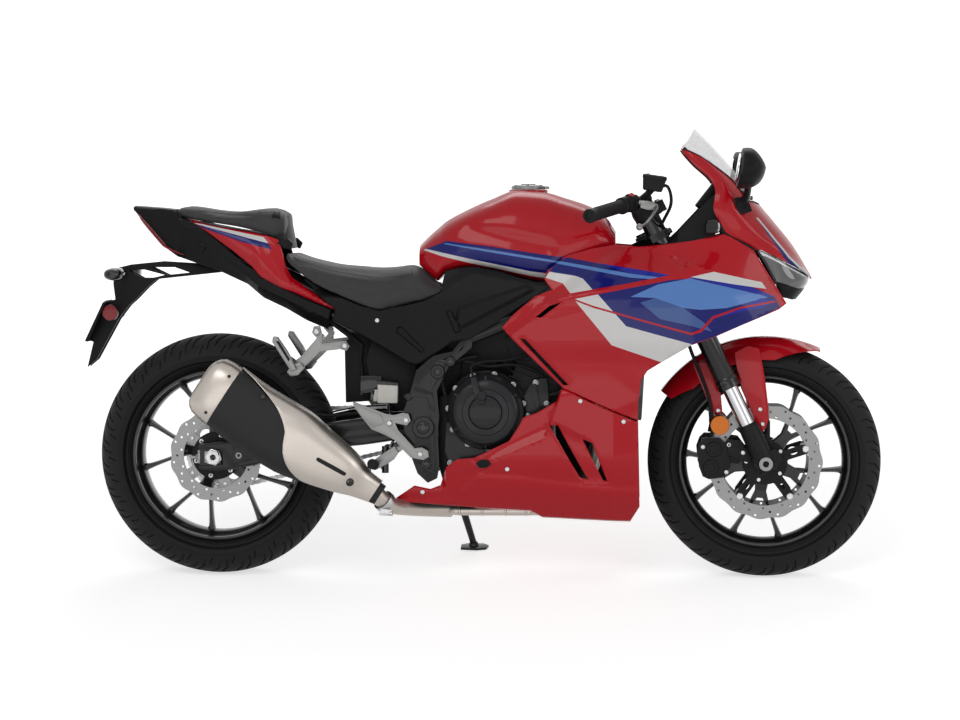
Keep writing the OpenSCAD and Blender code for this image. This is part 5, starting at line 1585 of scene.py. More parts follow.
def build_frame():
    """Side beams with their pivot plates, and the tubes behind."""
    spar_z = curve([(-42, 628), (60, 672), (160, 722), (270, 770), (352, 790)])
    spar_h = curve([(-42, 24), (60, 26), (160, 28), (270, 27), (352, 24)])
    spar_y = curve([(-42, 152), (60, 150), (160, 143), (270, 118), (352, 84)])
    plate = [(-91, 586), (-141, 574), (-183, 538), (-197, 488), (-219, 424), (-212, 360), (-190, 300),
             (-180, 274), (-154, 250), (-130, 262), (-124, 296), (-128, 378), (-124, 420), (-130, 485),
             (-101, 545), (-41, 595), (-38, 640), (-62, 624)]
    for s, side in ((1, "left"), (-1, "right")):
        bm = bmesh.new()
        rows = []
        for i in range(33):
            x = lerp(-44, 352, i / 32)
            z, h, y = spar_z(x), spar_h(x), spar_y(x)
            rows.append([(x, s * (y + q), z + h * k) for q, k in
                         ((-12, -1), (0, -1), (5, -0.86), (8, -0.55), (8.6, -0.2), (6.6, 0.1), (6.6, 0.3),
                          (8.6, 0.5), (7.4, 0.8), (3, 1), (-12, 1))])
        loft_bm(bm, rows)
        slab(bm, plate, s * 144, s * 158, bevel=2.6)
        slab(bm, inset(plate, 13), s * 157, s * 160, bevel=1.2)
        for x, z, r, h in ((-165, 392, 27, 9), (-128, 534, 17, 7), (-96, 560, 12, 4), (-158, 300, 13, 5),
                           (-203, 470, 9, 3)):
            lathe(bm, [(r + 3, -4), (r + 1, h - 2), (r - 1, h), (r * 0.62, h), (r * 0.56, h - 2.5),
                (0, h - 2.5)], (x, s * 157, z), (0, s, 0), 32)
        for k in range(3):
            slab(bm, [(-196 + 8 * k, 350 - 24 * k), (-138 + 2 * k, 326 - 24 * k),
                (-138 + 2 * k, 319 - 24 * k), (-194 + 8 * k, 343 - 24 * k)], s * 158, s * 162, bevel=1.2)
        slab(bm, [(-200, 470), (-186, 500), (-140, 480), (-134, 430), (-150, 440), (-158, 468)],
             s * 158, s * 161.5, bevel=1.5)
        piece(bm, "frame_beam_" + side, "frame black", "frame_" + side, smooth=28)
        spots = [((-128, s * 160, 534), (0, s, 0), 0.9), ((-165, s * 163, 392), (0, s, 0), 1.4),
                 ((-96, s * 159.5, 560), (0, s, 0), 0.8), ((-158, s * 160.5, 300), (0, s, 0), 0.9)]
        bolts("frame_bolts_" + side, spots, "gloss black", 6.5, 4.5, "hex")
    quiet("steering_head", "frame black")
    bm = bmesh.new()
    for s in (1, -1):
        tube(bm, [(-190, s * 131, 560), (-300, s * 122, 622), (-420, s * 88, 684), (-560, s * 68, 772),
                  (-700, s * 52, 842)], 12, 18, smooth=6)
        tube(bm, [(-150, s * 122, 660), (-290, s * 106, 688), (-420, s * 92, 722), (-560, s * 80, 792),
                  (-690, s * 60, 852)], 11, 18, smooth=6)
        tube(bm, [(-150, s * 122, 660), (-172, s * 130, 570)], 10, 14)
        tube(bm, [(-62, s * 132, 628), (-150, s * 122, 662)], 10, 14)
    for x, y, z in ((-420, 88, 702), (-560, 72, 782)):
        tube(bm, [(x, -y, z), (x, y, z)], 9, 14)
    slab(bm, [(-420, 706), (-560, 778), (-700, 840), (-700, 846), (-560, 784), (-420, 712)], -60, 60,
        bevel=1)
    piece(bm, "rear_subframe", "frame black", "subframe")
    # splash shield and electrics seen through the gaps
    bm = bmesh.new()
    slab(bm, [(-186, 556), (-182, 430), (-230, 428), (-300, 470), (-318, 560), (-300, 616)], -98, 98,
        bevel=5)
    slab(bm, [(-318, 470), (-330, 560), (-326, 600), (-420, 672), (-560, 742), (-560, 736), (-426, 662),
              (-338, 596), (-326, 470)], -72, 72, bevel=1.5)
    slab(bm, [(-76, 500), (-70, 740), (-60, 776), (60, 772), (130, 772), (250, 792), (322, 760), (318, 690),
              (236, 640), (160, 580), (90, 500)], -66, 66, bevel=6)
    slab(bm, [(-200, 430), (-196, 600), (-150, 700), (-60, 740), (-60, 520), (-90, 430)], -56, 56, bevel=3)
    slab(bm, [(-376, 600), (-373, 448), (-310, 452), (-300, 620), (-340, 650)], -56, 56, bevel=3)
    slab(bm, [(-480, 812), (-400, 780), (-300, 748), (-160, 764), (-122, 752), (-130, 640), (-300, 668),
        (-420, 730), (-500, 790)], -64, 64, bevel=3)
    for s in (1, -1):
        slab(bm, [(-120, 600), (-130, 700), (-60, 740), (60, 750), (240, 780), (300, 740), (200, 640),
            (120, 560), (-20, 560)], s * 108, s * 114, bevel=1.5)
    piece(bm, "airbox_and_guard", "black plastic", smooth=28)


def build_swingarm():
    """Rear arm with its forked ends and chain adjusters."""
    keys = [(-737, 312, 26, 124, 13), (-690, 313, 36, 124, 15), (-620, 322, 34, 124, 15),
            (-500, 346, 32, 124, 15), (-400, 369, 33, 122, 16), (-330, 377, 34, 118, 18),
            (-250, 384, 30, 112, 17), (-152, 392, 24, 112, 17)]
    fz, fh, fy, fw = (curve([(q[0], q[i]) for q in keys]) for i in (1, 2, 3, 4))
    bm = bmesh.new()
    for s in (1, -1):
        rows = []
        for i in range(41):
            x = lerp(-640, -152, i / 40)
            z, h, y, w = fz(x), fh(x), fy(x), fw(x)
            ring = []
            if s > 0 and x > -200:
                y, w = 101, 6
            for q, k in ((-1, -0.8), (-0.8, -0.94), (-0.5, -1), (0.5, -1), (0.8, -0.94), (1, -0.8),
                    (1, -0.3), (0.86, 0), (1, 0.3), (1, 0.8), (0.8, 0.94), (0.5, 1), (-0.5, 1),
                    (-0.8, 0.94), (-1, 0.8)):
                ring.append((x, s * (y + q * w), z + k * h))
            rows.append(ring)
        loft_bm(bm, rows)
        end = [(-628, 357), (-650, 352), (-700, 350), (-744, 344), (-746, 334), (-686, 330), (-682, 294),
               (-744, 290), (-742, 280), (-690, 277), (-650, 282), (-622, 290)]
        slab(bm, end, s * 110, s * 138, bevel=2.5)
        slab(bm, [(-686, 334), (-742, 334), (-742, 290), (-686, 290)], s * 114, s * 134,
            holes=[circle(XR, ZR, 12.6, 24)])
        slab(bm, inset([(-632, 352), (-660, 346), (-664, 286), (-628, 294), (-560, 306), (-500, 322),
            (-500, 366), (-560, 356)], 6), s * 138, s * 141, bevel=1.4, holes=[circle(-640, 317, 4.2, 16)])
    slab(bm, [(-366, 350), (-366, 396), (-300, 412), (-262, 398), (-262, 366), (-300, 350)], -100, 86,
        bevel=3)
    tube(bm, [(-165, -130, 392), (-165, 128, 392)], 23, 28)
    piece(bm, "rear_arm", "frame black", "swingarm", smooth=30)
    bm = bmesh.new()
    for s in (1, -1):
        slab(bm, [(-728, 298), (-690, 298), (-690, 327), (-728, 327)], s * 134.5, s * 141,
            holes=[circle(XR, ZR, 12.6, 24)], bevel=1.2)
        tube(bm, [(-735, s * 126, 312), (-764, s * 126, 310)], 4, 12)
        slab(bm, [(-746, 296), (-740, 296), (-740, 330), (-746, 330)], s * 112, s * 138,
             bevel=1)
        lathe(bm, [(0, 0), (7.5, 0), (7.5, 6), (6.4, 7), (0, 7)], (-746, s * 126, 311.4), (-1, 0, 0), 6)
        lathe(bm, [(7, -6), (9, -6), (9, 0), (7.6, 1), (4.4, 1)], (-640, s * 140.5, 317), (0, s, 0), 24)
    piece(bm, "chain_adjusters", "bare alloy", smooth=30)
    bm = bmesh.new()
    slab(bm, [(-190, 436), (-360, 422), (-480, 396), (-600, 372), (-664, 368), (-664, 362), (-600, 364),
              (-478, 386), (-358, 412), (-190, 424)], 110, 116, bevel=1)
    slab(bm, [(-196, 436), (-360, 425), (-480, 399), (-600, 377), (-650, 372), (-650, 374), (-600, 380),
              (-480, 403), (-360, 429), (-196, 440)], 84, 116, bevel=1)
    piece(bm, "chain_guard", "black plastic", smooth=28)


def build_engine():
    """Finned engine block, clutch and generator covers with their ribs and bolts."""
    bm = bmesh.new()
    slab(bm, [(-128, 470), (-132, 300), (-108, 215), (-60, 198), (150, 202), (168, 300), (160, 420),
        (60, 455), (-20, 480)], -116, 78, bevel=6)
    slab(bm, [(-30, 450), (-30, 330), (-108, 300), (-108, 215), (-60, 198), (150, 202), (168, 300),
        (160, 420), (60, 455)], 70, 116, bevel=6)
    tilt = Matrix.Translation((100, 0, 430)) @ Matrix.Rotation(radians(20), 4, "Y")
    part = bmesh.new()
    core = [(-70, -110), (64, -110), (66, 0), (64, 110), (-70, 110), (-72, 0)]
    slab(part, core, 0, 188, bevel=4, place=lying)
    head = [(-72, -112), (62, -112), (66, -60), (66, 60), (62, 112), (-72, 112)]
    slab(part, head, 150, 196, bevel=5, place=lying)
    slab(part, [(-64, -104), (54, -104), (54, 104), (-64, 104)], 192, 222, bevel=8, place=lying)
    fin = bmesh.new()
    slab(fin, [(-78, -117), (70, -117), (72, 0), (70, 117), (-78, 117), (-80, 0)], 0, 4, bevel=1.0,
         place=lambda x, y, z: (x, y, z + 24))
    fins = in_row(fin, 8, (0.0, 0.0, 14.5))
    merge(part, fins)
    add_moved(bm, part, tilt)
    for s in (1, -1):
        tube(bm, [(45, s * 80, 560), (10, s * 80, 586), (-60, s * 80, 620)], 23, 24, smooth=3)
        tube(bm, [(-60, s * 80, 620), (-96, s * 78, 640)], 28, 24)
    piv, back = STAND_PIVOT, stand_axis()
    tube(bm, [piv - back * 40, piv - back * 7], 14, 24)
    tube(bm, [piv - back * 10, piv + back * 12], 8, 24)
    tube(bm, [piv + back * 6.6, piv + back * 11], 12.5, 6)
    piece(bm, "engine_block", "cast black", "engine", smooth=28)
    # covers: the right one is the round clutch cover with its stepped middle
    bm = bmesh.new()
    c = (-6, -118.5, 432)
    lathe(bm, [(0, 0), (103, 0), (104, 3), (104, 10), (98, 14), (96, 30), (97, 34), (94, 39), (88, 43),
        (84, 50), (80, 54), (76, 56), (60, 58), (58, 60.5), (44, 61.5), (42, 59.5), (40, 61.5), (30, 64),
        (0, 64.5)], c, (0, -1, 0), 96)
    rib = bmesh.new()
    slab(rib, [(42, -1.6), (92, -2.6), (92, 2.6), (42, 1.6)], 40, 60.5, bevel=1.2, place=lambda x, y,
        z: (x, y, z - max(0, x - 60) * 0.36))
    ribs = around(rib, 6, 30)
    turn = Matrix.Translation(c) @ Matrix.Rotation(radians(90), 4, "X")
    add_moved(bm, ribs, turn)
    boss = bmesh.new()
    lathe(boss, [(0, 0), (9.5, 0), (9.5, 20), (8, 22), (0, 22)], (97, 0, 0), UP, 20)
    bosses = around(boss, 11, 12)
    add_moved(bm, bosses, turn)
    slab(bm, [(-108, 404), (-112, 330), (-96, 286), (-84, 268), (60, 258), (112, 270), (136, 300),
        (142, 372), (104, 392)], -140, -118.5, bevel=4)
    slab(bm, [(88, 470), (96, 404), (142, 396), (156, 448), (150, 520), (112, 512)], -136, -112, bevel=5)
    slab(bm, [(108, 500), (124, 420), (136, 424), (122, 504)], -143, -130, bevel=2)
    slab(bm, [(-60, 250), (56, 244), (96, 256), (60, 262), (-70, 270)], -144, -120, bevel=3)
    bar = [(-44, 520), (-32, 468), (-20, 452), (-6, 456), (-16, 478), (-28, 522)]
    slab(bm, bar, -190, -172, bevel=3)
    lathe(bm, [(0, 0), (13, 0), (13, 30), (11, 33), (0, 33)], (-20, -160, 466), (0.15, -1, 0.3), 24)
    piece(bm, "clutch_cover", "engine side", "engine_covers", smooth=30)
    bm = bmesh.new()
    lathe(bm, [(0, 0), (91, 0), (92, 3), (92, 30), (88, 36), (84, 46), (76, 53), (60, 56), (40, 57),
        (38, 54), (0, 54)], (60, 118.5, 350), LEFT, 80)
    slab(bm, [(-108, 350), (-108, 448), (-50, 456), (-10, 430), (-20, 350), (-80, 322)], 118.5, 140,
        bevel=5)
    piece(bm, "generator_cover", "engine side", smooth=30)
    spots = []
    for k in range(11):
        a = radians(12 + 360 / 11 * k)
        spots.append(((-6 + 97 * cos(a), -140, 432 + 97 * sin(a)), (0, -1, 0)))
    for x, z in ((-98, 300), (-20, 266), (60, 266), (126, 306), (134, 366)):
        spots.append(((x, -140, z), (0, -1, 0)))
    for x, z in ((120, 506), (148, 452), (100, 420)):
        spots.append(((x, -136, z), (0, -1, 0)))
    for k in range(8):
        a = radians(20 + 45 * k)
        spots.append(((60 + 84 * cos(a), 165, 350 + 84 * sin(a)), LEFT))
    bolts("engine_bolts", spots, "dark steel", 5.2, 4.0, "hex")
    bm = bmesh.new()
    for pts, r in (([(-36, -180, 522), (-42, -176, 548), (-10, -160, 560), (60, -150, 566),
            (130, -140, 596), (170, -120, 640)], 3.2), ([(-60, -140, 560), (0, -150, 548), (60, -146, 552),
            (110, -138, 540), (140, -130, 520)], 4), ([(150, -110, 560), (190, -130, 580), (220, -140, 630),
            (230, -130, 690)], 5), ([(-110, -136, 470), (-118, -140, 520), (-80, -138, 560),
            (-30, -136, 572)], 5), ([(120, -118, 470), (180, -128, 480), (230, -136, 520),
            (262, -130, 590)], 7)):
        tube(bm, pts, r, 10, smooth=6)
        if r != 3.2:
            q = [(p[0], -p[1], p[2]) for p in pts]
            tube(bm, q, r, 10, smooth=6)
    slab(bm, [(60, 560), (160, 590), (176, 640), (120, 660), (40, 620)], -122, -96, bevel=5)
    slab(bm, [(176, 500), (236, 520), (246, 590), (190, 600)], -118, -96, bevel=4)
    slab(bm, [(176, 500), (236, 520), (246, 590), (190, 600)], 96, 118, bevel=4)
    piece(bm, "engine_hoses", "rubber", smooth=40)


def build_radiator():
    """Curved radiator core with fins, and its header tanks."""
    bm, core = bmesh.new(), bmesh.new()
    rows = []
    for i in range(21):
        y = lerp(-143, 143, i / 20)
        d = 26 * (y / 150) ** 2
        rows.append([(338 + d, y, 432), (360 + d, y, 422), (374 + d, y, 648), (352 + d, y, 658)])
    ring_faces(core, rows)
    piece(core, "radiator_core", "cast grey", smooth=20)
    for y0, y1 in ((-150, -138), (138, 150)):
        rows = []
        for y in (y0, (y0 + y1) / 2, y1):
            d = 26 * (y / 150) ** 2
            rows.append([(334 + d, y, 425), (364 + d, y, 415), (378 + d, y, 655), (348 + d, y, 665)])
        loft_bm(bm, rows, bevel=2)
    for z0, z1 in ((415, 428), (650, 662)):
        rows = []
        for i in range(11):
            y = lerp(-146, 146, i / 10)
            d = 26 * (y / 150) ** 2
            x = 334 + (z0 - 415) / 17
            rows.append([(x + d, y, z0), (x + 30 + d, y, z0 - 4), (x + 31 + d, y, z1 - 4),
                (x + 1 + d, y, z1)])
        loft_bm(bm, rows, bevel=1.5)
    for s in (1, -1):
        tube(bm, [(352, s * 110, 420), (344, s * 110, 408)], 12, 16)
    fin = bmesh.new()
    slab(fin, [(-1, -138), (1, -138), (1, 138), (-1, 138)], 0, 1.1, place=lying)
    fins = in_row(fin, 30, (0.45, 0.0, 7.2))
    for v in fins.verts:
        v.co.x += 362 + 26 * (v.co.y / 150) ** 2
        v.co.z += 434
    merge(bm, fins)
    piece(bm, "radiator_tanks", "gloss black", "radiator", smooth=28)


def build_exhaust():
    """Header pipes, collector box and link pipe."""
    bm = bmesh.new()
    for y in (-45, 45):
        tube(bm, [(242, y, 512), (266, y, 496), (282, y, 440), (272, y, 320), (236, y * 0.8, 234),
                  (180, y * 0.7, 180), (100, y * 0.7, 174)], 18.6, 20, smooth=7)
        lathe(bm, [(20, 0), (27, 0), (27, 7), (20, 8)], (240, y, 512), (1, 0, -0.5), 28)
    piece(bm, "header_pipes", "pipe steel", "exhaust_pipes")
    bm = bmesh.new()
    rows = []
    for x, w, h in ((122, 46, 8), (116, 58, 11), (104, 66, 13), (60, 66, 13.4), (0, 66, 13.4),
            (-60, 66, 13.4), (-90, 66, 13), (-104, 58, 11), (-112, 48, 9)):
        rows.append([(x, w * spow(cos(a), 0.42), 169 + h * spow(sin(a), 0.55)) for a in turns(36, 0.5)])
    ring_faces(bm, rows)
    for x in (92, 40, -20, -78):
        rows = []
        for dx, k in ((-4, 0.99), (-2, 1.03), (2, 1.03), (4, 0.99)):
            rows.append([(x + dx, 66 * k * spow(cos(a), 0.42), 169 + 13.2 * (k + 0.02) * spow(sin(a), 0.55))
                for a in turns(36, 0.5)])
        ring_faces(bm, rows, caps=(False, False))
    tube(bm, [(-104, -30, 172), (-160, -66, 176), (-215, -122, 184), (-248, -164, 194), (-272, -190, 214),
              (-290, -202, 234)], [22, 21, 20.5, 21, 22, 23.6], 24, smooth=7)
    piece(bm, "collector", "warm steel")
    bm = bmesh.new()
    c, d = Vector((-262, -180, 204)), Vector((-0.55, -0.5, 0.6)).normalized()
    lathe(bm, [(24, -8), (27.5, -8), (28, -6), (28, 6), (27.5, 8), (24, 8)], c, d, 32)
    tube(bm, [(-268, -196, 178), (-240, -204, 176)], 6, 12)
    slab(bm, [(-276, 172), (-246, 170), (-240, 186), (-270, 190)], -206, -198, bevel=2)
    piece(bm, "exhaust_clamp", "steel", smooth=30)


SIL = [(-272, -196, 222, 27, 27), (-318, -204, 250, 34, 34), (-352, -210, 274, 50, 50),
       (-430, -216, 318, 72, 62), (-506, -220, 365, 86, 68), (-600, -222, 424, 84, 68),
       (-700, -226, 500, 79, 64), (-724, -226, 514, 66, 54)]


def sil_pt(st, a, o=0.0):
    """Point of the silencer: station values, angle round it, height above its skin."""
    x, y, z, h, w = st
    c, t = spow(cos(a), 0.62), spow(sin(a), 0.62)
    return Vector((x + 0.545 * (h + o) * t, y + (w + o) * c, z + 0.838 * (h + o) * t))


def build_silencer():
    """Faceted silencer body, its cut end cap and its heat guard."""
    q = [curve([(s[0], s[i]) for s in SIL]) for i in (1, 2, 3, 4)]
    st = lambda x: (x, q[0](x), q[1](x), q[2](x), q[3](x))
    bm = bmesh.new()
    n = 64
    xs = [-272, -290, -305, -318, -330, -345, -360, -380, -400, -430, -460, -490, -520, -560, -600, -640,
        -684]
    rows = [[sil_pt(st(x), tau * (k + 0.5) / n) for k in range(n)] for x in xs]
    ring_faces(bm, rows, caps=(True, True))
    piece(bm, "silencer_body", "silencer grey", "silencer", smooth=34)
    bm = bmesh.new()
    rows = []
    for x, o in ((-662, -6), (-662, 1.2), (-665, 2.2), (-684, 2.0), (-702, 0), (-713, -3), (-720, -10),
            (-723, -20)):
        rows.append([sil_pt(st(x), tau * (k + 0.5) / n, o) for k in range(n)])
    for x, o in ((-714, -28), (-684, -32)):
        rows.append([sil_pt(st(x), tau * (k + 0.5) / n, o) for k in range(n)])
    ring_faces(bm, rows, caps=(False, True))
    c, ax = Vector((-722, -226, 513)), Vector((-0.838, 0, 0.545))
    lathe(bm, [(22, -26), (27, -26), (29, -8), (29, 2), (27, 4), (24, 4), (22.5, 1), (22, -26)], c - ax * 6,
        ax, 40)
    piece(bm, "silencer_cap", "warm steel", smooth=30)
    bm = bmesh.new()
    fr = line([(-664, 90), (-640, 100), (-600, 122), (-555, 148), (-506, 180), (-470, 206), (-430, 232),
        (-352, 240), (-318, 240), (-285, 226)])
    to = line([(-664, 80), (-555, 82), (-506, 80), (-430, 72), (-352, 62), (-318, 60), (-285, 70)])
    rows = [[sil_pt(st(x), radians(lerp(to(x), fr(x), j / 30)), 5.6 if 0 < j < 30 else 4.2)
        for j in range(31)] for x in range(-285, -667, -10)]
    ring_faces(bm, rows, close=False)
    bm.normal_update()
    mid = lambda f: Vector((f.calc_center_median().x, -218, q[1](f.calc_center_median().x)))
    if sum((f.calc_center_median() - mid(f)).dot(f.normal) for f in bm.faces) < 0:
        bmesh.ops.reverse_faces(bm, faces=bm.faces)
    thicken(bm, 3.4)
    piece(bm, "silencer_guard_plate", "warm steel", "silencer_guard", smooth=34,
        kept=True)

    def on_side(x, z, o):
        """Point of the silencer's outer side seen at x, z."""
        return min((sil_pt(st(u), radians(v), o) for u in range(-600, -280, 4) for v in range(110, 246, 3)),
                   key=lambda p: (p.x - x) ** 2 + (p.z - z) ** 2)
    # dark strip along the guard's slot: painted shade for the shadow inside the opening
    bm = bmesh.new()
    tube(bm, [on_side(lerp(-424, -352, t), lerp(324, 279, t), 4.4) for t in (0, 0.06, 0.3, 0.6, 0.94, 1)],
         [3.0, 5.4, 5.8, 5.8, 5.4, 3.0], 10, smooth=4)
    piece(bm, "silencer_guard_slot", "dark gap")
    spots = []
    for p, r, k in ((on_side(-343, 264, 5.4), on_side(-343, 264, 0), 1.5),
            (on_side(-560, 478, 3), on_side(-560, 478, 0), 1)):
        spots.append((p, p - r, k))
    for k in range(6):
        a = tau * k / 6 + 0.5
        p, r = sil_pt(st(-674), a, 2.6), sil_pt(st(-674), a, -6)
        spots.append((p, p - r, 0.6))
    bolts("silencer_bolts", spots, "gloss black", 6.5, 3.6)
    bm = bmesh.new()
    tube(bm, [(-420, -150, 372), (-420, -188, 354)], 9, 16)
    slab(bm, [(-404, 356), (-436, 372), (-430, 392), (-398, 378)], -160, -146, bevel=2)
    piece(bm, "silencer_mount", "frame black")


def build_footpegs():
    """Rider's and pillion's peg brackets, pegs and the brake fluid bottle."""
    alloy, pegs = bmesh.new(), bmesh.new()
    for s in (1, -1):
        y = lambda a, b: (min(s * a, s * b), max(s * a, s * b))
        main = [(-202, 428), (-216, 430), (-240, 424), (-262, 428), (-344, 459), (-342, 448), (-322, 420),
                (-296, 388), (-258, 372), (-236, 360), (-214, 334), (-196, 316), (-164, 310), (-150, 318),
                (-152, 334), (-168, 342), (-186, 340), (-206, 362), (-228, 386), (-236, 404), (-206, 398),
                (-196, 410)]
        slab(alloy, main, *y(168, 175), holes=[circle(-208, 411, 5, 14), circle(-172, 325, 5, 14),
                                               circle(-250, 404, 5, 12)], bevel=1.3)
        slab(alloy, [(-338, 452), (-336, 444), (-318, 420), (-292, 392), (-262, 404), (-272, 426)],
            *y(174, 178), bevel=1.2)
        slab(alloy, [(-226, 330), (-238, 312), (-258, 298), (-286, 284), (-300, 288), (-292, 308),
            (-262, 330), (-236, 346)], *y(164, 184), bevel=3)
        lathe(alloy, disc_prof(7, 34, 1), (-288, s * 157, 296), (0, s, 0), 20)
        tube(alloy, [(-300, s * 190, 300), (-300, s * 192, 254)], [5, 4], 12)
        lathe(alloy, disc_prof(9, 10, 1), (-218, s * 160.5, 420), (0, s, 0), 20)
        lathe(alloy, disc_prof(9, 10, 1), (-160, s * 160.5, 325), (0, s, 0), 20)
        tube(pegs, [(-288, s * 184, 299), (-289, s * 244, 306)], 11.6, 20)
        ridge = bmesh.new()
        lathe(ridge, [(11, 0), (13, 0.8), (13, 3.2), (11, 4)], (0, 0, 0), LEFT, 20)
        row = in_row(ridge, 9, (0.0, 6.0, 0.7))
        for v in row.verts:
            v.co = Vector((v.co.x - 288.4, s * (v.co.y + 188), v.co.z + 299.4))
        merge(pegs, row)
        arm = [(-430, 650), (-446, 648), (-450, 632), (-438, 618), (-478, 572), (-510, 548), (-506, 530),
            (-488, 530), (-462, 552), (-430, 584), (-378, 590), (-362, 586), (-354, 598), (-362, 610),
            (-376, 610), (-424, 604), (-424, 630)]
        slab(alloy, arm, *y(140, 148), holes=[circle(-438, 635, 4.5, 12), circle(-366, 599, 4.5, 12)],
            bevel=1.4)
        lathe(alloy, disc_prof(10, 6, 1), (-438, s * 146, 635), (0, s, 0), 24)
        lathe(alloy, disc_prof(9, 6, 1), (-366, s * 146, 599), (0, s, 0), 24)
        tube(alloy, [(-428, s * 118, 620), (-428, s * 142, 620)], 8, 14)
        slab(alloy, [(-478, 556), (-500, 552), (-514, 532), (-504, 520), (-484, 524), (-468, 544)],
            *y(144, 162), bevel=3)
        slab(alloy, [(-500, 534), (-486, 540), (-508, 584), (-534, 622), (-546, 624), (-548, 610),
            (-520, 566)], s * 160, s * 184, bevel=3)
        slab(pegs, [(-506, 560), (-502, 566), (-530, 612), (-538, 612)], s * 162, s * 185.4, bevel=1)
    piece(alloy, "peg_brackets", "bare alloy", "footpegs", smooth=28)
    piece(pegs, "peg_rubbers", "rubber")
    spots = on_both(((-208, 175, 411), (-172, 175, 325), (-250, 178, 404), (-438, 152, 635),
        (-366, 152, 599)))
    bolts("peg_bolts", spots, "steel", 6.4, 4.0)
    bm = bmesh.new()
    slab(bm, [(-284, 452), (-232, 452), (-231, 500), (-284, 503)], -140, -101, bevel=4)
    slab(bm, [(-296, 456), (-282, 456), (-282, 486), (-292, 486)], -128, -112, bevel=2)
    piece(bm, "fluid_bottle", "bottle", smooth=35)
    bm = bmesh.new()
    slab(bm, [(-286, 500), (-230, 497), (-230, 505), (-286, 510)], -141.5, -99.5, bevel=2)
    tube(bm, [(-256, -118, 452), (-252, -124, 420), (-236, -140, 380), (-250, -150, 340)], 4, 10, smooth=6)
    tube(bm, [(-262, -160, 344), (-262, -160, 276)], 9, 16)
    slab(bm, [(-330, 470), (-276, 486), (-276, 520), (-330, 520)], -108, -96, bevel=2)
    piece(bm, "bottle_cap_and_hose", "gloss black", smooth=35)


def build_chain():
    """Roller chain on its two sprockets."""
    c1, c2, r1, r2 = Vector(FRONT_SPROCKET), Vector((XR, ZR)), 39.0, 101.2
    d = (c2 - c1).length
    a = atan2(c2.y - c1.y, c2.x - c1.x)
    b = acos((r1 - r2) / d)
    path = [c1 + Vector((cos(t), sin(t))) * r1 for t in (lerp(a - b, a + b - tau, i / 24)
        for i in range(25))]
    path += [c2 + Vector((cos(t), sin(t))) * r2 for t in (lerp(a + b, a - b, i / 48) for i in range(49))]
    lens = [0.0]
    for p, q in zip(path, path[1:] + path[:1]):
        lens.append(lens[-1] + (q - p).length)
    count = 2 * round(lens[-1] / CHAIN_PITCH / 2)
    step = lens[-1] / count

    def at(s):
        s %= lens[-1]
        i = max(k for k in range(len(path)) if lens[k] <= s)
        p, q = path[i], path[(i + 1) % len(path)]
        return p + (q - p) * ((s - lens[i]) / max(1e-6, lens[i + 1] - lens[i]))
    outer, inner = [], []
    for i in range(count):
        p, q = at(i * step), at((i + 1) * step)
        m = (p + q) / 2
        t = (q - p).normalized()
        (outer if i % 2 else inner).append((Vector((m.x, CHAIN_Y, m.y)), Vector(LEFT),
            Vector((t.x, 0, t.y)), 1.0))

    mesh = min(outer + inner, key=lambda q: (q[0] - Vector((XR - r2, CHAIN_Y, ZR))).length)[0]
    WHEELS["rear"]["mesh"] = wheel_frame(WHEELS["rear"]).inverted() @ PARK @ mesh

    def link(w, th):
        bm = bmesh.new()
        h = step / 2
        o = [(h + 5.4 * cos(k), 5.8 * sin(k)) for k in (pi * (j / 6 - 0.5) for j in range(7))]
        o = o + [(0, 4.2)] + [(-x, -z) for x, z in o] + [(0, -4.2)]
        for s in (1, -1):
            slab(bm, o, s * w - th / 2, s * w + th / 2, bevel=0, place=lying)
        for x in (-h, h):
            lathe(bm, [(0, -w - th - 0.6), (2.6, -w - th - 0.6), (2.6, w + th + 0.6), (0, w + th + 0.6)],
                (x, 0, 0), UP, 8)
        return bm
    bm = on_points(outer, link(7.4, 1.6))
    part = link(5.4, 1.6)
    for x in (-step / 2, step / 2):
        lathe(part, [(4.6, -4.4), (4.9, -4.4), (4.9, 4.4), (4.6, 4.4)], (x, 0, 0), UP, 10)
    merge(bm, on_points(inner, part))
    piece(bm, "chain_links", "steel", "chain", smooth=40)
    bm = bmesh.new()
    tooth = bmesh.new()
    slab(tooth, [(28, -6), (33.5, -4), (38, -1.5), (38, 1.5), (33.5, 4), (28, 6)], -3, 3, place=lying)
    teeth = around(tooth, 15, 0)
    add_moved(bm, teeth, Matrix.Translation((-85, 94, 396)) @ Matrix.Rotation(pi / 2, 4, "X"))
    lathe(bm, disc_prof(32, 6), (-85, 91, 396), LEFT, 40)
    lathe(bm, disc_prof(13, 21), (-85, 97, 396), LEFT, 24)
    piece(bm, "front_sprocket", "steel", smooth=30)
    quiet("rear_shock", "frame black")
    bm = bmesh.new()
    pts = []
    for i in range(7 * 16 + 1):
        t = i / 16
        k = t / 7
        c = Vector((-250, 0, 470)).lerp(Vector((-228, 0, 560)), k)
        ax = Vector((22, 0, 90)).normalized()
        e1 = Vector(LEFT)
        e2 = ax.cross(e1)
        pts.append(c + (e1 * cos(t * tau) + e2 * sin(t * tau)) * 37)
    tube(bm, pts, 5, 10)
    piece(bm, "shock_spring", "gloss black")


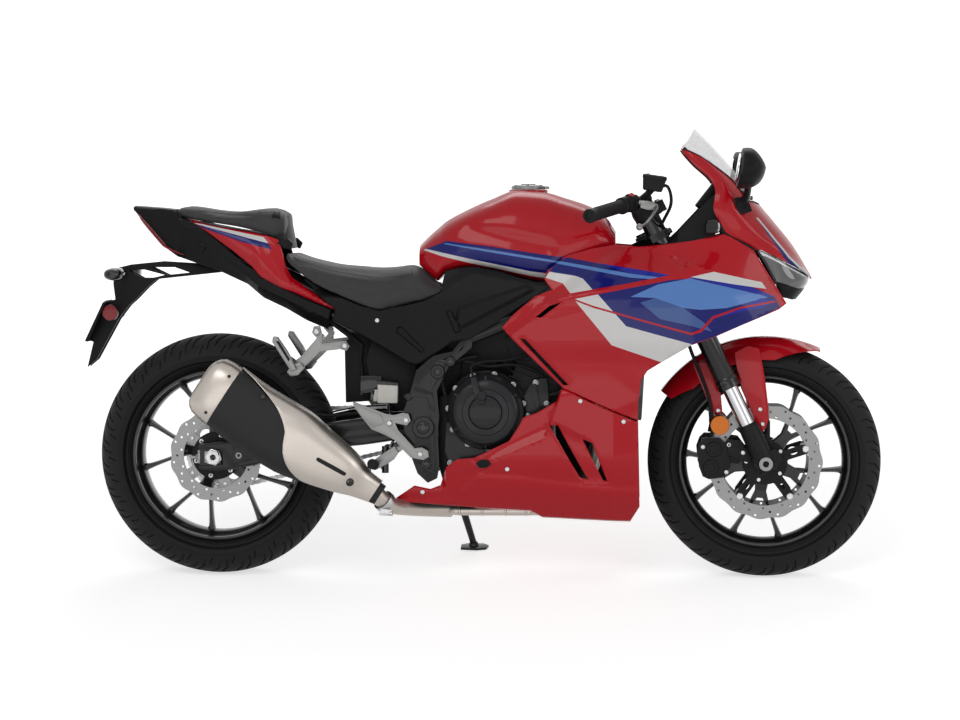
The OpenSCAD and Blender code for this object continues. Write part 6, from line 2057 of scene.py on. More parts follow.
# ---------------------------------------------------------------- steering
def build_yokes():
    """Fork yokes, stem nut and pinch bolts."""
    bm = bmesh.new()
    out = [(-34, -30), (-34, 30), (8, 96), (16, 134), (58, 134), (70, 105), (40, 60), (40, -60), (70, -105),
           (58, -134), (16, -134), (8, -96)]
    sm = []
    for i in range(len(out)):
        p, q, r = (Vector(out[j % len(out)]) for j in (i - 1, i, i + 1))
        a, b = q + (p - q).normalized() * 9, q + (r - q).normalized() * 9
        sm += [tuple(a), tuple((a + b + q * 2) / 4), tuple(b)]
    holes = [circle(FORK_X, s * FORK_Y, 27.2, 40) for s in (1, -1)]
    for z0, h in ((944, 20), (738, 26)):
        slab(bm, sm, z0, z0 + h, holes, bevel=2.2, place=lying)
    lathe(bm, disc_prof(14.8, 236), (0, 0, 742), UP, 32)
    lathe(bm, disc_prof(20, 9, 1.5), (0, 0, 963), UP, 6)
    for s in (1, -1):
        for z in (954, 751):
            tube(bm, [(62, s * 92, z), (72, s * 92, z)], 7, 12)
            tube(bm, [(50, s * 120, z), (76, s * 120, z)], 6, 12)
    piece(bm, "fork_yokes", "frame black", "yokes", body="steering", place=STEERED,
        smooth=30)


def build_fork():
    """Fork legs with their axle castings."""
    for s, side in ((1, "left"), (-1, "right")):
        bm, ch, cast = bmesh.new(), bmesh.new(), bmesh.new()
        at = (FORK_X, s * FORK_Y, 0)
        lathe(bm, [(0, 541), (26, 541), (27, 543), (27, 1048), (25.6, 1050), (0, 1050)], at, UP, 48)
        lathe(bm, [(21, 527), (28, 527), (29.5, 529), (29.5, 540), (28.6, 541.4), (28.6, 544),
            (29.5, 545.4), (29.5, 552), (27.5, 556), (26.8, 556)], at, UP, 48)
        lathe(ch, [(0, 331), (20.4, 331), (20.4, 542), (0, 542)], at, UP, 48)
        lathe(ch, [(0, 1049), (18, 1049), (18, 1055), (16.5, 1056.6), (0, 1056.6)], at, UP, 32)
        lathe(cast, [(0, 291), (21, 291), (25, 294), (26, 300), (26, 400), (25, 414), (23.6, 422),
            (22, 425), (20.5, 425)], at, UP, 40)
        rows = []
        for y, k in ((-17, 0.93), (-15, 1.0), (15, 1.0), (17, 0.93)):
            rows.append([(FORK_X + 12 + px * k, s * (FORK_Y + y), 317 + pz * k) for px, pz in
                         ((-32, -21), (10, -24), (30, -14), (32, 6), (22, 22), (-10, 28), (-32, 26))])
        loft_bm(cast, rows)
        lathe(cast, [(12.7, -20), (19, -20), (20.5, -18), (20.5, 18), (19, 20), (12.7, 20)],
              (FORK_X, s * FORK_Y, 314.7), LEFT, 36)
        piece(bm, "fork_tube_" + side, "gloss black", "fork_" + side, body="steering", place=STEERED)
        piece(ch, "fork_slider_" + side, "chrome", body="steering", place=STEERED)
        piece(cast, "fork_foot_" + side, "cast black", body="steering", place=STEERED, smooth=30)
    quiet("front_axle", "steel")
    bm = bmesh.new()
    for s in (1, -1):
        lathe(bm, [(8.2, -2), (16.6, -2), (17, -1), (17, 3.6), (15.8, 4.8), (8.6, 4.8), (8.2, 4.4)],
            (XF, s * 134, ZF), (0, s, 0), 40)
    piece(bm, "front_axle_nuts", "bare alloy", body="steering", smooth=30)
    bm = bmesh.new()
    for s in (1, -1):
        lathe(bm, disc_prof(24, 5, 1.2), (589, s * 102, 396), (0, s, 0), 44)
    piece(bm, "reflectors_front", "orange lens", body="steering")


def build_bars():
    """Clip-on bars, grips, switch boxes, levers and the fluid reservoir."""
    bars, grips = bmesh.new(), bmesh.new()
    up = STEER
    for s in (1, -1):
        part = bmesh.new()
        lathe(part, [(27.3, 1004), (34, 1004), (36, 1006), (36, 1036), (34, 1038), (27.3, 1038)],
              (FORK_X, s * FORK_Y, 0), UP, 44)
        slab(part, [(58, s * 103), (86, s * 103), (88, s * 128), (60, s * 133)], 1006, 1036, bevel=3,
             place=lying)
        add_moved(bars, part, up)
        a, b = Vector((405, s * 128, 975)), Vector((262, s * 358, 931))
        tube(bars, [a, b], 10.9, 22)
        g0, g1 = Vector((340, s * 233, 955)), Vector((264, s * 355, 931.5))
        d = (g1 - g0).normalized()
        prof = [(11, 0), (20.5, 0), (21.5, 1.5), (21.5, 4.5), (20, 6), (16.6, 7)]
        prof += [(16.4, 10), (15.6, 11), (15.6, 13), (16.4, 14), (16.4, 128), (15.9, 130), (15.9, 132),
            (16.6, 134), (16.6, 143)]
        lathe(grips, prof, g0, d, 36)
        rib = bmesh.new()
        lathe(rib, [(15.8, 0), (17.0, 0.7), (17.0, 2.2), (15.8, 3.0)], ORIGIN, UP, 30)
        row = in_row(rib, 14, (0.0, 0.0, 7.6))
        q = Vector(UP).rotation_difference(d).to_matrix().to_4x4()
        add_moved(grips, row, Matrix.Translation(g0 + d * 20) @ q)
        lathe(bars, [(0, -2), (17, -2), (18, 0), (18.2, 9), (17, 11.6), (9, 12.4), (8, 10), (0, 10)], g1, d,
            36)
    piece(bars, "clip_on_bars", "cast black", "handlebars", body="steering", smooth=30)
    piece(grips, "grips", "rubber", body="steering", smooth=50)
    box, lever, red, res = bmesh.new(), bmesh.new(), bmesh.new(), bmesh.new()
    for s in (1, -1):
        a, b = Vector((371, s * 183, 964.5)), Vector((347, s * 222, 957))
        d = (b - a).normalized()
        u = Vector(UP)
        w = d.cross(u).normalized()
        u = w.cross(d).normalized()
        rows = []
        for t, k in ((-3, 0.7), (1, 0.95), (4, 1.0), (22, 1.04), (40, 1.0), (45, 0.92), (48, 0.7)):
            c = a + d * t
            rows.append([c + (w * p[0] + u * p[1]) * k for p in ((-17, -14), (-10, -20), (10, -20),
                (18, -12), (19, 8), (12, 19), (-8, 20), (-18, 10))])
        loft_bm(box, rows)
        for t, dx in ((14, 0), (30, 4)):
            lathe(box, disc_prof(5.5, 9, 1.5), a + d * t + u * 16, u + w * 0.2, 14)
        lathe(box, disc_prof(6, 8, 2), a + d * 24 - w * 14 * (1 if s < 0 else -1), w * (-1 if s < 0 else 1),
            16)
        pts = [(380, s * 196, 964), (404, s * 198, 958), (424, s * 204, 950), (418, s * 240, 935),
            (400, s * 300, 912), (384, s * 340, 903)]
        tube(lever, pts, [6.5, 7, 6.5, 5.5, 5, 5], 14, smooth=6, flat=0.75)
        lathe(lever, [(0, -8.6), (5, -7.4), (8, -3.6), (8.8, 0), (8, 3.6), (5, 7.4), (0, 8.6)],
              (383, s * 342, 902.6), (0.2, s, -0.2), 20)
        slab(lever, [(384, 950), (404, 944), (428, 946), (430, 958), (404, 968), (386, 968)], s * 186,
            s * 204, bevel=3)
    a, u = Vector((352, -205, 978)), Vector(UP)
    slab(red, [(346, 972), (368, 978), (366, 986), (352, 985)], -214, -192, bevel=2)
    rows = []
    for t, k in ((0, 0.7), (0.06, 0.84), (0.5, 0.95), (0.72, 1.0), (0.8, 1.06), (0.94, 1.06), (1.0, 0.95)):
        c = Vector((414, -176, 992)).lerp(Vector((421.5, -176, 1032)), t)
        rows.append([c + Vector((px * k * 1.35, py * k * 1.2, -px * 0.2 * k))
            for px, py in ((-21, -12), (-15, -19), (12, -20), (21, -13), (22, 10), (14, 20), (-12, 20),
            (-20, 13))])
    loft_bm(res, rows)
    tube(res, [(388, -162, 972), (402, -168, 984), (414, -174, 997)], 8.5, 16)
    piece(box, "switch_boxes", "black plastic", "controls", body="steering")
    piece(lever, "levers", "bare alloy", body="steering", smooth=38)
    piece(red, "kill_switch", "switch red", body="steering")
    piece(res, "fluid_reservoir", "cast black", body="steering", smooth=30)
    bm = bmesh.new()
    for pts, r in (([(420, -186, 996), (452, -184, 1004), (462, -164, 960), (438, -112, 905),
            (430, -66, 862)], 4.2), ([(378, -196, 960), (420, -180, 930), (446, -112, 896),
            (448, -62, 852)], 3.6), ([(378, 196, 960), (420, 180, 930), (446, 112, 896), (448, 62, 852)],
            3.6), ([(362, -190, 948), (372, -160, 920), (402, -100, 890), (426, -58, 852)], 3.2),
            ([(362, 190, 948), (372, 160, 920), (402, 100, 890), (426, 58, 852)], 3.2)):
        tube(bm, pts, r, 10, smooth=7)
    piece(bm, "bar_cables", "rubber", body="steering")
    spots = []
    for s in (1, -1):
        p = up @ Vector((74, s * 117, 1037))
        q = up @ Vector((74, s * 117, 1030))
        spots.append((p, p - q))
    spots += [((421 + dx * 1.3, -176 + dy, 1032.4 - dx * 0.26), (0.2, 0, 1), 0.55)
        for dx, dy in ((-13, -12), (-13, 12), (14, -12), (14, 12))]
    bolts("bar_bolts", spots, "steel", 6, 4, body="steering")


def build_fender():
    """Front mudguard with its stays."""
    us = [lerp(-1, 1, i / 28) for i in range(29)]
    rows = []
    for i in range(49):
        a = lerp(64, 146, i / 48)
        q = min(1.0, max(0.05, (a - 64) / 21)) - 0.5 * max(0, (a - 134) / 12)
        row = []
        for u in us:
            y = 76 * spow(u, 0.92)
            dr = -58 * abs(u) ** 3.2 * q + 2.2 * exp(-((abs(u) - 0.42) * 8) ** 2) - 2
            r = 322.5 + dr
            row.append((XF + r * cos(radians(a)), y, ZF + r * sin(radians(a))))
        rows.append(row)
    bm = bmesh.new()
    ring_faces(bm, rows, close=False)
    face_up(bm, 2)
    thicken(bm, 3)
    piece(bm, "mudguard", "red paint", "front_fender", body="steering", smooth=40,
        kept=True)
    bm = bmesh.new()
    for s in (1, -1):
        slab(bm, [(713, 441), (714, 410), (705, 385), (696, 377), (684, 394), (668, 434), (648, 480),
            (632, 540), (626, 580), (660, 598), (688, 592), (697, 553), (706, 500)], s * 75.8, s * 79,
            bevel=1.1)
        slab(bm, [(520, 552), (552, 470), (570, 430), (584, 420), (596, 428), (592, 470), (588, 560)],
             s * 72.5, s * 77, bevel=1.1)
    piece(bm, "mudguard_stays", "red paint", body="steering", smooth=30)
    spots = on_both(((698, 79, 398), (692, 79, 436), (585, 77, 432)), 0.9)
    bolts("mudguard_bolts", spots, "steel", body="steering")
    bm = bmesh.new()
    for s in (1, -1):
        tube(bm, [(462, s * 70, 840), (470, s * 86, 770), (492, s * 96, 690), (510, s * 100, 600),
            (556, s * 98, 480), (570, s * 96, 400), (566, s * 90, 366)], 4.5, 10, smooth=7)
    piece(bm, "brake_hoses", "rubber", body="steering")


def build_front_brakes():
    """Front calipers on their brackets."""
    bm = bmesh.new()
    body = [(532, 330), (536, 290), (546, 264), (562, 257), (600, 262), (617, 290), (612, 340), (590, 362),
            (552, 364), (540, 352)]
    for s in (1, -1):
        y = lambda a, b: (min(s * a, s * b), max(s * a, s * b))
        slab(bm, body, *y(77, 95), bevel=4)
        slab(bm, [(546, 352), (540, 300), (556, 268), (566, 276), (560, 318), (566, 352)], *y(52, 82),
            bevel=2)
        for x, z in ((566, 288), (574, 334)):
            lathe(bm, [(21, -2), (20, 4), (18, 6), (12, 6), (11, 4), (0, 4)], (x, s * 93, z), (0, s, 0), 36)
        slab(bm, [(600, 300), (600, 350), (640, 354), (652, 340), (652, 312), (636, 296)], *y(80, 87.8),
            bevel=1.6)
        slab(bm, [(606, 360), (640, 356), (660, 330), (672, 316), (664, 300), (640, 306), (610, 320)],
            *y(88, 97), bevel=2.4)
    piece(bm, "front_calipers", "cast black", "front_brakes", body="steering", smooth=30)
    spots = on_both(((612, 95, 346), (606, 95, 276), (546, 95, 340), (648, 97, 326)))
    bolts("caliper_bolts", spots, "steel", 5.5, body="steering")


# ---------------------------------------------------------------- wheels
WHEELS = {"front": dict(x=XF, z=ZF, r=300, c=62, w=60, k=45, hub=70, a0=48, body="front_wheel", pitch=30),
          "rear": dict(x=XR, z=ZR, r=312, c=82, w=80, k=64, hub=78, a0=30, body="rear_wheel", pitch=30)}


def wheel_frame(w):
    """Puts a form turned about Z onto the wheel's axle."""
    return PARK @ Matrix.Translation((w["x"], 0, w["z"])) @ Matrix.Rotation(pi / 2, 4, "X")


def build_tyre(name, w, depth):
    """Tyre carcass with a grooved tread belt repeated around it."""
    r, c, k, rim = w["r"], w["c"], w["w"] * 0.66, RIM_SEAT
    ts = 74
    lim = radians(ts)
    arc = c * lim
    n = w["pitch"]
    pitch = tau / n
    plen = pitch * r

    def prof(s):
        t = s / c
        return r - c + c * cos(t), c * sin(t)
    g = []
    for sd in (1, -1):
        f = lambda pts: [(p[0] * plen, sd * p[1] * arc) for p in pts]
        if name == "front":
            g += [f([(0.06, 0.16), (0.14, 0.14), (0.52, 0.50), (0.60, 0.74), (0.54, 0.75), (0.44, 0.54)]),
                  f([(0.58, 0.30), (0.64, 0.27), (0.93, 0.58), (0.97, 0.86), (0.91, 0.86), (0.85, 0.62)])]
        else:
            g += [f([(0.05, 0.12), (0.13, 0.10), (0.50, 0.42), (0.62, 0.66), (0.56, 0.68), (0.42, 0.48)]),
                  f([(0.55, 0.26), (0.62, 0.23), (0.90, 0.50), (0.97, 0.78), (0.91, 0.79), (0.82, 0.55)]),
                  f([(0.10, 0.66), (0.15, 0.64), (0.32, 0.86), (0.28, 0.89)])]
    m = 26
    left = [(0.0, lerp(-arc, arc, i / m)) for i in range(m + 1)]
    right = [(plen, lerp(arc, -arc, i / m)) for i in range(m + 1)]
    outline = left + [(plen * j / 4, arc) for j in (1, 2, 3)] + right + [(plen * j / 4, -arc)
        for j in (3, 2, 1)]
    pts = [Vector(p) for p in outline]
    edges = [(i, (i + 1) % len(pts)) for i in range(len(pts))]
    for q in g:
        b = len(pts)
        pts += [Vector(p) for p in q]
        edges += [(b + i, b + (i + 1) % len(q)) for i in range(len(q))]
        b = len(pts)
        qi = inset(q, 1.0)
        pts += [Vector(p) for p in qi]
        edges += [(b + i, b + (i + 1) % len(q)) for i in range(len(q))]
    for i in range(1, 8):
        for j in range(1, m):
            x, y = plen * i / 8, lerp(-arc, arc, j / m)
            if all(edge_gap(q, x, y) > 2.2 for q in g):
                pts.append(Vector((x, y)))
    v, _, fs, *_ = delaunay_2d_cdt(pts, edges, [], 1, 1e-4)
    bm = bmesh.new()
    low = [inset(q, 1.0) for q in g]
    vs = []
    for p in v:
        rr, y = prof(p.y)
        deep = any(inside(q, p.x, p.y) or edge_gap(q, p.x, p.y) < 0.05 for q in low)
        t = p.y / c
        d = depth if deep else 0.0
        rr -= d * cos(t)
        y -= d * sin(t)
        a = p.x / r
        vs.append(bm.verts.new((rr * cos(a), rr * sin(a), y)))
    for f in fs:
        if len(f) > 2:
            bm.faces.new([vs[i] for i in f])
    whole = around(bm, n, 0)
    bmesh.ops.remove_doubles(whole, verts=whole.verts, dist=0.02)
    outward(whole)
    me_top = prof(arc)
    side = [me_top, (rim + 34, c * 0.985), (rim + 24, c * 0.97), (rim + 22, c * 0.99), (rim + 18, k + 8),
        (rim + 12, k + 7), (rim + 10, k + 4.6), (rim + 8, k + 4.6), (rim + 4, k + 1.5), (rim - 2, k * 0.98),
        (rim - 2, k * 0.78), (rim + 8, k * 0.8), (r - 44, w["w"] * 0.76), (r - 20, w["w"] * 0.46),
        (r - 12, 0)]
    part = bmesh.new()
    for s in (1, -1):
        lathe(part, [(a, s * b) for a, b in side], ORIGIN, UP, 120, mi=1)
    merge(whole, part)
    bmesh.ops.remove_doubles(whole, verts=whole.verts, dist=0.05)
    piece(whole, name + "_tyre_rubber", ["tread", "tyre"], name + "_tyre", body=w["body"],
        place=wheel_frame(w), smooth=34)


def build_rim(name, w):
    """Cast wheel: barrel, hub and five arms that each fork into two spokes."""
    k, hub = w["k"], w["hub"]
    bm = bmesh.new()
    lathe(bm, [(213, -k - 4), (215, -k - 5), (219.6, -k - 4.4), (219.9, -k - 3), (219.9, -k * 0.74),
        (208.5, -k * 0.62), (208, 0), (208.5, k * 0.62), (219.9, k * 0.74), (219.9, k + 3),
        (219.6, k + 4.4), (215, k + 5), (213, k + 4), (211.5, k * 0.76), (205, k * 0.6), (200.6, k * 0.4),
        (199, 0), (200.6, -k * 0.4), (205, -k * 0.6), (211.5, -k * 0.76), (213, -k - 4)], ORIGIN, UP, 144)
    lathe(bm, [(12.6, -hub + 0.1), (24, -hub + 0.1), (29, -hub + 3), (30, -hub + 8), (30, -30), (38, -26),
        (45, -25), (46, -23), (46, 23), (45, 25), (38, 26), (30, 30), (30, hub - 8), (29, hub - 3),
        (24, hub - 0.1), (12.6, hub - 0.1)], ORIGIN, UP, 72)
    arm = bmesh.new()
    rows = []
    for x, hw, hy in ((36, 23, 20), (48, 20, 19), (62, 16.5, 18), (78, 14.5, 17.2), (90, 16, 17),
            (98, 19, 17)):
        rows.append([(x, hw * p, hy * q) for p, q in ((-1, -0.7), (-0.8, -1), (0.8, -1), (1, -0.7),
            (1, 0.7), (0.8, 1), (-0.8, 1), (-1, 0.7))])
    ring_faces(arm, rows)
    for s in (1, -1):
        rows = []
        for i in range(17):
            t = i / 16
            x = lerp(84, 201, t)
            c = s * lerp(8, 200 * tan(radians(18)), t ** 1.06)
            hw = 8.2 - 2.6 * sin(pi * min(1, t * 1.15)) + 9 * max(0, t - 0.86) / 0.14 * 0.9
            hy = 16.6 - 1.6 * t
            rows.append([(x, c + hw * p, hy * q) for p, q in ((-1, -0.55), (-0.55, -1), (0.55, -1),
                (1, -0.55), (1, 0.55), (0.55, 1), (-0.55, 1), (-1, 0.55))])
        ring_faces(arm, rows)
    merge(bm, around(arm, SPOKE_PAIRS, w["a0"]))
    piece(bm, name + "_wheel_casting", "rim black", name + "_rim", body=w["body"], place=wheel_frame(w),
        smooth=34)
    bm = bmesh.new()
    for s in (1, -1):
        lathe(bm, [(213.2, s * (k + 4.2)), (215.0, s * (k + 5.4)), (217.2, s * (k + 5.2)),
            (215.2, s * (k + 4.2))], ORIGIN, UP, 144)
    piece(bm, name + "_rim_line", "cast grey", body=w["body"], place=wheel_frame(w))
    bm = bmesh.new()
    a = radians(w["a0"] + 36 + 8)
    d = Vector((cos(a), sin(a), 0))
    tube(bm, [d * 199 + Vector((0, 0, 6)), d * 184 + Vector((0, 0, 10)), d * 168 + Vector((0, 0, 16))],
        [4, 3.6, 3.6], 12)
    piece(bm, name + "_valve", "gloss black", body=w["body"], place=wheel_frame(w))


def wavy(r, n, amp):
    """Wavy round outline."""
    m = n * 8
    out = []
    for k in range(m):
        rr = r - amp + amp * cos(tau * k / 8)
        out.append((rr * cos(tau * k / m), rr * sin(tau * k / m)))
    return out


def disc_sector(r, ri, t, n):
    """Drilled brake ring as one mesh: outline, inner edge and rows of holes."""
    outline = wavy(r, n, 2.2)
    holes = [[(ri * cos(-a), ri * sin(-a)) for a in turns(96)]]
    m = n * 3
    for k in range(m):
        a = tau * (k + 0.5) / m
        rr = lerp(ri + 7, r - 9, (k % 3) / 2)
        holes.append([(rr * cos(a) + 3.2 * cos(b), rr * sin(a) + 3.2 * sin(b)) for b in turns(10)])
    bm = bmesh.new()
    slab(bm, outline, -t / 2, t / 2, holes, place=lying)
    return bm


def build_discs():
    """Brake discs with their carriers, and the rear sprocket."""
    w = WHEELS["front"]
    for s, side in ((1, "left"), (-1, "right")):
        bm = disc_sector(148, 112, 4.6, 15)
        bmesh.ops.translate(bm, verts=bm.verts, vec=(0, 0, -s * DISC_Y))
        piece(bm, "front_disc_" + side, "disc steel", ("front_discs",) if s > 0 else (), body="front_wheel",
            place=wheel_frame(w), smooth=30)
        arm = bmesh.new()
        slab(arm, [(28, -26), (60, -13), (104, -13), (113, -9), (116, 0), (113, 9), (104, 13), (60, 13),
            (28, 26)], -2.6, 2.6, holes=[[(78 + 9 * cos(-b), 5 * sin(-b)) for b in turns(16)]], bevel=0.8,
            place=lying)
        car = around(arm, 5, 18)
        lathe(car, [(30.2, -3), (56, -3), (58, -1.6), (58, 1.6), (56, 3), (30.2, 3)], ORIGIN, UP, 64)
        bmesh.ops.translate(car, verts=car.verts, vec=(0, 0, -s * DISC_Y))
        piece(car, "front_disc_carrier_" + side, "cast black", body="front_wheel", place=wheel_frame(w),
            smooth=30)
        but = bmesh.new()
        zc = -s * DISC_Y
        lathe(but, [(0, -4.6), (7, -4.6), (8.6, -3.4), (8.6, 3.4), (7, 4.6), (0, 4.6)], (109, 0, 0), UP, 24)
        lathe(but, [(0, -4.4), (5, -4.4), (5, 4.4), (0, 4.4)], (46, 14, 0), UP, 6)
        ring = around(but, 5, 18)
        bmesh.ops.translate(ring, verts=ring.verts, vec=(0, 0, zc))
        piece(ring, "front_disc_buttons_" + side, "steel", body="front_wheel", place=wheel_frame(w),
            smooth=30)
    w = WHEELS["rear"]
    bm = disc_sector(120, 84, 4.6, 13)
    bmesh.ops.translate(bm, verts=bm.verts, vec=(0, 0, 90))
    arm = bmesh.new()
    slab(arm, [(56, -14), (84, -16), (86, 0), (84, 16), (56, 14)], 87.6, 92.4, bevel=0.8, place=lying)
    merge(bm, around(arm, 5, 0))
    piece(bm, "rear_disc_ring", "disc steel", "rear_disc", body="rear_wheel", place=wheel_frame(w),
        smooth=30)
    bm = bmesh.new()
    lathe(bm, [(30.2, 78.2), (43, 78.2), (44, 80), (44, 86), (60, 87), (62, 88.6), (62, 92), (60, 94),
        (46, 95), (44, 96.6), (30.2, 96.8)], ORIGIN, UP, 72)
    lathe(bm, [(30.2, -78.2), (43, -78.2), (44, -80), (44, -95), (42, -96.8), (30.2, -96.8)], ORIGIN, UP,
        72)
    piece(bm, "rear_hub_plates", "cast black", body="rear_wheel", place=wheel_frame(w), smooth=30)
    but = bmesh.new()
    lathe(but, bolt_prof(6.0, 4.0), (53, 0, 93), UP, 12)
    ring = around(but, 6, 15)
    but = bmesh.new()
    lathe(but, bolt_prof(5.0, 3.6), (76, 0, 92.2), UP, 12)
    merge(ring, around(but, 5, 0))
    piece(ring, "rear_hub_screws", "steel", body="rear_wheel", place=wheel_frame(w), smooth=30)
    bm = bmesh.new()
    hub_holes = [[(64 * cos(a0) + 17 * cos(-b), 64 * sin(a0) + 17 * sin(-b)) for b in turns(24)]
                 for a0 in (tau * i / 5 for i in range(5))]
    hub_holes.append([(30.2 * cos(-b), 30.2 * sin(-b)) for b in turns(40)])
    teeth = []
    turn = atan2(w["mesh"].y, w["mesh"].x)
    for i in range(SPROCKET_TEETH):
        for f, rr in ((0.0, 93), (0.26, 94), (0.46, 103), (0.54, 103), (0.74, 94)):
            a = turn + tau * (i + f - 0.5) / SPROCKET_TEETH
            teeth.append((rr * cos(a), rr * sin(a)))
    slab(bm, teeth, -97.4, -93.4, hub_holes, place=lying)
    piece(bm, "rear_sprocket", "steel", body="rear_wheel", place=wheel_frame(w), smooth=30)


def build_rear_brake():
    """Rear caliper, its bracket, and the rear axle's nuts."""
    bm = bmesh.new()
    body = [(-640, 352), (-648, 392), (-646, 420), (-630, 436), (-600, 440), (-570, 428), (-560, 412),
        (-566, 372), (-604, 352)]
    slab(bm, body, -106, -97.5, bevel=2.5)
    slab(bm, [(-640, 404), (-646, 420), (-630, 436), (-600, 440), (-572, 426), (-584, 424), (-606, 428)],
        -99, -76, bevel=2)
    lathe(bm, [(17, -2), (16, 4), (14, 5), (9, 5), (8, 3.4), (0, 3.4)], (-610, -105, 388), (0, -1, 0), 32)
    slab(bm, [(-646, 346), (-596, 346), (-596, 360), (-646, 360)], -107, -100, bevel=1.5)
    piece(bm, "rear_caliper", "cast black", "rear_brake", smooth=30)
    quiet("rear_axle", "steel")
    bm = bmesh.new()
    for s in (1, -1):
        lathe(bm, [(12.7, 142), (21, 142), (22, 143.4), (22, 145), (19.4, 146), (19.4, 151.2),
            (17.6, 152.6), (13, 152.6), (8.3, 151)], (XR, 0, ZR), (0, s, 0), 6)
    piece(bm, "rear_axle_nuts", "steel", smooth=25)
    bm = bmesh.new()
    tube(bm, [(-600, -100, 440), (-580, -104, 462), (-520, -110, 440), (-420, -112, 418), (-330, -116, 424),
              (-262, -130, 400)], 4, 10, smooth=6)
    piece(bm, "rear_brake_hose", "rubber")


def build_stand():
    """Side stand leg and foot."""
    piv = STAND_PIVOT
    foot = Vector((-58, 232, 232 * tan(LEAN) - 1 / cos(LEAN)))
    n = stand_axis()
    d = (foot - piv).normalized()
    bm = bmesh.new()
    tube(bm, [piv + d * 12, piv + d * 26, piv + d * 40], [7, 10, 11], 20)
    tube(bm, [piv + d * 30, lerp(piv + d * 30, foot + Vector((0, -3, 13)), 0.5),
        foot + Vector((0, -3, 13))], [10.4, 9.4, 8.6], 20)
    lathe(bm, [(8.2, -6), (16, -6), (17, -5), (17, 5), (16, 6), (8.2, 6)], piv, n, 36)
    flat = Matrix.Translation(foot) @ Matrix.Rotation(LEAN, 4, "X")
    part = bmesh.new()
    slab(part, [(-34, -18), (-34, 14), (-14, 26), (26, 24), (40, 8), (34, -16), (8, -24)], 0.05, 7,
        bevel=1.6, place=lying)
    lathe(part, [(13, 5), (13, 12), (10, 18), (0, 18)], ORIGIN, UP, 28)
    add_moved(bm, part, flat)
    piece(bm, "stand_leg", "frame black", "side_stand", body="side_stand")


# ---------------------------------------------------------------- stage
GLOW_NEAR, GLOW_FAR = 1.3, 4.5  # distances over which the floor turns white, in metres
FLOOR = 60  # half the floor's side, in metres


def seen_ray(nt):
    """1 for rays by which the background is seen, straight or in gloss and glass."""
    ray = node(nt, "ShaderNodeLightPath").outputs
    last = ray["Is Camera Ray"]
    for key in ("Is Glossy Ray", "Is Transmission Ray"):
        last = node(nt, "ShaderNodeMath", {0: last, 1: ray[key]}, operation="MAXIMUM").outputs[0]
    return last


def studio_floor(s):
    """White floor: pale to the camera, plain matt to the lamps, so it keeps the shadow."""
    m = bpy.data.materials.new("studio white")
    m.use_nodes = True
    nt = m.node_tree
    bs = nt.nodes["Principled BSDF"].inputs
    for key, v in (("Base Color", (0.8, 0.8, 0.8, 1)), ("Roughness", 0.9), ("Specular IOR Level", 0.05),
                   ("Emission Color", (1, 1, 1, 1))):
        bs[key].default_value = v
    far = node(nt, "ShaderNodeVectorMath", {0: node(nt, "ShaderNodeTexCoord").outputs["Object"]},
        operation="LENGTH")
    ramp = node(nt, "ShaderNodeMapRange", {"Value": far.outputs["Value"], "From Min": GLOW_NEAR,
        "From Max": GLOW_FAR,
                                           "To Min": s.floor_glow, "To Max": 1.0})
    glow = node(nt, "ShaderNodeMath", {0: seen_ray(nt), 1: ramp.outputs[0]}, operation="MULTIPLY")
    nt.links.new(glow.outputs[0], bs["Emission Strength"])
    return m


def build_stage(s):
    """Pale floor and backdrop, soft lights and the camera."""
    me = bpy.data.meshes.new("studio_floor")
    me.from_pydata([(x * FLOOR, y * FLOOR, 0) for x, y in ((-1, -1), (1, -1), (1, 1), (-1, 1))], [],
        [(0, 1, 2, 3)])
    me.materials.append(studio_floor(s))
    floor = bpy.data.objects.new("studio_floor", me)
    bpy.context.scene.collection.objects.link(floor)
    sc = bpy.context.scene
    w = bpy.data.worlds.new("studio")
    sc.world = w
    w.use_nodes = True
    nt = w.node_tree
    bg = nt.nodes["Background"]
    bg.inputs[0].default_value = (1, 1, 1, 1)
    mr = node(nt, "ShaderNodeMapRange", {"Value": seen_ray(nt), "To Min": s.sky_light})
    nt.links.new(mr.outputs[0], bg.inputs[1])
    for name, at, to, size, power in (
            ("key", (-1.6, -4.2, 4.6), (0, 0, 0.4), (3.6, 2.4), 1.0),
            ("side", (4.6, -2.6, 2.2), (0.2, 0, 0.5), (2.4, 2.4), 0.55),
            ("back", (0.4, 3.2, 3.6), (0, 0, 0.6), (4.0, 1.6), 0.6),
            ("low", (-0.4, -4.6, 0.9), (0, 0, 0.35), (5.0, 1.2), 0.28)):
        d = bpy.data.lights.new(name, "AREA")
        d.shape = "RECTANGLE"
        d.size, d.size_y = size
        d.energy = s.lamp_power * power
        ob = bpy.data.objects.new(name, d)
        ob.location = at
        ob.rotation_euler = (Vector(to) - Vector(at)).to_track_quat("-Z", "Y").to_euler()
        sc.collection.objects.link(ob)
    cam = bpy.data.cameras.new("camera")
    cam.lens = s.lens
    cam.sensor_width = 36.0
    cam.clip_end = 200.0
    ob = bpy.data.objects.new("camera", cam)
    eye, aim = PARK @ Vector((385, -7800, 956)), PARK @ Vector((-29, 0, 556))
    fwd = (aim - eye).normalized()
    up = (PARK.to_3x3() @ Vector(UP)).normalized()
    right = fwd.cross(up).normalized()
    m = Matrix((right, right.cross(fwd), -fwd)).transposed().to_4x4()
    m.translation = eye
    ob.matrix_world = m
    sc.collection.objects.link(ob)
    sc.camera = ob
    sc.view_settings.view_transform = "Standard"


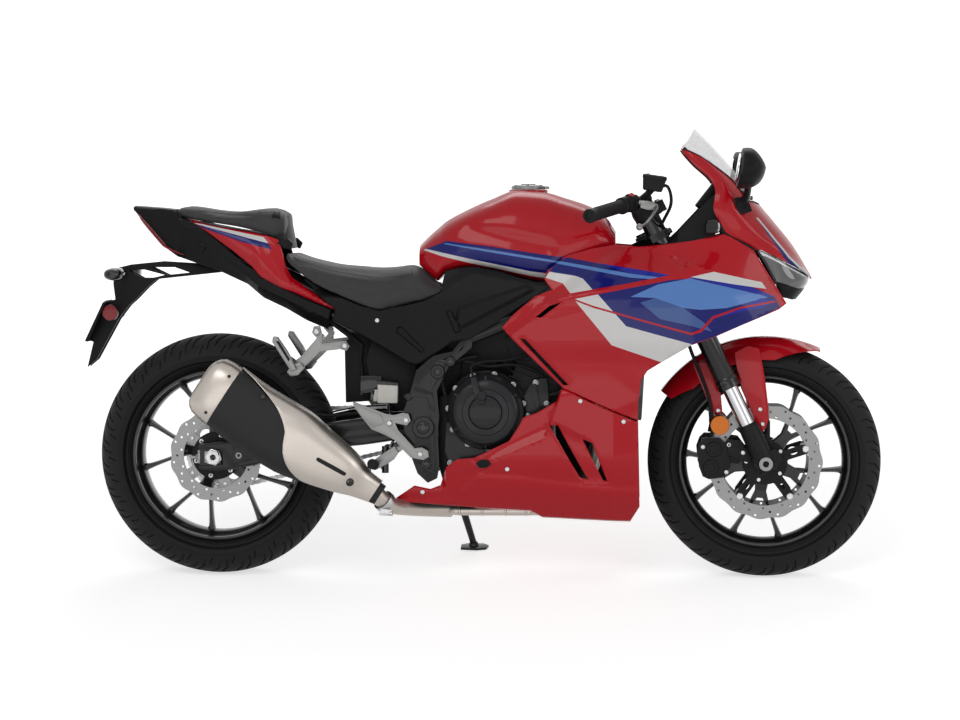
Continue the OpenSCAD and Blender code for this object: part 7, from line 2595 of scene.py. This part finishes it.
# ---------------------------------------------------------------- add-on
class BikePaint(bpy.types.PropertyGroup):
    """Colours of the bodywork."""
    red: bpy.props.FloatVectorProperty(
        name="Red", description="Main colour of the bodywork", subtype="COLOR", size=3,
        default=(0.5, 0.004, 0.012), min=0, max=1)
    navy: bpy.props.FloatVectorProperty(
        name="Dark blue", description="Second colour of the bodywork", subtype="COLOR", size=3,
        default=(0.006, 0.009, 0.16), min=0, max=1)


class BikeSizes(bpy.types.PropertyGroup):
    """Sizes and settings a user may change."""
    tread_depth: bpy.props.FloatProperty(
        name="Tread depth", description="Depth of the tyre grooves in millimetres", default=4.0,
        min=1, max=6)
    lens: bpy.props.FloatProperty(
        name="Focal length", description="Focal length of the camera", subtype="DISTANCE_CAMERA",
        default=113.2, min=50, max=200)
    lamp_power: bpy.props.FloatProperty(
        name="Lamp power", description="Power of the main studio lamp", subtype="POWER",
        default=85.0, min=10, max=2000)
    floor_glow: bpy.props.FloatProperty(
        name="Floor glow", description="How pale the floor looks to the camera", subtype="FACTOR",
        default=0.62, min=0, max=1)
    sky_light: bpy.props.FloatProperty(
        name="Sky light", description="Strength of the even surrounding light", subtype="FACTOR",
        default=0.22, min=0, max=2)


class BIKE_OT_finishes(bpy.types.Operator):
    """Makes the paints, metals, plastics and rubbers."""
    bl_idname = "bike.finishes"
    bl_label = "Finishes"

    def execute(self, context):
        finishes(context.scene.bike_paint)
        return {"FINISHED"}


class BIKE_OT_frame(bpy.types.Operator):
    """Builds the frame beams, subframe and airbox."""
    bl_idname = "bike.frame"
    bl_label = "Frame"

    def execute(self, context):
        build_frame()
        return {"FINISHED"}


class BIKE_OT_swingarm(bpy.types.Operator):
    """Builds the rear arm, its adjusters and chain guard."""
    bl_idname = "bike.swingarm"
    bl_label = "Rear arm"

    def execute(self, context):
        build_swingarm()
        return {"FINISHED"}


class BIKE_OT_engine(bpy.types.Operator):
    """Builds the engine block, its covers, bolts and hoses."""
    bl_idname = "bike.engine"
    bl_label = "Engine"

    def execute(self, context):
        build_engine()
        return {"FINISHED"}


class BIKE_OT_radiator(bpy.types.Operator):
    """Builds the radiator core and tanks."""
    bl_idname = "bike.radiator"
    bl_label = "Radiator"

    def execute(self, context):
        build_radiator()
        return {"FINISHED"}


class BIKE_OT_exhaust(bpy.types.Operator):
    """Builds the header pipes, the collector and the clamp."""
    bl_idname = "bike.exhaust"
    bl_label = "Exhaust"

    def execute(self, context):
        build_exhaust()
        return {"FINISHED"}


class BIKE_OT_silencer(bpy.types.Operator):
    """Builds the silencer with its cap and guard."""
    bl_idname = "bike.silencer"
    bl_label = "Silencer"

    def execute(self, context):
        build_silencer()
        return {"FINISHED"}


class BIKE_OT_pegs(bpy.types.Operator):
    """Builds the peg brackets, the pegs and the fluid bottle."""
    bl_idname = "bike.pegs"
    bl_label = "Footpegs"

    def execute(self, context):
        build_footpegs()
        return {"FINISHED"}


class BIKE_OT_chain(bpy.types.Operator):
    """Builds the chain, the front sprocket and the shock spring."""
    bl_idname = "bike.chain"
    bl_label = "Chain"

    def execute(self, context):
        build_chain()
        return {"FINISHED"}


class BIKE_OT_rear_brake(bpy.types.Operator):
    """Builds the rear caliper and the axle nuts."""
    bl_idname = "bike.rear_brake"
    bl_label = "Rear brake"

    def execute(self, context):
        build_rear_brake()
        return {"FINISHED"}


class BIKE_OT_stand(bpy.types.Operator):
    """Builds the side stand leg."""
    bl_idname = "bike.stand"
    bl_label = "Side stand"

    def execute(self, context):
        build_stand()
        return {"FINISHED"}


class BIKE_OT_yokes(bpy.types.Operator):
    """Builds the fork yokes."""
    bl_idname = "bike.yokes"
    bl_label = "Yokes"

    def execute(self, context):
        build_yokes()
        return {"FINISHED"}


class BIKE_OT_fork(bpy.types.Operator):
    """Builds the fork legs and the front axle nuts."""
    bl_idname = "bike.fork"
    bl_label = "Fork"

    def execute(self, context):
        build_fork()
        return {"FINISHED"}


class BIKE_OT_bars(bpy.types.Operator):
    """Builds the bars, grips, switches, levers and cables."""
    bl_idname = "bike.bars"
    bl_label = "Handlebars"

    def execute(self, context):
        build_bars()
        return {"FINISHED"}


class BIKE_OT_fender(bpy.types.Operator):
    """Builds the front mudguard, its stays and the brake hoses."""
    bl_idname = "bike.fender"
    bl_label = "Front fender"

    def execute(self, context):
        build_fender()
        return {"FINISHED"}


class BIKE_OT_front_brakes(bpy.types.Operator):
    """Builds the front calipers."""
    bl_idname = "bike.front_brakes"
    bl_label = "Front brakes"

    def execute(self, context):
        build_front_brakes()
        return {"FINISHED"}


class BIKE_OT_tyres(bpy.types.Operator):
    """Builds both tyres with their tread."""
    bl_idname = "bike.tyres"
    bl_label = "Tyres"

    def execute(self, context):
        for name, w in WHEELS.items():
            build_tyre(name, w, context.scene.bike_sizes.tread_depth)
        return {"FINISHED"}


class BIKE_OT_rims(bpy.types.Operator):
    """Builds both cast wheels."""
    bl_idname = "bike.rims"
    bl_label = "Wheels"

    def execute(self, context):
        for name, w in WHEELS.items():
            build_rim(name, w)
        return {"FINISHED"}


class BIKE_OT_discs(bpy.types.Operator):
    """Builds the brake discs and the rear sprocket."""
    bl_idname = "bike.discs"
    bl_label = "Discs"

    def execute(self, context):
        build_discs()
        return {"FINISHED"}


class BIKE_OT_fairings(bpy.types.Operator):
    """Builds the side fairings and lower panels."""
    bl_idname = "bike.fairings"
    bl_label = "Fairings"

    def execute(self, context):
        build_fairings()
        return {"FINISHED"}


class BIKE_OT_tank(bpy.types.Operator):
    """Builds the fuel tank and its cap."""
    bl_idname = "bike.tank"
    bl_label = "Fuel tank"

    def execute(self, context):
        build_tank()
        return {"FINISHED"}


class BIKE_OT_covers(bpy.types.Operator):
    """Builds the side covers."""
    bl_idname = "bike.covers"
    bl_label = "Side covers"

    def execute(self, context):
        build_covers()
        return {"FINISHED"}


class BIKE_OT_tail(bpy.types.Operator):
    """Builds the tail cowl, its panels and the tail light."""
    bl_idname = "bike.tail"
    bl_label = "Tail"

    def execute(self, context):
        build_tail()
        return {"FINISHED"}


class BIKE_OT_hanger(bpy.types.Operator):
    """Builds the plate hanger and the indicators."""
    bl_idname = "bike.hanger"
    bl_label = "Plate hanger"

    def execute(self, context):
        build_hanger()
        return {"FINISHED"}


class BIKE_OT_nose(bpy.types.Operator):
    """Builds the nose, headlights and screen."""
    bl_idname = "bike.nose"
    bl_label = "Nose"

    def execute(self, context):
        build_nose()
        return {"FINISHED"}


class BIKE_OT_cockpit(bpy.types.Operator):
    """Builds the dash and the cockpit trim."""
    bl_idname = "bike.cockpit"
    bl_label = "Cockpit"

    def execute(self, context):
        build_cockpit()
        return {"FINISHED"}


class BIKE_OT_mirrors(bpy.types.Operator):
    """Builds the mirrors."""
    bl_idname = "bike.mirrors"
    bl_label = "Mirrors"

    def execute(self, context):
        build_mirrors()
        return {"FINISHED"}


class BIKE_OT_seats(bpy.types.Operator):
    """Builds the padded seats with their seams."""
    bl_idname = "bike.seats"
    bl_label = "Seats"

    def execute(self, context):
        build_seats()
        return {"FINISHED"}


class BIKE_OT_stage(bpy.types.Operator):
    """Builds the floor, lights and camera."""
    bl_idname = "bike.stage"
    bl_label = "Stage"

    def execute(self, context):
        build_stage(context.scene.bike_sizes)
        return {"FINISHED"}


OPERATORS = (BIKE_OT_finishes, BIKE_OT_frame, BIKE_OT_swingarm, BIKE_OT_engine,
             BIKE_OT_radiator, BIKE_OT_exhaust, BIKE_OT_silencer, BIKE_OT_pegs, BIKE_OT_chain,
             BIKE_OT_rear_brake, BIKE_OT_stand, BIKE_OT_yokes, BIKE_OT_fork, BIKE_OT_bars,
             BIKE_OT_fender, BIKE_OT_front_brakes, BIKE_OT_tyres, BIKE_OT_rims, BIKE_OT_discs,
             BIKE_OT_fairings, BIKE_OT_tank, BIKE_OT_covers, BIKE_OT_tail, BIKE_OT_hanger,
             BIKE_OT_nose, BIKE_OT_cockpit, BIKE_OT_mirrors, BIKE_OT_seats, BIKE_OT_stage)

class BIKE_PT_panel(bpy.types.Panel):
    """Lists the settings and the building steps."""
    bl_idname = "BIKE_PT_panel"
    bl_label = "Sport Bike"
    bl_space_type = "VIEW_3D"
    bl_region_type = "UI"
    bl_category = "Sport Bike"

    def draw(self, context):
        col = self.layout.column()
        for group in (context.scene.bike_paint, context.scene.bike_sizes):
            for key in group.bl_rna.properties.keys():
                if key not in ("rna_type", "name"):
                    col.prop(group, key)
        for op in OPERATORS:
            col.operator(op.bl_idname)


def register():
    for c in (BikePaint, BikeSizes, *OPERATORS, BIKE_PT_panel):
        bpy.utils.register_class(c)
    bpy.types.Scene.bike_paint = bpy.props.PointerProperty(type=BikePaint)
    bpy.types.Scene.bike_sizes = bpy.props.PointerProperty(type=BikeSizes)


def unregister():
    del bpy.types.Scene.bike_paint
    del bpy.types.Scene.bike_sizes
    for c in reversed((BikePaint, BikeSizes, *OPERATORS, BIKE_PT_panel)):
        bpy.utils.unregister_class(c)


def main():
    """Registers the add-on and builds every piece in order."""
    register()
    for op in OPERATORS:
        getattr(bpy.ops.bike, op.bl_idname.split(".")[1])()
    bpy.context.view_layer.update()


if __name__ == "__main__":
    main()
